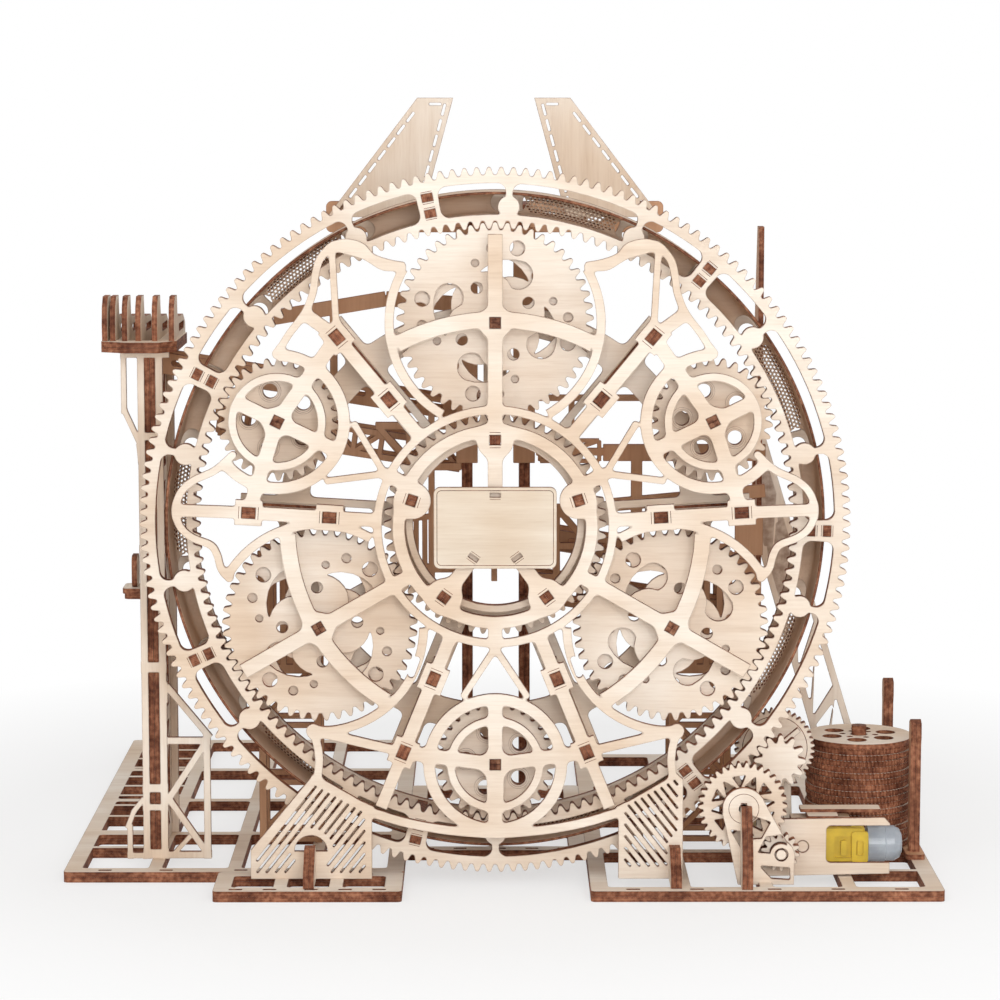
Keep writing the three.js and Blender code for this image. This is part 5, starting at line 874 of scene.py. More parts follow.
def comma(centre, degrees, tail_degrees):
    """A round head whose tail sweeps round the gear's centre to a point."""
    head = polar(COMMA_ORBIT, degrees, centre)
    points = []
    for step in range(COMMA_HEAD_STEPS + 1):
        turn = degrees + math.copysign(1, tail_degrees) * (180 / COMMA_HEAD_STEPS * step - 180)
        points.append(polar(COMMA_HEAD_RADIUS, turn, head))
    for share in COMMA_OUTER_SHARES:
        swell = COMMA_HEAD_RADIUS * (1 - share ** COMMA_OUTER_POWER) * COMMA_OUTER_SWELL
        points.append(polar(COMMA_ORBIT + swell, degrees + tail_degrees * share, centre))
    points.append(polar(COMMA_ORBIT, degrees + tail_degrees, centre))
    for share in COMMA_INNER_SHARES:
        swell = COMMA_HEAD_RADIUS * (COMMA_INNER_SWELL * (1 - share) ** COMMA_INNER_POWER)
        points.append(polar(COMMA_ORBIT - swell, degrees + tail_degrees * share, centre))
    return polygon(points, COMMA_CORNER)


PLANET_QUARTERS = 4
PLANET_LAYERS = ((0, 42), (30, -42))
PLANET_BACK_GROWTH = 0.8
PLANET_HOLES = ((3.9, 39.0, 10), (2.5, 37.5, 30), (3.0, 19.5, 56), (2.0, 31.5, 46))


def planet_gear(side, degrees):
    centre = polar(PLANET_ORBIT, degrees)
    phase = inside_ring_phase(degrees, PLANET_TEETH)
    blank = gear(PLANET_TEETH, TRAIN_MODULE, centre, phase)
    piece = Piece(f"planet_gear_plate_{side}")
    for layer, (turn, sweep) in enumerate(PLANET_LAYERS):
        cuts = [disc(centre, BORE_RADIUS)]
        for quarter in range(PLANET_QUARTERS):
            own = PLANET_PATTERN[side] + 90 * quarter + turn
            cuts.append(comma(centre, own, sweep))
            for radius, orbit, offset in PLANET_HOLES:
                place = polar(orbit, own + math.copysign(offset, sweep), centre)
                cuts.append(disc(place, radius + layer * PLANET_BACK_GROWTH))
        piece.sheet(Plan([blank], cuts, FINE_STEP), GEAR_FRONT_Y + layer * PLY)
    piece.done(f"planet_{side}", SHEET_X, [f"planet_gear_{side}"])


SMALL_HOLES, SMALL_HOLES_FIRST_DEGREES = 5, 34
SMALL_HOLE_ORBIT, SMALL_HOLE_RADIUS = 15.3, 3.8
SMALL_EYE_RADIUS, SMALL_EYE_WIDTH, SMALL_EYE_HEIGHT = 5.2, 1.2, 0.35
SUN_BORE_RADIUS = 48.6


def small_gear(side, degrees):
    centre = polar(SMALL_ORBIT, degrees)
    blank = gear(SMALL_TEETH, TRAIN_MODULE, centre, inside_ring_phase(degrees, SMALL_TEETH))
    turns = [SMALL_HOLES_FIRST_DEGREES + 360 * hole / SMALL_HOLES for hole in range(SMALL_HOLES)]
    holes = [polar(SMALL_HOLE_ORBIT, turn, centre) for turn in turns]
    piece = Piece(f"small_gear_plate_{side}")
    cuts = [disc(centre, BORE_RADIUS)] + [disc(place, SMALL_HOLE_RADIUS) for place in holes]
    piece.sheet(Plan([blank], cuts, FINE_STEP), GEAR_FRONT_Y, DOUBLE_PLY)
    for place in holes:
        eye = Plan([arc(place, SMALL_EYE_RADIUS, SMALL_EYE_WIDTH)], step=FINE_STEP)
        piece.sheet(eye, GEAR_FRONT_Y - SMALL_EYE_HEIGHT, SMALL_EYE_HEIGHT, plies=1)
    piece.done(f"small_{side}", SHEET_X, [f"small_gear_{side}"])


def sun_gear():
    piece = Piece("sun_gear_plate")
    blank = gear(SUN_TEETH, TRAIN_MODULE, WHEEL, sun_phase())
    plan = Plan([blank], [disc(WHEEL, SUN_BORE_RADIUS)], FINE_STEP)
    piece.sheet(plan, GEAR_FRONT_Y, DOUBLE_PLY)
    piece.done("sun", SHEET_X, ["sun_gear"])


ring_front()
ring_rear()
for number in range(SEGMENTS):
    gutter(number)
for side_name, side_degrees in PLANET_ANGLES.items():
    planet_gear(side_name, side_degrees)
for side_name, side_degrees in SMALL_ANGLES.items():
    small_gear(side_name, side_degrees)
sun_gear()

# The spider frame. Angles are about the wheel's axis
HUB_INNER_RADIUS, HUB_OUTER_RADIUS = 46.5, 53.0
HUB_BAND_INNER_RADIUS, HUB_BAND_OUTER_RADIUS = 58.0, 62.5
HUB_BRIDGE_WIDTH = 7.0
LOBES, LOBE_RADIUS, LOBE_ORBIT = 5, 9.4, 44.6
SPOKE_WIDTH, SPOKE_TIP_RADIUS = 7.6, 150.0
CROSS_BEAM_RADIUS, CROSS_BEAM_WIDTH, CROSS_BEAM_DEGREES = 106.6, 8.2, 28.0
HOOP_RADIUS, HOOP_WIDTH, HOOP_DEGREES = 54.0, 4.6, (60, 150)
WEB_SLOT_ORBITS = (85.2, 126.7)
WEB_SLOT_LENGTH = 7.0
BEAM_ANGLES = {"upper": 50.5, "side": 3.4, "lower": -68.0}
BEAM_WIDTH, THIN_BEAM_WIDTH, NECK_BEAM_WIDTH, LOBE_BEAM_WIDTH = 6.8, 6.2, 4.8, 4.0
PAD_WIDTH, PAD_LENGTH, PAD_BLEND = 13.0, 14.0, 1.6
PLANET_BOSS_RADIUS, SMALL_BOSS_RADIUS = 8.2, 7.6
SMALL_HOOP_DEGREES = (92, 318)
SMALL_STRUT_RADII, SMALL_STRUT_SPREAD = (63, 89), 10.4
LOBE_BLEND, LOBE_ARM_WIDTH, LOBE_ARM_DEGREES = 3.0, 7.6, (90, 234, 306)
LOBE_PITCH_DEGREES, LOBE_SLOT_SHIFT, LOBE_SLOT_LENGTH = 72, 0.4, 5.0
OVERLAP, FULL_TURN = 2.0, (-180, 180)
LOBE_BEAM_REACH, LOBE_BEAM_DEGREES = 18, 40
LOBE_ARM_FROM, LOBE_ARM_OVERLAP = 10, 1
HUB_BLANK_WIDTH = 16
HUB_BRIDGE_OVERCUT, HUB_BRIDGE_CORNER = 0.6, 1.4
LOWER_BEAM_REACH = 158.0
VENT_FROM, VENT_TO, VENT_WIDTH = (80, 30.5), (88, 29.5), 3.6
WEB_ENGRAVING, LOBE_ENGRAVING = (5.0, 6.4), (3.9, 5.6)
SMALL_HOOP_RADIUS, SMALL_HOOP_WIDTH = 34.2, 6.0
SMALL_RING_RADIUS, SMALL_RING_WIDTH = 22.9, 4.0
ARM_WIDTH, STRUT_WIDTH, OUTER_BAND_WIDTH = 7.4, 3.4, 3.8
AXLE_SQUARE = 5.6
BOTTOM_ARM_REACH = 160.0
BOTTOM_BAND_WIDTH, BOTTOM_BAND_DROP = 4.6, 0.5
BOTTOM_BAND_PLACES = [(-70.0, 42.5), (-62.7, 39.6), (-45.6, 34.7), (-25.5, 31.2)]
FRAME_FILLET = 2.6
UPPER_LOBE_SHARES = [
    (0.92, 70.5), (0.941, 67.1), (0.981, 65.5), (1.03, 64.8), (1.066, 62.6), (1.078, 60),
    (1.062, 57), (1.025, 54.6), (0.985, 52.3), (0.951, 48.5), (0.938, 43.4), (0.925, 38.5),
]
SIDE_LOBE_SHARES = [
    (0.905, 15.5), (0.952, 11.5), (1.015, 8.9), (1.052, 6.4), (1.066, 3.1), (1.05, 0.2),
    (1.012, -1.9), (0.951, -3.6), (0.932, -5.7), (0.925, -8.6), (0.905, -10.9),
]
FEET = {"left": (-127.0, -64.0), "right": (64.0, 97.4)}
FOOT_TOP_Z = 56.0
FOOT_SLIT_WIDTH, FOOT_SLIT_PITCH, FOOT_SLIT_DEGREES = 1.25, 3.8, 51.9
FOOT_SLIT_AREAS = {
    "left": [
        (-125.6, 9.4), (-125.6, 16.6), (-95.5, 54.6), (-71.0, 40.6), (-70.0, 36.4), (-70.0, 9.4),
        (-87.0, 9.4), (-89.0, 13.2), (-85.6, 22.4), (-88.0, 28.6), (-93.5, 32.4), (-99.0, 33.4),
        (-103.4, 31.4), (-108.6, 24.4), (-108.6, 17.8), (-106.0, 15.0), (-106.0, 9.4),
    ],
    "right": [(65.6, 43.4), (92.2, 58.0), (92.2, 32.0), (86.9, 25.0), (86.9, 12.6), (65.6, 12.6)],
}
FOOT_ARCH_X, FOOT_ARCH_Z, FOOT_ARCH_RADIUS = -97.7, 20.2, 8.6
FOOT_NECK_WIDTH, FOOT_NECK_LOBE_RADIUS = 4.1, 3.1
FOOT_NECK_PLACES = [(92.4, 83.8), (90.5, 78.0), (89.5, 73.6), (89.1, 68.1), (89.6, 62.5), (90.6, 54.0)]
FOOT_SHOULDERS = {
    "left": [(0, 0.777), (0.397, 1.039), (0.486, 1.073), (1, 0.37)],
    "right": [(0, 0.777), (0.749, 1.039), (0.917, 1.073), (1, 1.04)],
}
beams_all = [angle for value in BEAM_ANGLES.values() for angle in (value, 180 - value)]


def lobe_angles():
    return [90 + LOBE_PITCH_DEGREES * lobe for lobe in range(LOBES)]


def lobe_places(shares):
    return [polar(share * RING_INNER_RADIUS, degrees) for share, degrees in shares]


def planet_frame(degrees):
    centre = polar(PLANET_ORBIT, degrees)
    parts = [
        radial(degrees, HUB_OUTER_RADIUS - OVERLAP, SPOKE_TIP_RADIUS, SPOKE_WIDTH),
        arc(WHEEL, CROSS_BEAM_RADIUS, CROSS_BEAM_WIDTH,
            degrees - CROSS_BEAM_DEGREES, degrees + CROSS_BEAM_DEGREES),
        disc(centre, PLANET_BOSS_RADIUS),
    ]
    for side in (-1, 1):
        ends = sorted(degrees + side * turn for turn in HOOP_DEGREES)
        parts.append(arc(centre, HOOP_RADIUS, HOOP_WIDTH, *ends))
    return parts


def small_frame(degrees, beams, hoop):
    centre = polar(SMALL_ORBIT, degrees)
    parts = [
        arc(centre, SMALL_HOOP_RADIUS, SMALL_HOOP_WIDTH, *hoop),
        arc(centre, SMALL_RING_RADIUS, SMALL_RING_WIDTH),
        radial(degrees, SMALL_ORBIT - SMALL_HOOP_RADIUS, SMALL_ORBIT + SMALL_RING_RADIUS, ARM_WIDTH),
        disc(centre, SMALL_BOSS_RADIUS),
    ]
    inner, outer = SMALL_STRUT_RADII
    for angle in beams:
        spread = math.copysign(SMALL_STRUT_SPREAD, math.sin(math.radians(angle - degrees)))
        parts.append(beam(centre, polar(WEB_SLOT_ORBITS[1], angle), ARM_WIDTH))
        parts.append(beam(polar(inner, degrees), polar(outer, degrees + spread), STRUT_WIDTH, True))
    return parts


def slits_across(corners, degrees, pitch, width):
    """Parallel slits that fill an area at one slant."""
    turn = math.radians(degrees)
    ux, uy = math.cos(turn), math.sin(turn)
    levels = [y * ux - x * uy for x, y in corners]
    made = []
    level = min(levels) + pitch / 2
    while level < max(levels):
        ends = []
        for (ax, ay), (bx, by) in zip(corners, corners[1:] + corners[:1]):
            here, there = ay * ux - ax * uy - level, by * ux - bx * uy - level
            if here * there < 0:
                share = here / (here - there)
                ends.append((ax + (bx - ax) * share, ay + (by - ay) * share))
        ends.sort(key=lambda place: place[0] * ux + place[1] * uy)
        for low, high in zip(ends[::2], ends[1::2]):
            if math.dist(low, high) > width:
                made.append(beam(low, high, width, True))
        level += pitch
    return made


def half_disc(centre, radius):
    """The upper half of a disc."""
    cx, cy = centre

    def distance(x, y):
        return np.maximum(np.hypot(x - cx, y - cy) - radius, cy - y)

    return distance, (cx - radius, cx + radius, cy, cy + radius)


def foot_shapes(side):
    outer, inner = FEET[side] if side == "left" else FEET[side][::-1]
    corners = [(outer, DOUBLE_PLY), (inner, DOUBLE_PLY)]
    for across, up in FOOT_SHOULDERS[side]:
        corners.append((inner + (outer - inner) * across, FOOT_TOP_Z * up))
    outline = polygon([(x + WHEEL_X, z) for x, z in corners])
    lean = FOOT_SLIT_DEGREES if side == "left" else -FOOT_SLIT_DEGREES
    cuts = slits_across(FOOT_SLIT_AREAS[side], lean, FOOT_SLIT_PITCH, FOOT_SLIT_WIDTH)
    return outline, cuts


def slot_at(orbit, degrees, length=WEB_SLOT_LENGTH):
    half = length / 2 + SLOT_FIT
    return radial(degrees, orbit - half, orbit + half, DOUBLE_PLY + 2 * SLOT_FIT)


def square_hole(degrees, orbit):
    half = AXLE_SQUARE / 2 + SLOT_FIT
    return radial(degrees, orbit - half, orbit + half, 2 * half)


def axle_places():
    places = [(PLANET_ORBIT, degrees) for degrees in PLANET_ANGLES.values()]
    return places + [(SMALL_ORBIT, degrees) for degrees in SMALL_ANGLES.values()]


def front_frame():
    upper, side = lobe_places(UPPER_LOBE_SHARES), lobe_places(SIDE_LOBE_SHARES)
    outer_slot = {key: polar(WEB_SLOT_ORBITS[1], angle) for key, angle in BEAM_ANGLES.items()}
    right = planet_frame(PLANET_ANGLES["right"])
    beams = [BEAM_ANGLES["upper"], BEAM_ANGLES["side"]]
    right += small_frame(SMALL_ANGLES["right"], beams, SMALL_HOOP_DEGREES)
    right += [
        strand(upper, OUTER_BAND_WIDTH), strand(side, OUTER_BAND_WIDTH),
        beam(outer_slot["upper"], upper[9], BEAM_WIDTH),
        beam(outer_slot["upper"], upper[5], STRUT_WIDTH),
        beam(upper[0], upper[5], STRUT_WIDTH),
        beam(outer_slot["side"], side[4], THIN_BEAM_WIDTH),
        beam(upper[11], polar(SMALL_ORBIT + LOBE_BEAM_REACH, LOBE_BEAM_DEGREES), LOBE_BEAM_WIDTH),
        beam(outer_slot["lower"], polar(LOWER_BEAM_REACH, BEAM_ANGLES["lower"]), THIN_BEAM_WIDTH),
        beam(outer_slot["lower"], FOOT_NECK_PLACES[0], NECK_BEAM_WIDTH),
        strand(FOOT_NECK_PLACES, FOOT_NECK_WIDTH),
        disc(FOOT_NECK_PLACES[0], FOOT_NECK_LOBE_RADIUS),
    ]
    for degrees in BEAM_ANGLES.values():
        right.append(radial(degrees, HUB_BAND_OUTER_RADIUS - OVERLAP, WEB_SLOT_ORBITS[1], BEAM_WIDTH))
    pads = []
    for degrees in beams_all:
        for orbit in WEB_SLOT_ORBITS:
            pads.append(radial(degrees, orbit - PAD_LENGTH / 2, orbit + PAD_LENGTH / 2, PAD_WIDTH))
    middle = planet_frame(PLANET_ANGLES["top"])
    below = SMALL_ANGLES["bottom"]
    middle += small_frame(below, [BEAM_ANGLES["lower"], 180 - BEAM_ANGLES["lower"]], FULL_TURN)
    bottom = (WHEEL_X, WHEEL_Z - BOTTOM_ARM_REACH - BOTTOM_BAND_DROP)
    band = BOTTOM_BAND_PLACES + [bottom] + [mirrored(place) for place in BOTTOM_BAND_PLACES[::-1]]
    middle += [
        arc(WHEEL, HUB_BAND_OUTER_RADIUS - HUB_BLANK_WIDTH / 2, HUB_BLANK_WIDTH),
        strand(band, BOTTOM_BAND_WIDTH),
        radial(below, SMALL_ORBIT, BOTTOM_ARM_REACH, ARM_WIDTH),
    ]
    feet = [foot_shapes(side) for side in FEET]
    outlines = [outline for outline, _ in feet]
    plan = Plan(middle + right + turned_back(right) + outlines, step=PLAN_STEP, fillet=FRAME_FILLET)
    for shape in pads:
        plan.mix(shape, PAD_BLEND)
    bridges = sorted(list(PLANET_ANGLES.values()) + list(SMALL_ANGLES.values()))
    half = degrees_at(HUB_BRIDGE_WIDTH / 2, HUB_OUTER_RADIUS)
    band_middle = (HUB_OUTER_RADIUS + HUB_BAND_INNER_RADIUS) / 2
    band_width = HUB_BAND_INNER_RADIUS - HUB_OUTER_RADIUS + HUB_BRIDGE_OVERCUT
    for start, end in zip(bridges, bridges[1:] + [bridges[0] + 360]):
        plan.cut(arc(WHEEL, band_middle, band_width, start + half, end - half, HUB_BRIDGE_CORNER))
    plan.cut(disc(WHEEL, HUB_INNER_RADIUS))
    arm = (LOBE_ARM_FROM, HUB_INNER_RADIUS + LOBE_ARM_OVERLAP, LOBE_ARM_WIDTH)
    arms = [radial(degrees, *arm) for degrees in LOBE_ARM_DEGREES]
    lobes = [disc(polar(LOBE_ORBIT, degrees), LOBE_RADIUS) for degrees in lobe_angles()]
    for shape in arms + lobes:
        plan.mix(shape, LOBE_BLEND)
    lobe_slot_orbit = LOBE_ORBIT + LOBE_SLOT_SHIFT
    holes = [square_hole(degrees, orbit) for orbit, degrees in axle_places()]
    holes += [slot_at(orbit, degrees) for orbit in WEB_SLOT_ORBITS for degrees in beams_all]
    holes += [slot_at(lobe_slot_orbit, degrees, LOBE_SLOT_LENGTH) for degrees in lobe_angles()]
    holes += [cut for _, cuts in feet for cut in cuts]
    holes.append(half_disc((FOOT_ARCH_X, FOOT_ARCH_Z), FOOT_ARCH_RADIUS))
    for sign in (-1, 1):
        ends = [polar(radius, below + sign * degrees) for radius, degrees in (VENT_FROM, VENT_TO)]
        holes.append(beam(*ends, VENT_WIDTH, True))
    for shape in holes:
        plan.cut(shape)
    piece = Piece("front_frame_plate")
    piece.sheet(plan, FRONT_FACE_Y)
    for degrees in beams_all:
        for orbit in WEB_SLOT_ORBITS:
            engraved(piece, polar(orbit, degrees), degrees, *WEB_ENGRAVING, FRONT_FACE_Y)
    for degrees in lobe_angles():
        engraved(piece, polar(lobe_slot_orbit, degrees), degrees, *LOBE_ENGRAVING, FRONT_FACE_Y)
    piece.done("frame", SHEET_X, ["front_frame"])


REAR_HUB_RADIUS, REAR_HUB_HOLE_RADIUS, REAR_BAND_WIDTH, REAR_FILLET = 52.0, 46.2, 15.0, 4.0
REAR_ARM_FROM, REAR_ARM_OVERREACH, REAR_ARM_WIDTH = 48.0, 8.0, 12.0
REAR_BEAM_REACH, REAR_BEAM_WIDTH, REAR_BEAM_SLOT = 133.0, 12.5, (66, 92, 4.4)


def rear_frame():
    parts = [disc(WHEEL, REAR_HUB_RADIUS)]
    reach = REAR_ARM_OVERREACH
    for degrees in PLANET_ANGLES.values():
        parts.append(radial(degrees, REAR_ARM_FROM, PLANET_ORBIT + reach, REAR_ARM_WIDTH))
    for degrees in SMALL_ANGLES.values():
        parts.append(radial(degrees, PLANET_ORBIT, SMALL_ORBIT + reach, REAR_ARM_WIDTH))
    for degrees in beams_all:
        parts.append(radial(degrees, REAR_ARM_FROM, REAR_BEAM_REACH, REAR_BEAM_WIDTH))
    parts.append(arc(WHEEL, PLANET_ORBIT, REAR_BAND_WIDTH))
    holes = [disc(WHEEL, REAR_HUB_HOLE_RADIUS)]
    holes += [square_hole(degrees, orbit) for orbit, degrees in axle_places()]
    holes += [radial(degrees, *REAR_BEAM_SLOT, rounded=True) for degrees in beams_all]
    plan = Plan(parts, holes, PLAN_STEP, fillet=REAR_FILLET)
    piece = Piece("rear_frame_plate")
    piece.sheet(plan, REAR_FRAME_FRONT_Y)
    piece.done("frame", SHEET_X, ["rear_frame"])


def radial_view(degrees):
    """Across is outward from the axis, up is away from the viewer."""
    turn = math.radians(degrees)
    along = np.array([math.cos(turn), 0, math.sin(turn)])
    normal = np.cross(along, (0, 1.0, 0))
    return along, np.array([0, 1.0, 0]), normal, np.array([WHEEL_X, 0, WHEEL_Z])


WEB_SEAM, WEB_SHIFT, WEB_TENON_SUNK = 0.03, 0.05, 0.25
WEB_OVERREACH, WEB_CORNER, WEB_TENON_OVERLAP = 7.0, 1.5, 3.0
WEB_WINDOW_INSET, WEB_WINDOW_RIM, WEB_WINDOW_CORNER = 4.0, 7.0, 4.0


def frame_webs():
    inner, outer = WEB_SLOT_ORBITS
    reach, half = WEB_OVERREACH, WEB_SLOT_LENGTH / 2
    body = [slab(inner - reach, outer + reach, FRONT_FRAME_BACK_Y, REAR_FRAME_FRONT_Y, WEB_CORNER)]
    for orbit in WEB_SLOT_ORBITS:
        body.append(slab(orbit - half, orbit + half, FRONT_FACE_Y + WEB_TENON_SUNK,
                         FRONT_FRAME_BACK_Y + WEB_TENON_OVERLAP))
    window = slab(inner + WEB_WINDOW_INSET, outer - WEB_WINDOW_INSET, FRONT_FRAME_BACK_Y + WEB_WINDOW_RIM,
                  REAR_FRAME_FRONT_Y - WEB_WINDOW_RIM, WEB_WINDOW_CORNER)
    for number, degrees in enumerate(beams_all):
        piece = Piece(f"frame_web_pair_{number + 1}")
        for front in (-WEB_SHIFT, PLY + WEB_SEAM):
            piece.sheet(Plan(body, [window]), front, PLY - WEB_SEAM, radial_view(degrees))
        piece.done("frame", SHEET_X, [f"frame_web_{number + 1}"])


AXLE_BAR_FIT, AXLE_SUNK = 0.12, 0.3
COLLAR_RADIUS, AXLE_CORE_RADIUS, COLLAR_GAP = 5.5, 3.2, 0.02


def axles():
    groups = [("planet", PLANET_ORBIT, PLANET_ANGLES), ("small", SMALL_ORBIT, SMALL_ANGLES)]
    quarter, sunk = AXLE_SQUARE / 4, AXLE_SUNK
    side_room = quarter - AXLE_BAR_FIT
    layers = [
        (FRONT_FRAME_BACK_Y + COLLAR_GAP, GEAR_FRONT_Y - sunk),
        (GEAR_BACK_Y + sunk, REAR_FRAME_FRONT_Y - COLLAR_GAP),
    ]
    for kind, orbit, angles in groups:
        for side, degrees in angles.items():
            centre = polar(orbit, degrees)
            turn = math.radians(degrees)
            ux, uz = math.cos(turn), math.sin(turn)
            piece = Piece(f"{kind}_axle_stack_{side}")
            for a in (-1, 1):
                for b in (-1, 1):
                    x, z = centre[0] + quarter * (a * ux - b * uz), centre[1] + quarter * (a * uz + b * ux)
                    ends = [(x + end * side_room * ux, z + end * side_room * uz) for end in (-1, 1)]
                    bar = Plan([beam(*ends, 2 * side_room)], step=FINE_STEP)
                    piece.sheet(bar, FRONT_FACE_Y + sunk, REAR_FRAME_BACK_Y - FRONT_FACE_Y - sunk, plies=9)
            collar = Plan([disc(centre, COLLAR_RADIUS)], step=MID_STEP)
            for low, high in layers:
                piece.sheet(collar, low, high - low, plies=3)
            core = Plan([disc(centre, AXLE_CORE_RADIUS)], step=FINE_STEP)
            piece.sheet(core, GEAR_FRONT_Y - sunk, DOUBLE_PLY + 2 * sunk, plies=2)
            piece.done("frame", (edge_light, edge), [f"{kind}_axle_{side}"])


BEARING_RING_RADIUS, BEARING_RING_WIDTH = 44.3, 3.6
BEARING_WEB_REACH, BEARING_WEB_CORNER, BEARING_TENON = (41, 48.25), 1, (2.1, 2.9)


def sun_bearing():
    piece = Piece("sun_bearing_webs")
    ring = Plan([arc(WHEEL, BEARING_RING_RADIUS, BEARING_RING_WIDTH)], step=MID_STEP)
    piece.sheet(ring, GEAR_FRONT_Y, DOUBLE_PLY)
    inward, outward = BEARING_TENON
    body = [
        slab(*BEARING_WEB_REACH, FRONT_FRAME_BACK_Y, REAR_FRAME_FRONT_Y, BEARING_WEB_CORNER),
        slab(LOBE_ORBIT - inward, LOBE_ORBIT + outward, FRONT_FACE_Y + TENON_SUNK,
             FRONT_FRAME_BACK_Y + WEB_TENON_OVERLAP),
    ]
    for degrees in lobe_angles():
        for side in (0, 1):
            piece.sheet(Plan(body), side * PLY, PLY - SEAM, radial_view(degrees))
    piece.done("frame", SHEET_X, ["sun_bearing"])


NAMEPLATE_HALF_WIDTH, NAMEPLATE_HALF_HEIGHT, NAMEPLATE_CORNER = 31.5, 21.0, 3.4
NAMEPLATE_SLOTS = [(90, 17.0), (234, 19.0), (306, 19.0)]
NAMEPLATE_SLOT_DEPTH, NAMEPLATE_SLOT_WIDTH, NAMEPLATE_ENGRAVING = 2.4, 5.6, (2.2, 5.6)
NAMEPLATE_LINE_WIDTH = 0.25
BORDER_INSET, BORDER_WIDTH, BORDER_CORNERS, BORDER_STEP = 1.5, 0.32, (2.4, 2.1), 0.12


def nameplate():
    def panel(inset, corner):
        width, height = NAMEPLATE_HALF_WIDTH - inset, NAMEPLATE_HALF_HEIGHT - inset
        return slab(WHEEL_X - width, WHEEL_X + width, WHEEL_Z - height, WHEEL_Z + height, corner)

    front, half = FRONT_FACE_Y - PLY, NAMEPLATE_SLOT_DEPTH / 2
    cuts = []
    for degrees, orbit in NAMEPLATE_SLOTS:
        cuts.append(radial(degrees, orbit - half, orbit + half, NAMEPLATE_SLOT_WIDTH))
    piece = Piece("nameplate_bare")
    piece.sheet(Plan([panel(0, NAMEPLATE_CORNER)], cuts, FINE_STEP), front)
    outside = panel(BORDER_INSET, BORDER_CORNERS[0])
    inside = panel(BORDER_INSET + BORDER_WIDTH, BORDER_CORNERS[1])
    piece.take_line(Plan([outside], [inside], BORDER_STEP), front)
    for degrees, orbit in NAMEPLATE_SLOTS:
        engraved(piece, polar(orbit, degrees), degrees, *NAMEPLATE_ENGRAVING, front,
                 NAMEPLATE_LINE_WIDTH)
    piece.done("frame", (birch_plate, edge), ["nameplate"])


front_frame()
rear_frame()
frame_webs()
axles()
sun_bearing()
nameplate()

# The bases: double sheets on the table with long windows
THIN_SEAM = 0.02
BASE_RIM, BASE_SLAT, BASE_CORNER, BASE_WINDOW_CORNER = 9.0, 7.0, 2.5, 2.2
BASE_SLOT_SHARES = (0.12, 0.3, 0.52, 0.7, 0.88)
BASE_SLOT_HALF_LENGTH, BASE_SLOT_HALF_WIDTH = 3.4, 1.2
RUNG_WIDTH, RUNG_OVERLAP = 4.2, 1.0
BASE_SHEETS = {
    "base_left": ((-228.5, -50.0), (-153.0, 195.0), (4, 4)),
    "base_right": ((47.0, 228.5), (-195.0, 150.0), (4, 4)),
    "base_front_left": ((-147.0, -50.0), (-195.0, -153.0), (3, 1)),
    "base_middle": ((-50.0, 47.0), (-104.0, 60.0), (2, 3)),
}
RUNG_PLACES = {
    "base_left": [(-219.5, -184.0, y) for y in (-96, -58, -20, 8, 34, 60, 86, 112, 138, 164)],
    "base_right": [(184.0, 219.5, y) for y in (-150, -95, -66, -38, -10, 16, 42, 68, 94, 120)],
}


def window_grid(x_range, y_range, counts, rim, slat, corner):
    (x0, x1), (y0, y1), (columns, rows) = x_range, y_range, counts
    width = (x1 - x0 - 2 * rim - (columns - 1) * slat) / columns
    depth = (y1 - y0 - 2 * rim - (rows - 1) * slat) / rows
    windows = []
    for column in range(columns):
        for row in range(rows):
            left = x0 + rim + column * (width + slat)
            front = y0 + rim + row * (depth + slat)
            windows.append(slab(left, left + width, front, front + depth, corner))
    return windows


def bars(entries):
    """Beams from two places and a width, and slabs from four numbers."""
    return [slab(*entry) if len(entry) == 4 else beam(*entry) for entry in entries]


def bases():
    half_length, half_width = BASE_SLOT_HALF_LENGTH, BASE_SLOT_HALF_WIDTH
    for name, (x_range, y_range, counts) in BASE_SHEETS.items():
        windows = window_grid(x_range, y_range, counts, BASE_RIM, BASE_SLAT, BASE_WINDOW_CORNER)
        plan = Plan([slab(*x_range, *y_range, BASE_CORNER)], windows, BASE_STEP)
        for start, end, y in RUNG_PLACES.get(name, []):
            plan.mix(beam((start - RUNG_OVERLAP, y), (end + RUNG_OVERLAP, y), RUNG_WIDTH))
        y = y_range[0] + BASE_RIM / 2
        for share in BASE_SLOT_SHARES:
            x = x_range[0] + (x_range[1] - x_range[0]) * share
            plan.cut(slab(x - half_length, x + half_length, y - half_width, y + half_width))
        piece = Piece(f"{name}_lattice")
        piece.pair(plan, DOUBLE_PLY, "flat", THIN_SEAM, THIN_SEAM)
        piece.done("frame", SHEET_X, [name])


GUSSET_PLACES = {"left": -98.0, "right": 91.0}
GUSSET_DEPTH, GUSSET_HEIGHT = 22.0, 18.0


def gussets():
    low, top = DOUBLE_PLY, DOUBLE_PLY + GUSSET_HEIGHT
    front, back = FRONT_FACE_Y - GUSSET_DEPTH, FRONT_FACE_Y
    outline = polygon([
        (front, low), (back, low), (back, top), (back - GUSSET_DEPTH / 3, top),
        (front, low + GUSSET_HEIGHT / 3),
    ])
    for side, x in GUSSET_PLACES.items():
        piece = Piece(f"foot_gusset_plates_{side}")
        piece.pair(Plan([outline], step=MID_STEP), x + DOUBLE_PLY / 2, "sideways")
        piece.done("frame", SHEET_X, [f"foot_gusset_{side}"])


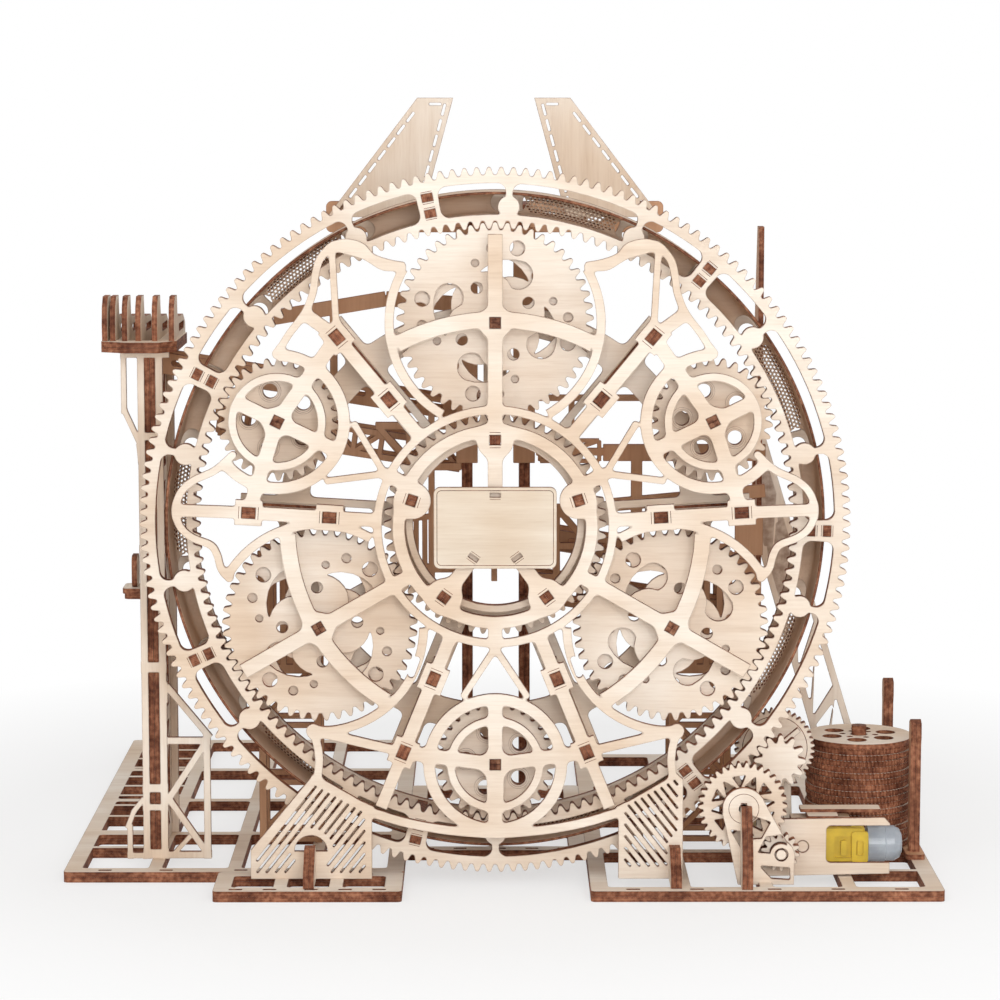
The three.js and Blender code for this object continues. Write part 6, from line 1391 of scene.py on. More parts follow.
def truss(start, end, width, bays, rail, brace):
    """Two rails with rungs and zigzag braces between two places."""
    (ax, ay), (bx, by) = start, end
    length = math.hypot(bx - ax, by - ay)
    ux, uy = (bx - ax) / length, (by - ay) / length
    half = (width - rail) / 2

    def at(share, across):
        return (ax + ux * share * length - uy * across, ay + uy * share * length + ux * across)

    shapes = [beam(at(0, side * half), at(1, side * half), rail) for side in (-1, 1)]
    for bay in range(bays + 1):
        shapes.append(beam(at(bay / bays, -half), at(bay / bays, half), brace))
    for bay in range(bays):
        side = 1 if bay % 2 else -1
        shapes.append(beam(at(bay / bays, -side * half), at((bay + 1) / bays, side * half), brace))
    return shapes


# The left tower. Its front sheet has two thin rails with the brown column between them
TOWER_FRONT_Y, TOWER_DEPTH = -122.0, 64.0
TOWER_TOP_Z = 277.0
TOWER_RAILS = ((-189.4, -185.8), (-180.0, -176.2))
TOWER_COLUMN_RIGHT = -180.2
TOWER_RUNGS = ((109, 5.4), (43.7, 4.4), (33.4, 3.4), (172, 4), (232, 4), (8, 5))
TOWER_TRIM = [
    ((-176.2, 99), (-153.4, 71), 3.4), (-157.0, -153.4, 5.6, 73.0), (-176.2, -153.4, 67.6, 71.2),
    (-177.2, -153.4, 5.6, 9.2), ((-155.4, 69), (-175.7, 38), 3.4), ((-175.7, 38), (-155.4, 8), 3.4),
    ((-173.2, 8), (-164.2, 18), 2.4), ((-177.2, 101), (-177.2, 90), 3.0),
    ((-189, 38), (-194.5, 31), 2.6), ((-194.5, 31), (-198, 22), 2.6),
    (-198.0, -195.2, 5.6, 24.0), (-198.0, -188.0, 5.6, 8.6),
    (-198.0, -195.2, 244.0, 277.0), ((-196.6, 246), (-188.5, 228), 2.8),
    (-198.0, -172.5, 273.4, 277.0), ((-189, 228), (-188, 218), 2.8),
]
TOWER_FILLET, TOWER_BAYS, BACK_RIM, BACK_CORNER = 0.8, 4, 4.0, 2.0
LADDER_RIM, LADDER_CORNER, LADDER_BRACE, LADDER_LIFT, LADDER_INSET = 8.0, 3.0, 4.5, 4.0, 6.0
LADDER_THINNER = 0.1
LEDGE_Z, LEDGE_RIGHT, LEDGE_Y, LEDGE_CORNER = 151.0, -186.0, (-121.0, -101.0), 3.0
LEDGE_LEFTS = (-199.0, -198.0)
KNEE_X, KNEE_Y, KNEE_HEIGHT, KNEE_CORNER = -191.4, (-118.0, -104.0), 17.0, 4.0


def left_tower():
    (left, left_in), (right_in, right) = TOWER_RAILS
    low, high = DOUBLE_PLY, TOWER_TOP_Z
    shapes = [slab(left, left_in, low, high), slab(right_in, right, low, high)]
    for z, height in TOWER_RUNGS:
        shapes.append(slab(left, right, z - height / 2, z + height / 2))
    piece = Piece("left_tower_truss")
    piece.sheet(Plan(shapes + bars(TOWER_TRIM), step=PLAN_STEP, fillet=TOWER_FILLET), TOWER_FRONT_Y)
    windows = window_grid((left, right), (low, high), (1, TOWER_BAYS), BACK_RIM, BACK_RIM, BACK_CORNER)
    piece.sheet(Plan([slab(left, right, low, high)], windows), TOWER_FRONT_Y + TOWER_DEPTH - PLY)
    y0, y1 = TOWER_FRONT_Y + PLY / 2, TOWER_FRONT_Y + TOWER_DEPTH - PLY / 2
    windows = window_grid((y0, y1), (low, high), (1, TOWER_BAYS), LADDER_RIM, LADDER_RIM, LADDER_CORNER)
    ladder = Plan([slab(y0, y1, low, high)], windows)
    height = (high - low) / TOWER_BAYS
    near, far = y0 + LADDER_INSET, y1 - LADDER_INSET
    for bay in range(TOWER_BAYS):
        z0 = low + bay * height + LADDER_LIFT
        z1 = z0 + height - LADDER_INSET
        ladder.mix(beam((near, z0), (far, z1), LADDER_BRACE))
        ladder.mix(beam((far, z0), (near, z1), LADDER_BRACE))
    piece.pair(ladder, TOWER_COLUMN_RIGHT, "sideways", SEAM, LADDER_THINNER)
    for layer, reach in enumerate(LEDGE_LEFTS):
        ledge = Plan([slab(reach, LEDGE_RIGHT, *LEDGE_Y, LEDGE_CORNER)], step=MID_STEP)
        piece.sheet(ledge, LEDGE_Z - layer * PLY, PLY, "flat")
    knee = Plan([slab(*KNEE_Y, LEDGE_Z, LEDGE_Z + KNEE_HEIGHT, KNEE_CORNER)], step=MID_STEP)
    piece.sheet(knee, KNEE_X, PLY, "sideways")
    piece.done("frame", SHEET_Z, ["left_tower"])


BASKET_OUTLINE = [
    (-206, -130), (-194, -137), (-177, -137), (-169, -126), (-169, -68), (-180, -55), (-197, -55),
    (-208, -66),
]
BASKET_CORNER, BASKET_HOLE = 1.0, (-197.0, -180.0, -124.0, -68.0, 5.0)
BASKET_THINNER = 0.06
BASKET_RIB_XS = (-206.8, -202.6, -196.4, -189.4, -180.8, -172.0)
RIB_FRONT_Y, RIB_DEPTH, RIB_LIFT, RIB_HEIGHT, RIB_CORNER = -128.0, 64.0, 0.5, 24.5, 0.8
RIB_SHARES = [
    (0.02, 0), (0.98, 0), (0.98, 0.3), (0.8, 0.5), (0.4, 0.52), (0.3, 0.6), (0.27, 1), (0.1, 1),
    (0.03, 0.8), (0, 0.45),
]
RIB_HOLE_SHARES, RIB_HOLE_HEIGHTS, RIB_HOLE_CORNER = (0.42, 0.86), (5.4, 9.4), 1.6


def catch_basket():
    piece = Piece("catch_basket_ribs")
    plate = Plan([polygon(BASKET_OUTLINE, BASKET_CORNER)], [slab(*BASKET_HOLE)])
    piece.pair(plate, TOWER_TOP_Z + DOUBLE_PLY, "flat", SEAM, BASKET_THINNER)
    front, depth, bottom = RIB_FRONT_Y, RIB_DEPTH, TOWER_TOP_Z + DOUBLE_PLY / 2 + RIB_LIFT
    outline = polygon([(front + depth * a, bottom + RIB_HEIGHT * b) for a, b in RIB_SHARES], RIB_CORNER)
    hole = [front + depth * share for share in RIB_HOLE_SHARES]
    hole += [bottom + height for height in RIB_HOLE_HEIGHTS]
    rib = Plan([outline], [slab(*hole, RIB_HOLE_CORNER)])
    for x in BASKET_RIB_XS:
        piece.sheet(rib, x + PLY, PLY, "sideways")
    piece.done("frame", (birch_z, edge), ["catch_basket"])


# The lift tower behind the hub, its head plate and the fins
LIFT_X, LIFT_Y = (-19.8, 16.8), (-86.0, -36.0)
LIFT_TOP_Z, LIFT_RIM, LIFT_BAYS, LIFT_CORNER = 352.0, 11.0, 4, 4.0
LIFT_BRACE, LIFT_BRACE_INSET, LIFT_BRACE_SHORTER = 4.0, 6.0, 10.0
TIE_HEIGHT, TIE_HALF_WIDTH, TIE_GAP = 44.0, 4.0, 0.1
SHELF_PLACES, SHELF_INSET, SHELF_HOLE_X, SHELF_HOLE_RADIUS = (70.0, 158.0, 246.0, 334.0), 5.5, -1.5, 9.0
HEAD_HALF_WIDTH, HEAD_HEIGHT, HEAD_CORNER = 92.0, 17.0, 3.0
HEAD_SLOT_SHARES, HEAD_SLOT_DROPS = (0.08, 0.2, 0.34, 0.66, 0.8, 0.92), (11.0, 6.0)
HEAD_SLOT_HALF_LENGTH, HEAD_SLOT_CORNER = 5.0, 2.4


def lift_tower():
    piece = Piece("lift_tower_columns")
    y0, y1 = LIFT_Y
    low, high = DOUBLE_PLY, LIFT_TOP_Z
    windows = window_grid((y0, y1), (low, high), (1, LIFT_BAYS), LIFT_RIM, LIFT_RIM, LIFT_CORNER)
    column = Plan([slab(y0, y1, low, high)], windows, BASE_STEP)
    inset = LIFT_BRACE_INSET
    for side in (-1, 1):
        z = WHEEL_Z + side * TIE_HEIGHT
        column.mix(slab(REAR_FRAME_BACK_Y + TIE_GAP, y0 + inset, z - TIE_HALF_WIDTH, z + TIE_HALF_WIDTH))
    height = (high - low) / LIFT_BAYS
    for bay in range(LIFT_BAYS):
        z = low + bay * height + inset
        column.mix(beam((y0 + inset, z), (y1 - inset, z + height - LIFT_BRACE_SHORTER), LIFT_BRACE))
    for right in (LIFT_X[0] + DOUBLE_PLY, LIFT_X[1]):
        piece.pair(column, right, "sideways")
    hole = disc((SHELF_HOLE_X, (y0 + y1) / 2), SHELF_HOLE_RADIUS)
    shelf = Plan([slab(LIFT_X[0] + PLY, LIFT_X[1] - PLY, y0 + SHELF_INSET, y1 - SHELF_INSET)], [hole])
    for z in SHELF_PLACES:
        piece.sheet(shelf, z + PLY, PLY, "flat")
    x0, x1 = WHEEL_X - HEAD_HALF_WIDTH, WHEEL_X + HEAD_HALF_WIDTH
    head = Plan([slab(x0, x1, high - HEAD_HEIGHT, high, HEAD_CORNER)])
    for share in HEAD_SLOT_SHARES:
        x = x0 + (x1 - x0) * share
        ends = [high - drop for drop in HEAD_SLOT_DROPS]
        head.cut(slab(x - HEAD_SLOT_HALF_LENGTH, x + HEAD_SLOT_HALF_LENGTH, *ends, HEAD_SLOT_CORNER))
    piece.sheet(head, y1 - PLY)
    piece.done("frame", (birch_shaded_face, edge), ["lift_tower"])


FIN_BOTTOM_Z, FIN_HEIGHT = 343.5, 64.5
FIN_INNER_X, FIN_TOP_WIDTH = 22.0, 19.5
FIN_OUTER_SLOPE, FIN_INNER_SLOPE = 0.765, 0.27
FIN_CENTRE_X = -2.5
FIN_DASH, FIN_DASH_PITCH, FIN_DASH_WIDTH, FIN_DASH_INSET, FIN_DASH_MARGIN = 5.2, 8.6, 1.5, 3.4, 6.0


def on_side(shape, sign):
    """A shape on the right of the fins' middle, or its mirror image on the left."""
    distance, (x0, x1, z0, z1) = shape
    ends = sorted((FIN_CENTRE_X + sign * x0, FIN_CENTRE_X + sign * x1))
    return (lambda x, z: distance(sign * (x - FIN_CENTRE_X), z)), (*ends, z0, z1)


def fins():
    top = FIN_BOTTOM_Z + FIN_HEIGHT
    corners = [
        (FIN_INNER_X + FIN_HEIGHT * FIN_INNER_SLOPE, FIN_BOTTOM_Z),
        (FIN_INNER_X + FIN_TOP_WIDTH + FIN_HEIGHT * FIN_OUTER_SLOPE, FIN_BOTTOM_Z),
        (FIN_INNER_X + FIN_TOP_WIDTH, top), (FIN_INNER_X, top),
    ]
    dashes = []
    for (ax, az), (bx, bz) in zip(corners[1:], corners[2:] + corners[:1]):
        length = math.hypot(bx - ax, bz - az)
        ux, uz = (bx - ax) / length, (bz - az) / length
        count = int((length - FIN_DASH_MARGIN) // FIN_DASH_PITCH)
        first = (length - (count - 1) * FIN_DASH_PITCH - FIN_DASH) / 2
        for dash in range(count):
            start = first + dash * FIN_DASH_PITCH
            a = (ax + ux * start - uz * FIN_DASH_INSET, az + uz * start + ux * FIN_DASH_INSET)
            b = (a[0] + ux * FIN_DASH, a[1] + uz * FIN_DASH)
            dashes.append(beam(a, b, FIN_DASH_WIDTH, True))
    for side, sign in (("right", 1), ("left", -1)):
        cuts = [on_side(dash, sign) for dash in dashes]
        plan = Plan([on_side(polygon(corners), sign)], cuts, PLAN_STEP)
        piece = Piece(f"fin_dashed_{side}")
        piece.pair(plan, LIFT_Y[1] - PLY - DOUBLE_PLY, gap=THIN_SEAM)
        piece.done("frame", SHEET_Z, [f"fin_{side}"])


# Right side: the post, the leaning truss and the low posts
POST_X, POST_Y = 140.6, (-62.0, -28.0)
POST_TOP_Z, POST_TIP_Z, POST_TIP_DEPTH = 250.0, 339.0, 12.0
POST_WINDOW_TOP_Z, POST_BAYS, POST_RIM, POST_CORNER = 230.0, 4, 8.0, 3.0
TRUSS_FOOT_RIGHT, TRUSS_WIDTH, TRUSS_TOP_Z, TRUSS_HEAD = 214.0, 24.0, 236.0, 72.0
TRUSS_BAYS, TRUSS_CORNER = 6, 0.8
BAY_SHARES, BAY_ACROSS_SHARES, BAY_LATER_SHARE, BAY_NARROW_SHARE = (0.12, 0.88), (0.2, 0.8), 0.05, 0.66


def right_side():
    y0, y1 = POST_Y
    outline = polygon([
        (y0, DOUBLE_PLY), (y1, DOUBLE_PLY), (y1, POST_TOP_Z), (y0 + POST_TIP_DEPTH, POST_TIP_Z),
        (y0, POST_TIP_Z),
    ])
    span = (DOUBLE_PLY, POST_WINDOW_TOP_Z)
    post = Plan([outline], window_grid((y0, y1), span, (1, POST_BAYS), POST_RIM, POST_RIM, POST_CORNER))
    piece = Piece("right_post_plate")
    piece.sheet(post, POST_X + PLY, PLY, "sideways")
    piece.done("frame", (birch_shaded_face, edge), ["right_post"])

    x0 = POST_X + PLY
    foot_left, foot_right = (TRUSS_FOOT_RIGHT - TRUSS_WIDTH, DOUBLE_PLY), (TRUSS_FOOT_RIGHT, DOUBLE_PLY)
    low, top = (x0, TRUSS_TOP_Z - TRUSS_HEAD), (x0, TRUSS_TOP_Z)

    def inside(up, across):
        left = [a + (b - a) * up for a, b in zip(foot_left, low)]
        right = [a + (b - a) * up for a, b in zip(foot_right, top)]
        return [a + (b - a) * across for a, b in zip(left, right)]

    (begin, stop), (near, far), windows = BAY_SHARES, BAY_ACROSS_SHARES, []
    for bay in range(TRUSS_BAYS):
        start, end = (bay + begin) / TRUSS_BAYS, (bay + stop) / TRUSS_BAYS
        later = start + BAY_LATER_SHARE
        pairs = [
            [(start, near), (start, far), (end, far)],
            [(later, near), (end, BAY_NARROW_SHARE), (end, near)],
        ]
        windows += [polygon([inside(*place) for place in places], TRUSS_CORNER) for places in pairs]
    piece = Piece("right_truss_plate")
    piece.sheet(Plan([polygon([foot_left, foot_right, top, low])], windows), y1 - PLY)
    piece.done("frame", SHEET_Z, ["right_truss"])


LOW_POST_X, LOW_POST_YS, LOW_POST_TOP_Z = 222.0, (-117.0, 5.0), 80.0
LOW_POST_PROFILE = [(3.2, 5.6), (3.2, 66.0), (4.6, 71.0), (4.2, 78.0)]
LOW_POST_SEAM, LOW_POST_THINNER = 0.05, 0.06
LOW_RAIL_HALF_WIDTH, LOW_RAIL_OVERREACH, LOW_RAIL_CORNER = 5.0, 10.0, 2.0


def low_posts():
    piece = Piece("low_posts_tapered")
    y0, y1 = LOW_POST_YS
    half, reach = LOW_RAIL_HALF_WIDTH, LOW_RAIL_OVERREACH
    rail = Plan([slab(LOW_POST_X - half, LOW_POST_X + half, y0 - reach, y1 + reach, LOW_RAIL_CORNER)])
    piece.sheet(rail, DOUBLE_PLY + PLY, PLY, "flat")
    for y in LOW_POST_YS:
        behind = [(y + width, z) for width, z in LOW_POST_PROFILE]
        before = [(y - width, z) for width, z in LOW_POST_PROFILE[::-1]]
        post = Plan([polygon([*behind, (y, LOW_POST_TOP_Z), *before])], step=PLAN_STEP)
        piece.pair(post, LOW_POST_X + PLY, "sideways", LOW_POST_SEAM, LOW_POST_THINNER)
    piece.done("frame", (birch_shaded_face, edge), ["low_posts"])


TRACK_Y, TRACK_HEIGHT, TRACK_SLOPE = (-84.0, -60.0), 12.0, 0.16
TRACKS = {"upper_track": (-182.0, -19.8, 262.0), "lower_track": (16.8, 140.6, 168.0)}
TRACK_HOLE_PITCH, TRACK_HOLE, TRACK_HOLE_INSET, TRACK_HOLE_CORNER = 18, (6, 16), 8.0, 2.0
TRACK_SLOT_PITCH, TRACK_SLOT, TRACK_SLOT_Z, TRACK_SLOT_CORNER = 14, (6, 13), (5.0, 8.0), 1.4
WALL_LOWER, WALL_CORNER = 0.6, 1.5


def tracks():
    for name, (x0, x1, z_start) in TRACKS.items():
        run, y0, y1 = x1 - x0, *TRACK_Y
        tilt = math.atan(TRACK_SLOPE)
        along = np.array([math.cos(tilt), 0, -math.sin(tilt)])
        lean = np.array([math.sin(tilt), 0, math.cos(tilt)])
        length = run / math.cos(tilt) - TRACK_HEIGHT * math.tan(tilt)
        start = np.array([x0, 0, z_start])
        piece = Piece(f"{name}_trough")
        holes = []
        for x in range(0, int(length // TRACK_HOLE_PITCH) * TRACK_HOLE_PITCH, TRACK_HOLE_PITCH):
            ends = [x + place for place in TRACK_HOLE]
            holes.append(slab(*ends, y0 + TRACK_HOLE_INSET, y1 - TRACK_HOLE_INSET, TRACK_HOLE_CORNER))
        floor_plan = Plan([slab(0, length, y0 + PLY, y1 - PLY)], holes)
        piece.sheet(floor_plan, PLY, PLY, (along, AWAY, lean, start))
        slots = []
        for x in range(0, int(length // TRACK_SLOT_PITCH) * TRACK_SLOT_PITCH, TRACK_SLOT_PITCH):
            slots.append(slab(*[x + place for place in TRACK_SLOT], *TRACK_SLOT_Z, TRACK_SLOT_CORNER))
        wall = Plan([slab(0, length, 0, TRACK_HEIGHT - WALL_LOWER, WALL_CORNER)], slots)
        for y in (y0, y1 - PLY):
            piece.sheet(wall, -y, PLY, (along, lean, -AWAY, start))
        piece.done("frame", (birch_shaded_face, edge), [name])


# Rails, posts and trestles between the towers, behind the wheel
RAIL_GAP = 0.1
BACK_RAILS_Y = LIFT_Y[0] - PLY - RAIL_GAP
TRESTLE_TOP_Z, TRESTLE_SHELF_Z, TRESTLE_YS = 166.0, 104.0, (-86.0, -60.0)
TRESTLE_PLACES = {"left": (-130.0, -96.0), "right": (92.0, 126.0)}
TRESTLE_LEG, TRESTLE_SLAT, TRESTLE_SLATS = 4.0, 3.4, 4
TRESTLE_BOARD, TRESTLE_BRACE, TRESTLE_INSET, TRESTLE_BAYS, SLAT_OVERLAP = 5.0, 3.0, 2.0, 3, 1


def trestles():
    low, high = DOUBLE_PLY, TRESTLE_TOP_Z
    for side, (x0, x1) in TRESTLE_PLACES.items():
        shapes = [slab(x0, x0 + TRESTLE_LEG, low, high), slab(x1 - TRESTLE_LEG, x1, low, high)]
        for z in (TRESTLE_SHELF_Z, high):
            shapes.append(slab(x0, x1, z - TRESTLE_BOARD, z))
        for slat in range(TRESTLE_SLATS):
            x = x0 + (x1 - x0) * (slat + 1) / (TRESTLE_SLATS + 1)
            shapes.append(slab(x - TRESTLE_SLAT / 2, x + TRESTLE_SLAT / 2, TRESTLE_SHELF_Z - SLAT_OVERLAP,
                               high))
        middle = (x0 + x1) / 2
        ends = (middle, low + TRESTLE_INSET), (middle, TRESTLE_SHELF_Z - TRESTLE_INSET)
        shapes += truss(*ends, x1 - x0, TRESTLE_BAYS, TRESTLE_LEG, TRESTLE_BRACE)
        piece = Piece(f"trestle_frames_{side}")
        for y in TRESTLE_YS:
            piece.sheet(Plan(shapes), y)
        piece.done("frame", (birch_shaded_face, edge))


BACK_BARS = [
    ((-120, 292), (-60, 302), 8.0), ((-60, 302), (38, 295), 8.0), ((-88, 244), (-88, 298), 4.0),
    ((-66, 234), (-20, 234), 4.0), ((-64, 233), (-44, 211), 3.4), ((-50, 212), (-20, 212), 4.0),
    ((-48, 212), (-48, 234), 3.4), ((-36, 150), (-36, 244), 3.4), ((-2.4, 150), (-2.4, 340), 3.2),
    (-22.8, -11.2, 214, 340), (7.8, 19.4, 214, 340),
    ((20, 220), (143, 220), 4.0), (56, 143, 215, 224), ((58, 191), (143, 199), 7.0),
    ((74, 156), (74, 220), 6.0), (127, 142, 164, 188), ((39, 208), (39, 250), 3.2),
    ((20, 249), (92, 249), 3.4), ((92, 222), (92, 250), 3.4),
    ((20, 152), (32, 152), 4.0), ((20, 186), (32, 186), 4.0),
    ((-55, 157), (-20, 157), 4.6), ((-55, 183), (-20, 187), 3.0),
]
BACK_TRUSSES = [((38, 215), (38, 226), 34, 1, 2.2, 2.2), ((40, 148), (40, 190), 22, 2, 4.0, 3.6)]
BACK_SLATS, BACK_SLAT_X, BACK_SLAT_PITCH, BACK_SLAT_WIDTH = 5, -53.5, 4.6, 2.8
BACK_SLAT_Z, BACK_SLAT_RISE, BACK_STEP = (157, 183.4), 0.5, 0.45
GIRDERS = [((-150, 236), (-20, 216), 16, 9, 3.4, 2.6), ((17, 146), (140, 127), 16, 9, 3.4, 2.6)]
GIRDER_ENDS = [
    ((-150, 240), (-150, 256), 4.0), ((-20, 214), (-20, 250), 4.0),
    ((17, 144), (17, 168), 4.0), ((140, 125), (140, 150), 4.0),
]


def back_rails():
    shapes = bars(BACK_BARS)
    for entry in BACK_TRUSSES:
        shapes += truss(*entry)
    low, high = BACK_SLAT_Z
    for slat in range(BACK_SLATS):
        x = BACK_SLAT_X + BACK_SLAT_PITCH * slat
        shapes.append(beam((x, low), (x, high + BACK_SLAT_RISE * slat), BACK_SLAT_WIDTH))
    piece = Piece("back_rails_lattice")
    piece.sheet(Plan(shapes, step=BACK_STEP), BACK_RAILS_Y)
    girders = bars(GIRDER_ENDS)
    for entry in GIRDERS:
        girders += truss(*entry)
    for y in (TRACK_Y[0] - RAIL_GAP + PLY, TRACK_Y[1] - PLY):
        piece.sheet(Plan(girders), y)
    piece.done("frame", (birch_shaded_face, edge))


bases()
gussets()
left_tower()
catch_basket()
lift_tower()
fins()
right_side()
low_posts()
tracks()
trestles()
back_rails()

# The drive. Its gear and pinion turn together
DRIVE_MODULE, DRIVE_TEETH, MOTOR_TEETH = 1.3, 34, 14
DRIVE_RADIUS = DRIVE_MODULE * DRIVE_TEETH / 2
MOTOR_PINION_RADIUS = DRIVE_MODULE * MOTOR_TEETH / 2
DRIVE_ANGLE, TAKEOFF_ANGLE, MOTOR_ANGLE = -48.6, -40, -51
DRIVE_FRONT_Y = FRONT_FACE_Y - 3.0
BRACKET_FRONT_Y = DRIVE_FRONT_Y - 2.6 - PLY
MOTOR_PLATE_FRONT_Y = DRIVE_FRONT_Y + DOUBLE_PLY + 2.4
GEARBOX_FRONT_Y, GEARBOX_DEPTH = MOTOR_PLATE_FRONT_Y + PLY, 18.8
SHAFT_RADIUS = 2.6
drive_centre = polar(PINION_ORBIT, DRIVE_ANGLE)
motor_centre = polar(DRIVE_RADIUS + MOTOR_PINION_RADIUS, MOTOR_ANGLE, drive_centre)
takeoff_centre = polar(PINION_ORBIT, TAKEOFF_ANGLE)
DRIVE_TRIANGLES, TRIANGLE_TURN_DEGREES, TRIANGLE_CORNER = 12, 8, 0.5
# The radii of a triangle's two corners, of its single corner, and half its spread
TRIANGLE_SHAPES = ((10.6, 16.0, 14.5), (16.0, 10.6, 10.5))
SPACER_RADIUS, PINION_GROOVE, SHAFT_SHORTER = 6.0, (5.4, 0.5), (0.2, 0.3)


def around(centre, offsets):
    return [(centre[0] + x, centre[1] + z) for x, z in offsets]


def pair_phase(driver_phase, driver_teeth, teeth, degrees):
    driver_pitch = pitch_degrees(driver_teeth)
    tooth = round((degrees - driver_phase) / driver_pitch) * driver_pitch + driver_phase
    return degrees + 180 - (tooth - degrees) * driver_teeth / teeth + pitch_degrees(teeth) / 2


def drive_gear():
    phase = outside_ring_phase(DRIVE_ANGLE, PINION_TEETH)
    cuts = []
    for number in range(DRIVE_TRIANGLES):
        middle = 360 / DRIVE_TRIANGLES * number + TRIANGLE_TURN_DEGREES
        wide, narrow, spread = TRIANGLE_SHAPES[number % 2]
        places = ((narrow, middle), (wide, middle - spread), (wide, middle + spread))
        cuts.append(polygon([polar(*place, drive_centre) for place in places], TRIANGLE_CORNER))
    piece = Piece("drive_gear_stack")
    big = Plan([gear(DRIVE_TEETH, DRIVE_MODULE, drive_centre, phase)], cuts, TOOTH_STEP)
    piece.pair(big, DRIVE_FRONT_Y, "facing", THIN_SEAM, THIN_SEAM)
    pinion = Plan([gear(PINION_TEETH, TRAIN_MODULE, drive_centre, phase)], step=FINE_STEP)
    piece.sheet(pinion, GEAR_FRONT_Y, DOUBLE_PLY)
    piece.rod(drive_centre, SPACER_RADIUS, DRIVE_FRONT_Y + DOUBLE_PLY, GEAR_FRONT_Y)
    piece.rod(drive_centre, SHAFT_RADIUS, BRACKET_FRONT_Y, DRIVE_FRONT_Y)
    piece.done("drive", SHEET_X, ["drive_gear"])


def motor_pinion():
    phase = outside_ring_phase(DRIVE_ANGLE, PINION_TEETH)
    phase = pair_phase(phase, DRIVE_TEETH, MOTOR_TEETH, MOTOR_ANGLE)
    piece = Piece("motor_pinion_stack")
    groove = arc(motor_centre, *PINION_GROOVE)
    teeth = Plan([gear(MOTOR_TEETH, DRIVE_MODULE, motor_centre, phase)], [groove], TOOTH_STEP)
    piece.sheet(teeth, DRIVE_FRONT_Y, DOUBLE_PLY)
    front, back = SHAFT_SHORTER
    piece.rod(motor_centre, SHAFT_RADIUS, BRACKET_FRONT_Y + front, DRIVE_FRONT_Y)
    piece.rod(motor_centre, SHAFT_RADIUS, DRIVE_FRONT_Y + DOUBLE_PLY, GEARBOX_FRONT_Y - back)
    piece.done("pinion", SHEET_X, ["motor_pinion"])


# The drop-shaped bracket: places are offsets from the drive gear's or the motor's middle
BRACKET_HEAD_RADIUS, BRACKET_FOOT_RADIUS, BRACKET_STEP, BRACKET_FILLET = 10.9, 6.8, 0.25, 1.2
BRACKET_TOP, BRACKET_LOW = [(-10.6, -2.5), (9.4, 5.2)], [(6.6, -0.5), (6.4, -15.6)]
BRACKET_LEFT, BRACKET_CORNER = -2.6, 0.2
BRACKET_WINDOWS = [
    (drive_centre, [(-6.0, -11.6), (-1.2, -12.4), (-1.0, -20.2)], 0.5),
    (drive_centre, [(4.4, -4.4), (13.0, -7.4), (9.0, -15.0), (4.0, -15.4)], 0.8),
    (motor_centre, [(-11.4, 1.6), (-5.6, 1.2), (-3.6, 5.2), (2.2, 5.4), (-0.2, 10.0), (-7.6, 9.0)], 0.6),
    (motor_centre, [(-9.6, -6.6), (3.6, -7.6), (3.8, -12.4), (-4.6, -11.8)], 0.9),
]
SHAFT_BOSS, SHAFT_BOSS_BLEND, SHAFT_HOLE_FIT = (4.9, 1.6), 0.6, 0.9
HEAD_LINE_RADII = (7.9, 7.6)
KEY_LINE_HALF_WIDTH, KEY_LINE_LOW, KEY_LINE_HIGH, KEY_LINE_WIDTH = 1.6, 1.6, 3.0, 0.4
POST_DEPTH, POST_TOP_DEPTH, POST_RISE, POST_SHIFT, SHOULDER_SHARE = 16.0, 5.3, 1.6, 3.9, 0.5


def drive_bracket():
    (cx, cz), (mx, mz), front = drive_centre, motor_centre, BRACKET_FRONT_Y
    corners = around(drive_centre, BRACKET_TOP) + around(motor_centre, BRACKET_LOW)
    corners.append((cx + BRACKET_LEFT, mz + BRACKET_LOW[1][1]))
    outline = [
        disc(drive_centre, BRACKET_HEAD_RADIUS), polygon(corners, BRACKET_CORNER),
        disc(motor_centre, BRACKET_FOOT_RADIUS),
    ]
    cuts = [polygon(around(centre, offsets), corner) for centre, offsets, corner in BRACKET_WINDOWS]
    plan = Plan(outline, cuts, BRACKET_STEP, fillet=BRACKET_FILLET)
    plan.mix(arc(motor_centre, *SHAFT_BOSS), SHAFT_BOSS_BLEND)
    plan.cut(disc(motor_centre, SHAFT_RADIUS + SHAFT_HOLE_FIT))
    piece = Piece("drive_bracket_plate")
    piece.sheet(plan, front)
    outside, inside = [disc(drive_centre, radius) for radius in HEAD_LINE_RADII]
    piece.take_line(Plan([outside], [inside], LINE_STEP), front)

    def key(inset):
        half = KEY_LINE_HALF_WIDTH - inset
        return slab(cx - half, cx + half, cz - KEY_LINE_LOW + inset, cz + KEY_LINE_HIGH - inset)

    piece.take_line(Plan([key(0)], [key(KEY_LINE_WIDTH)], LINE_STEP), front)
    low, top = DOUBLE_PLY, cz + POST_RISE
    post = polygon([
        (front - POST_DEPTH, low), (front, low), (front, top), (front - POST_TOP_DEPTH, top),
        (front - POST_DEPTH, top * SHOULDER_SHARE),
    ])
    post = Plan([post], step=MID_STEP)
    piece.pair(post, cx + POST_SHIFT, "sideways", LOW_POST_SEAM, LOW_POST_THINNER)
    piece.done("frame", SHEET_X, ["drive_bracket"])


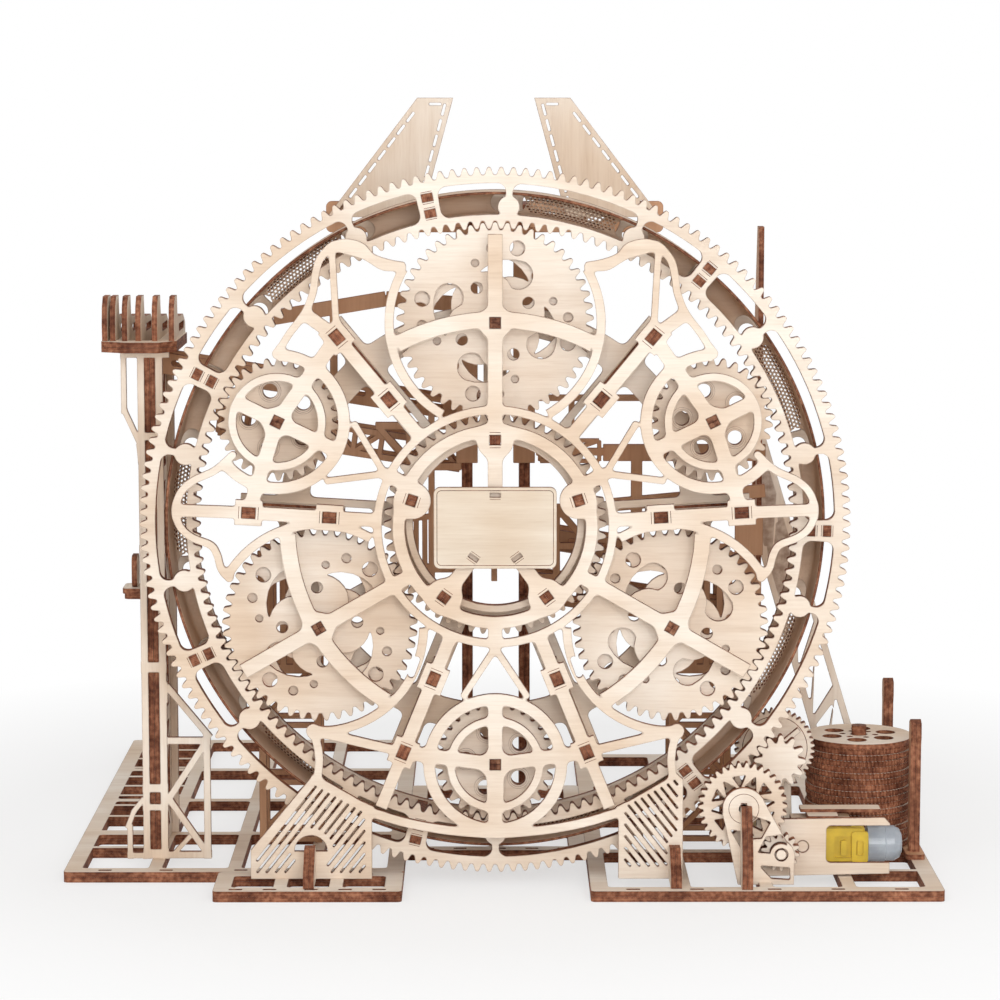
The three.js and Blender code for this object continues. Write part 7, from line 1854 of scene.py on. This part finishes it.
# The motor. A form is left, right, two heights over the gearbox's bottom, and the corner
PLATE_OUTLINE = [(134.0, 5.6), (203.6, 7.0), (203.6, 33.6), (200.6, 36.8), (134.0, 35.8)]
PLATE_WINDOW, PLATE_SHAFT_HOLE_RADIUS = (170.4, 211.6, 12.8, 32.6, 2.6), 3.2
SCREW_X, SCREW_RISE, SCREW_RADIUS, SCREW_SUNK, SCREW_SHORTER = 158.2, 1.2, 3.0, 0.5, 0.6
SCREW_HOLE_RADIUS, SCREW_RECESS_RADIUS = 3.3, 4.0
GEARBOX_RIGHT, GEARBOX_HEIGHT = 193.0, 22.4
SHELL_FORM, RIM_FORM = (134.0, 191.0, 0.0, 22.4, 2.4), (135.0, 190.0, 1.0, 21.4, 2.0)
RIM_HOLE, RIB_FORM = (175.0, 187.0, 5.5, 17.0, 1.0), (178.4, 181.2, 7.0, 15.0, 0.8)
CLASP_FORM, CLASP_HOLE = (184.0, 192.6, 3.6, 19.6, 1.2), (186.4, 190.0, 7.0, 15.0, 1.0)
SHELL_GAP, RIM_DEPTH, SHELL_SHORTER = 0.1, 1.5, 1.7
RIB_PROUD, RIB_DEEP, CLASP_PROUD, CLASP_DEEP = 0.6, 2.4, 1.0, 2.6
CAP_PROFILE = [
    (0.2, 0.0), (10.0, 0.0), (10.0, 9.0), (9.3, 9.4), (9.3, 14.0), (7.6, 17.0), (5.6, 18.0), (0.2, 18.0),
]
CAP_SIDES = 40
CLAMP_LAYERS = [((153, 184), 0.0, 0.0, 1.5), ((161, 177), -0.5, -4.0, 1.0), ((158, 200), 9.0, 1.0, 1.0)]
CLAMP_HOLE, STRAP_DEPTH = ((162, 168), (6.0, 9.0)), 1.6


def motor():
    mz = motor_centre[1]
    bottom = mz - GEARBOX_HEIGHT / 2
    screw = (SCREW_X, mz + SCREW_RISE)

    def form(left, right, low, high, corner):
        return slab(left, right, bottom + low, bottom + high, corner)

    holes = [
        slab(*PLATE_WINDOW), disc(motor_centre, PLATE_SHAFT_HOLE_RADIUS), disc(screw, SCREW_HOLE_RADIUS),
    ]
    piece = Piece("motor_plate_window")
    piece.sheet(Plan([polygon(PLATE_OUTLINE)], holes, PLAN_STEP), MOTOR_PLATE_FRONT_Y)
    head = Plan([disc(screw, SCREW_RADIUS)], step=FINE_STEP)
    piece.sheet(head, MOTOR_PLATE_FRONT_Y + SCREW_SUNK, PLY - SCREW_SHORTER, plies=1)
    piece.done("frame", SHEET_X, ["motor_plate"])

    y0, y1 = GEARBOX_FRONT_Y + SHELL_GAP, GEARBOX_FRONT_Y + GEARBOX_DEPTH
    piece = Piece("motor_gearbox_shell")
    shell = Plan([form(*SHELL_FORM)], step=PLAN_STEP)
    rim = Plan([form(*RIM_FORM)], [form(*RIM_HOLE), disc(screw, SCREW_RECESS_RADIUS)], FINE_STEP)
    rib = Plan([form(*RIB_FORM)], step=FINE_STEP)
    clasp = Plan([form(*CLASP_FORM)], [form(*CLASP_HOLE)], FINE_STEP)
    layers = [
        (shell, y0 + RIM_DEPTH, GEARBOX_DEPTH - SHELL_SHORTER), (rim, y0, RIM_DEPTH),
        (rib, y0 - RIB_PROUD, RIB_DEEP), (clasp, y0 - CLASP_PROUD, CLASP_DEEP),
    ]
    for plan, front, depth in layers:
        piece.sheet(plan, front, depth, plies=1)
    piece.done("frame", (yellow_plastic, yellow_plastic), ["motor_gearbox"])

    piece = Piece("motor_cap_clear")
    profile = [(radius, GEARBOX_RIGHT + along) for radius, along in CAP_PROFILE[::-1]]
    piece.turned(profile, (0, GEARBOX_FRONT_Y + (GEARBOX_DEPTH + PLY) / 2, mz), CAP_SIDES)
    piece.done("frame", (clear_plastic, clear_plastic), ["motor_cap"])

    top = bottom + GEARBOX_HEIGHT
    heights = [(top + PLY, PLY - THIN_SEAM), (top + DOUBLE_PLY, PLY - THIN_SEAM),
               (top + DOUBLE_PLY + STRAP_DEPTH, STRAP_DEPTH)]
    hole = slab(*CLAMP_HOLE[0], *[y0 + place for place in CLAMP_HOLE[1]])
    piece = Piece("motor_clamp_bridge")
    for (x_range, front, back, corner), (height, depth) in zip(CLAMP_LAYERS, heights):
        cuts = [] if front else [hole]
        layer = slab(*x_range, GEARBOX_FRONT_Y + front, y1 + back, corner)
        piece.sheet(Plan([layer], cuts, PLAN_STEP), height, depth, "flat")
    piece.done("frame", SHEET_X, ["motor_clamp"])


TAKEOFF_TEETH, TAKEOFF_MODULE = 40, 1.02
TAKEOFF_FRONT_Y = GEAR_BACK_Y + 27.4
TAKEOFF_BRACKET_Y = TAKEOFF_FRONT_Y + DOUBLE_PLY + 4
TAKEOFF_LINE_RADII, TAKEOFF_LINE_STEP = (17.4, 17.0), 0.2
SPOKE_PLACES, SPOKE_REACH, TAKEOFF_SPOKE_WIDTH, SPOKE_DEPTH = (40, 130), 16.5, 2.6, 3.2
SPOKE_HOLE_RADIUS, TAKEOFF_HOLE_FIT = 6.1, 0.4
TAKEOFF_HEAD = [(8.8, 5.5), (0.0, 11.0), (-8.8, 5.5)]
TAKEOFF_HALF_WIDTH, TAKEOFF_WINDOW_ZS = 11.0, (12, 24, 36)
TAKEOFF_WINDOWS = [
    ([(-5.6, 0.0), (5.6, 0.0), (5.2, 8.0)], 0.5), ([(-5.6, 2.6), (3.0, 9.4), (-5.2, 9.4)], 0.4),
]


def takeoff():
    phase = outside_ring_phase(TAKEOFF_ANGLE, PINION_TEETH)
    piece = Piece("takeoff_wheel_stack")
    pinion = Plan([gear(PINION_TEETH, TRAIN_MODULE, takeoff_centre, phase)], step=FINE_STEP)
    piece.sheet(pinion, GEAR_FRONT_Y, DOUBLE_PLY)
    piece.rod(takeoff_centre, SPACER_RADIUS, GEAR_BACK_Y, TAKEOFF_FRONT_Y)
    wheel = Plan([gear(TAKEOFF_TEETH, TAKEOFF_MODULE, takeoff_centre, phase)], [], TOOTH_STEP)
    piece.sheet(wheel, TAKEOFF_FRONT_Y, DOUBLE_PLY)
    outside, inside = [disc(takeoff_centre, radius) for radius in TAKEOFF_LINE_RADII]
    piece.take_line(Plan([outside], [inside], TAKEOFF_LINE_STEP), TAKEOFF_FRONT_Y)
    for degrees in SPOKE_PLACES:
        spoke = radial(degrees, -SPOKE_REACH, SPOKE_REACH, TAKEOFF_SPOKE_WIDTH, takeoff_centre)
        plan = Plan([spoke], [disc(takeoff_centre, SPOKE_HOLE_RADIUS)], FINE_STEP)
        piece.sheet(plan, TAKEOFF_FRONT_Y - SPOKE_DEPTH, SPOKE_DEPTH)
    back = TAKEOFF_BRACKET_Y + DOUBLE_PLY
    piece.rod(takeoff_centre, SHAFT_RADIUS, TAKEOFF_FRONT_Y + DOUBLE_PLY, back)
    piece.done("takeoff", SHEET_X, ["takeoff_wheel"])

    cx, half = takeoff_centre[0], TAKEOFF_HALF_WIDTH
    foot = [(cx - half, DOUBLE_PLY), (cx + half, DOUBLE_PLY)]
    outline = polygon(foot + around(takeoff_centre, TAKEOFF_HEAD))
    cuts = [disc(takeoff_centre, SHAFT_RADIUS + TAKEOFF_HOLE_FIT)]
    for z in TAKEOFF_WINDOW_ZS:
        cuts += [polygon(around((cx, z), offsets), corner) for offsets, corner in TAKEOFF_WINDOWS]
    piece = Piece("takeoff_bracket_plate")
    piece.sheet(Plan([outline], cuts, PLAN_STEP), TAKEOFF_BRACKET_Y)
    piece.done("frame", SHEET_Z, ["takeoff_bracket"])


DRUM = (194.6, -93.0)
DRUM_RADIUS, DRUM_TOP_Z, DRUM_BOTTOM_Z = 28.7, 67.0, 8.7
DRUM_TEETH, DRUM_LAYERS = 84, 17
DRUM_TOOTH_DEPTH, DRUM_TOOTH_STEEPNESS, DRUM_LAYER_TURN = 1.1, 2.2, 1.9
DRUM_SINKS, DRUM_RING_WIDTH, DRUM_LAYER_DROP, DRUM_LAYER_THINNER = (0.1, 0.9, 0.3), 5.0, 0.25, 0.55
DRUM_WALL_INSETS, DRUM_BOTTOM_INSET = (1.6, 4.5), 1.0
# Rings of six round holes in the lid: orbit, turn and radius
DRUM_HOLES = [(16.0, 20, 5.2), (8.8, 50, 1.6)]
SPINDLE_RADIUS, SPINDLE_TOP_Z, SPINDLE_PLAY = 4.0, 72.0, 0.5
SPINDLE_FOOT_RADIUS, SPINDLE_SLOT_X, SPINDLE_SLOT_Y = 14.0, (-9.0, -6.4), (-3.0, 3.0)


def toothed_disc(centre, radius, teeth, depth, turn):
    def distance(x, y):
        angle = np.arctan2(y - centre[1], x - centre[0])
        wave = np.clip(np.sin(angle * teeth + turn) * DRUM_TOOTH_STEEPNESS, -1, 1)
        return np.hypot(x - centre[0], y - centre[1]) - radius + depth / 2 - wave * depth / 2

    return distance, (centre[0] - radius, centre[0] + radius, centre[1] - radius, centre[1] + radius)


def drum():
    piece = Piece("drum_rings")
    bore = disc(DRUM, SPINDLE_RADIUS + SPINDLE_PLAY)
    height = DRUM_TOP_Z - PLY - DRUM_BOTTOM_Z
    pitch = height / DRUM_LAYERS
    hollow = disc(DRUM, DRUM_RADIUS - DRUM_RING_WIDTH)
    for layer in range(DRUM_LAYERS):
        radius = DRUM_RADIUS - DRUM_SINKS[layer % 3]
        turn = layer * DRUM_LAYER_TURN
        ring = Plan([toothed_disc(DRUM, radius, DRUM_TEETH, DRUM_TOOTH_DEPTH, turn)], [hollow], FINE_STEP)
        top = DRUM_BOTTOM_Z + pitch * (layer + 1) - DRUM_LAYER_DROP
        piece.sheet(ring, top, pitch - DRUM_LAYER_THINNER, "flat")
    outside, inside = [disc(DRUM, DRUM_RADIUS - inset) for inset in DRUM_WALL_INSETS]
    piece.sheet(Plan([outside], [inside], MID_STEP), DRUM_TOP_Z - PLY, height, "flat", plies=17)
    holes = []
    for orbit, turn, radius in DRUM_HOLES:
        holes += [disc(polar(orbit, 60 * n + turn, DRUM), radius) for n in range(6)]
    piece.sheet(Plan([disc(DRUM, DRUM_RADIUS)], holes + [bore], PLAN_STEP), DRUM_TOP_Z, PLY, "flat")
    floor = Plan([disc(DRUM, DRUM_RADIUS - DRUM_BOTTOM_INSET)], [bore])
    piece.sheet(floor, DRUM_BOTTOM_Z + PLY, PLY, "flat")
    piece.done("drum", (birch_x, edge_drum), ["drum"])

    piece = Piece("drum_spindle_foot")
    foot_top = DOUBLE_PLY + PLY
    slot = [DRUM[0] + x for x in SPINDLE_SLOT_X] + [DRUM[1] + y for y in SPINDLE_SLOT_Y]
    piece.sheet(Plan([disc(DRUM, SPINDLE_FOOT_RADIUS)], [slab(*slot)], MID_STEP), foot_top, PLY, "flat")
    pin = Plan([disc(DRUM, SPINDLE_RADIUS)], step=PLAN_STEP)
    piece.sheet(pin, SPINDLE_TOP_Z, SPINDLE_TOP_Z - foot_top, "flat", plies=20)
    piece.done("frame", (edge, edge), ["drum_spindle"])


drive_gear()
motor_pinion()
drive_bracket()
motor()
takeoff()
drum()

# Floor, light and camera
CAMERA_PLACE = (-5.1, -1845.0, 419.0)
CAMERA_PITCH_DEGREES = 7.3
CAMERA_YAW_DEGREES = 0.19
CAMERA_LENS = 118.8
SENSOR_WIDTH = 36.0
CLIP_NEAR, CLIP_FAR = 0.05, 50.0
WORLD_STRENGTH, WORLD_COLOUR = 0.4, (1.0, 0.985, 0.97, 1.0)
FLOOR_REACH, FLOOR_COLOUR, FLOOR_ROUGHNESS, FLOOR_SHINE = 6.0, (0.97, 0.97, 0.97, 1.0), 0.9, 0.1
LAMP_AIM = (0.0, -0.1, 0.2)
FLOOR_SHADOW_REACH = (0.28, 0.52)
FLOOR_WHITE_SHARE = 0.6
LAMPS = [
    ("key", (-0.9, -1.6, 1.7), 1.2, 8.4), ("front", (0.25, -2.3, 0.75), 1.1, 25.0),
    ("fill", (1.4, -1.2, 1.0), 1.4, 4.6), ("top", (0.2, 0.6, 2.0), 1.6, 7.4),
]


def seen_rays(tree):
    """One for a ray that the camera, a glossy face or a clear piece sends."""
    paths = tree.nodes.new("ShaderNodeLightPath")
    seen = paths.outputs["Is Camera Ray"]
    for kind in ("Is Glossy Ray", "Is Transmission Ray"):
        both = {0: seen, 1: paths.outputs[kind]}
        seen = added(tree, "ShaderNodeMath", both, operation="MAXIMUM").outputs[0]
    return seen


def studio():
    scene = bpy.context.scene
    scene.view_settings.view_transform = "Standard"
    world = bpy.data.worlds.new("studio")
    scene.world = world
    world.use_nodes = True
    tree = world.node_tree
    tree.nodes.clear()
    output = tree.nodes.new("ShaderNodeOutputWorld")
    seen = seen_rays(tree)
    lit = added(tree, "ShaderNodeBackground", {"Color": WORLD_COLOUR, "Strength": WORLD_STRENGTH}).outputs[0]
    plain = added(tree, "ShaderNodeBackground", {"Color": (1, 1, 1, 1), "Strength": 1.0}).outputs[0]
    mix = added(tree, "ShaderNodeMixShader", {0: seen, 1: lit, 2: plain}).outputs[0]
    tree.links.new(mix, output.inputs[0])

    mesh = bpy.data.meshes.new("floor")
    corners = [(a * FLOOR_REACH, b * FLOOR_REACH, 0) for a, b in ((-1, -1), (1, -1), (1, 1), (-1, 1))]
    mesh.from_pydata(corners, [], [(0, 1, 2, 3)])
    floor = bpy.data.objects.new("floor", mesh)
    scene.collection.objects.link(floor)
    paint = bpy.data.materials.new("floor_paint")
    tree, shader = nodes_of(paint)
    shader.inputs["Base Color"].default_value = FLOOR_COLOUR
    shader.inputs["Roughness"].default_value = FLOOR_ROUGHNESS
    shader.inputs["Specular IOR Level"].default_value = FLOOR_SHINE
    seen = seen_rays(tree)
    place = added(tree, "ShaderNodeNewGeometry").outputs["Position"]
    away = added(tree, "ShaderNodeVectorMath", {0: place}, operation="LENGTH").outputs["Value"]
    near, far = FLOOR_SHADOW_REACH
    fade = {0: away, 1: near, 2: far, 3: FLOOR_WHITE_SHARE, 4: 1.0}
    reach = added(tree, "ShaderNodeMapRange", fade).outputs[0]
    share = added(tree, "ShaderNodeMath", {0: seen, 1: reach}, operation="MULTIPLY").outputs[0]
    white = added(tree, "ShaderNodeEmission", {"Strength": 1.0}).outputs[0]
    mix = added(tree, "ShaderNodeMixShader", {0: share, 1: shader.outputs[0], 2: white}).outputs[0]
    output = next(node for node in tree.nodes if node.type == "OUTPUT_MATERIAL")
    tree.links.new(mix, output.inputs[0])
    mesh.materials.append(paint)

    for name, place, size, power in LAMPS:
        light = bpy.data.lights.new(name, "AREA")
        light.size = size
        light.energy = power
        lamp = bpy.data.objects.new(name, light)
        lamp.location = place
        lamp.rotation_mode = "QUATERNION"
        lamp.rotation_quaternion = (Vector(LAMP_AIM) - Vector(place)).to_track_quat("-Z", "Y")
        scene.collection.objects.link(lamp)

    data = bpy.data.cameras.new("camera")
    data.lens = CAMERA_LENS
    data.sensor_width = SENSOR_WIDTH
    data.clip_start, data.clip_end = CLIP_NEAR, CLIP_FAR
    camera = bpy.data.objects.new("camera", data)
    camera.location = [value * MM for value in CAMERA_PLACE]
    camera.rotation_euler = (math.radians(90 - CAMERA_PITCH_DEGREES), 0, math.radians(-CAMERA_YAW_DEGREES))
    scene.collection.objects.link(camera)
    scene.camera = camera


studio()
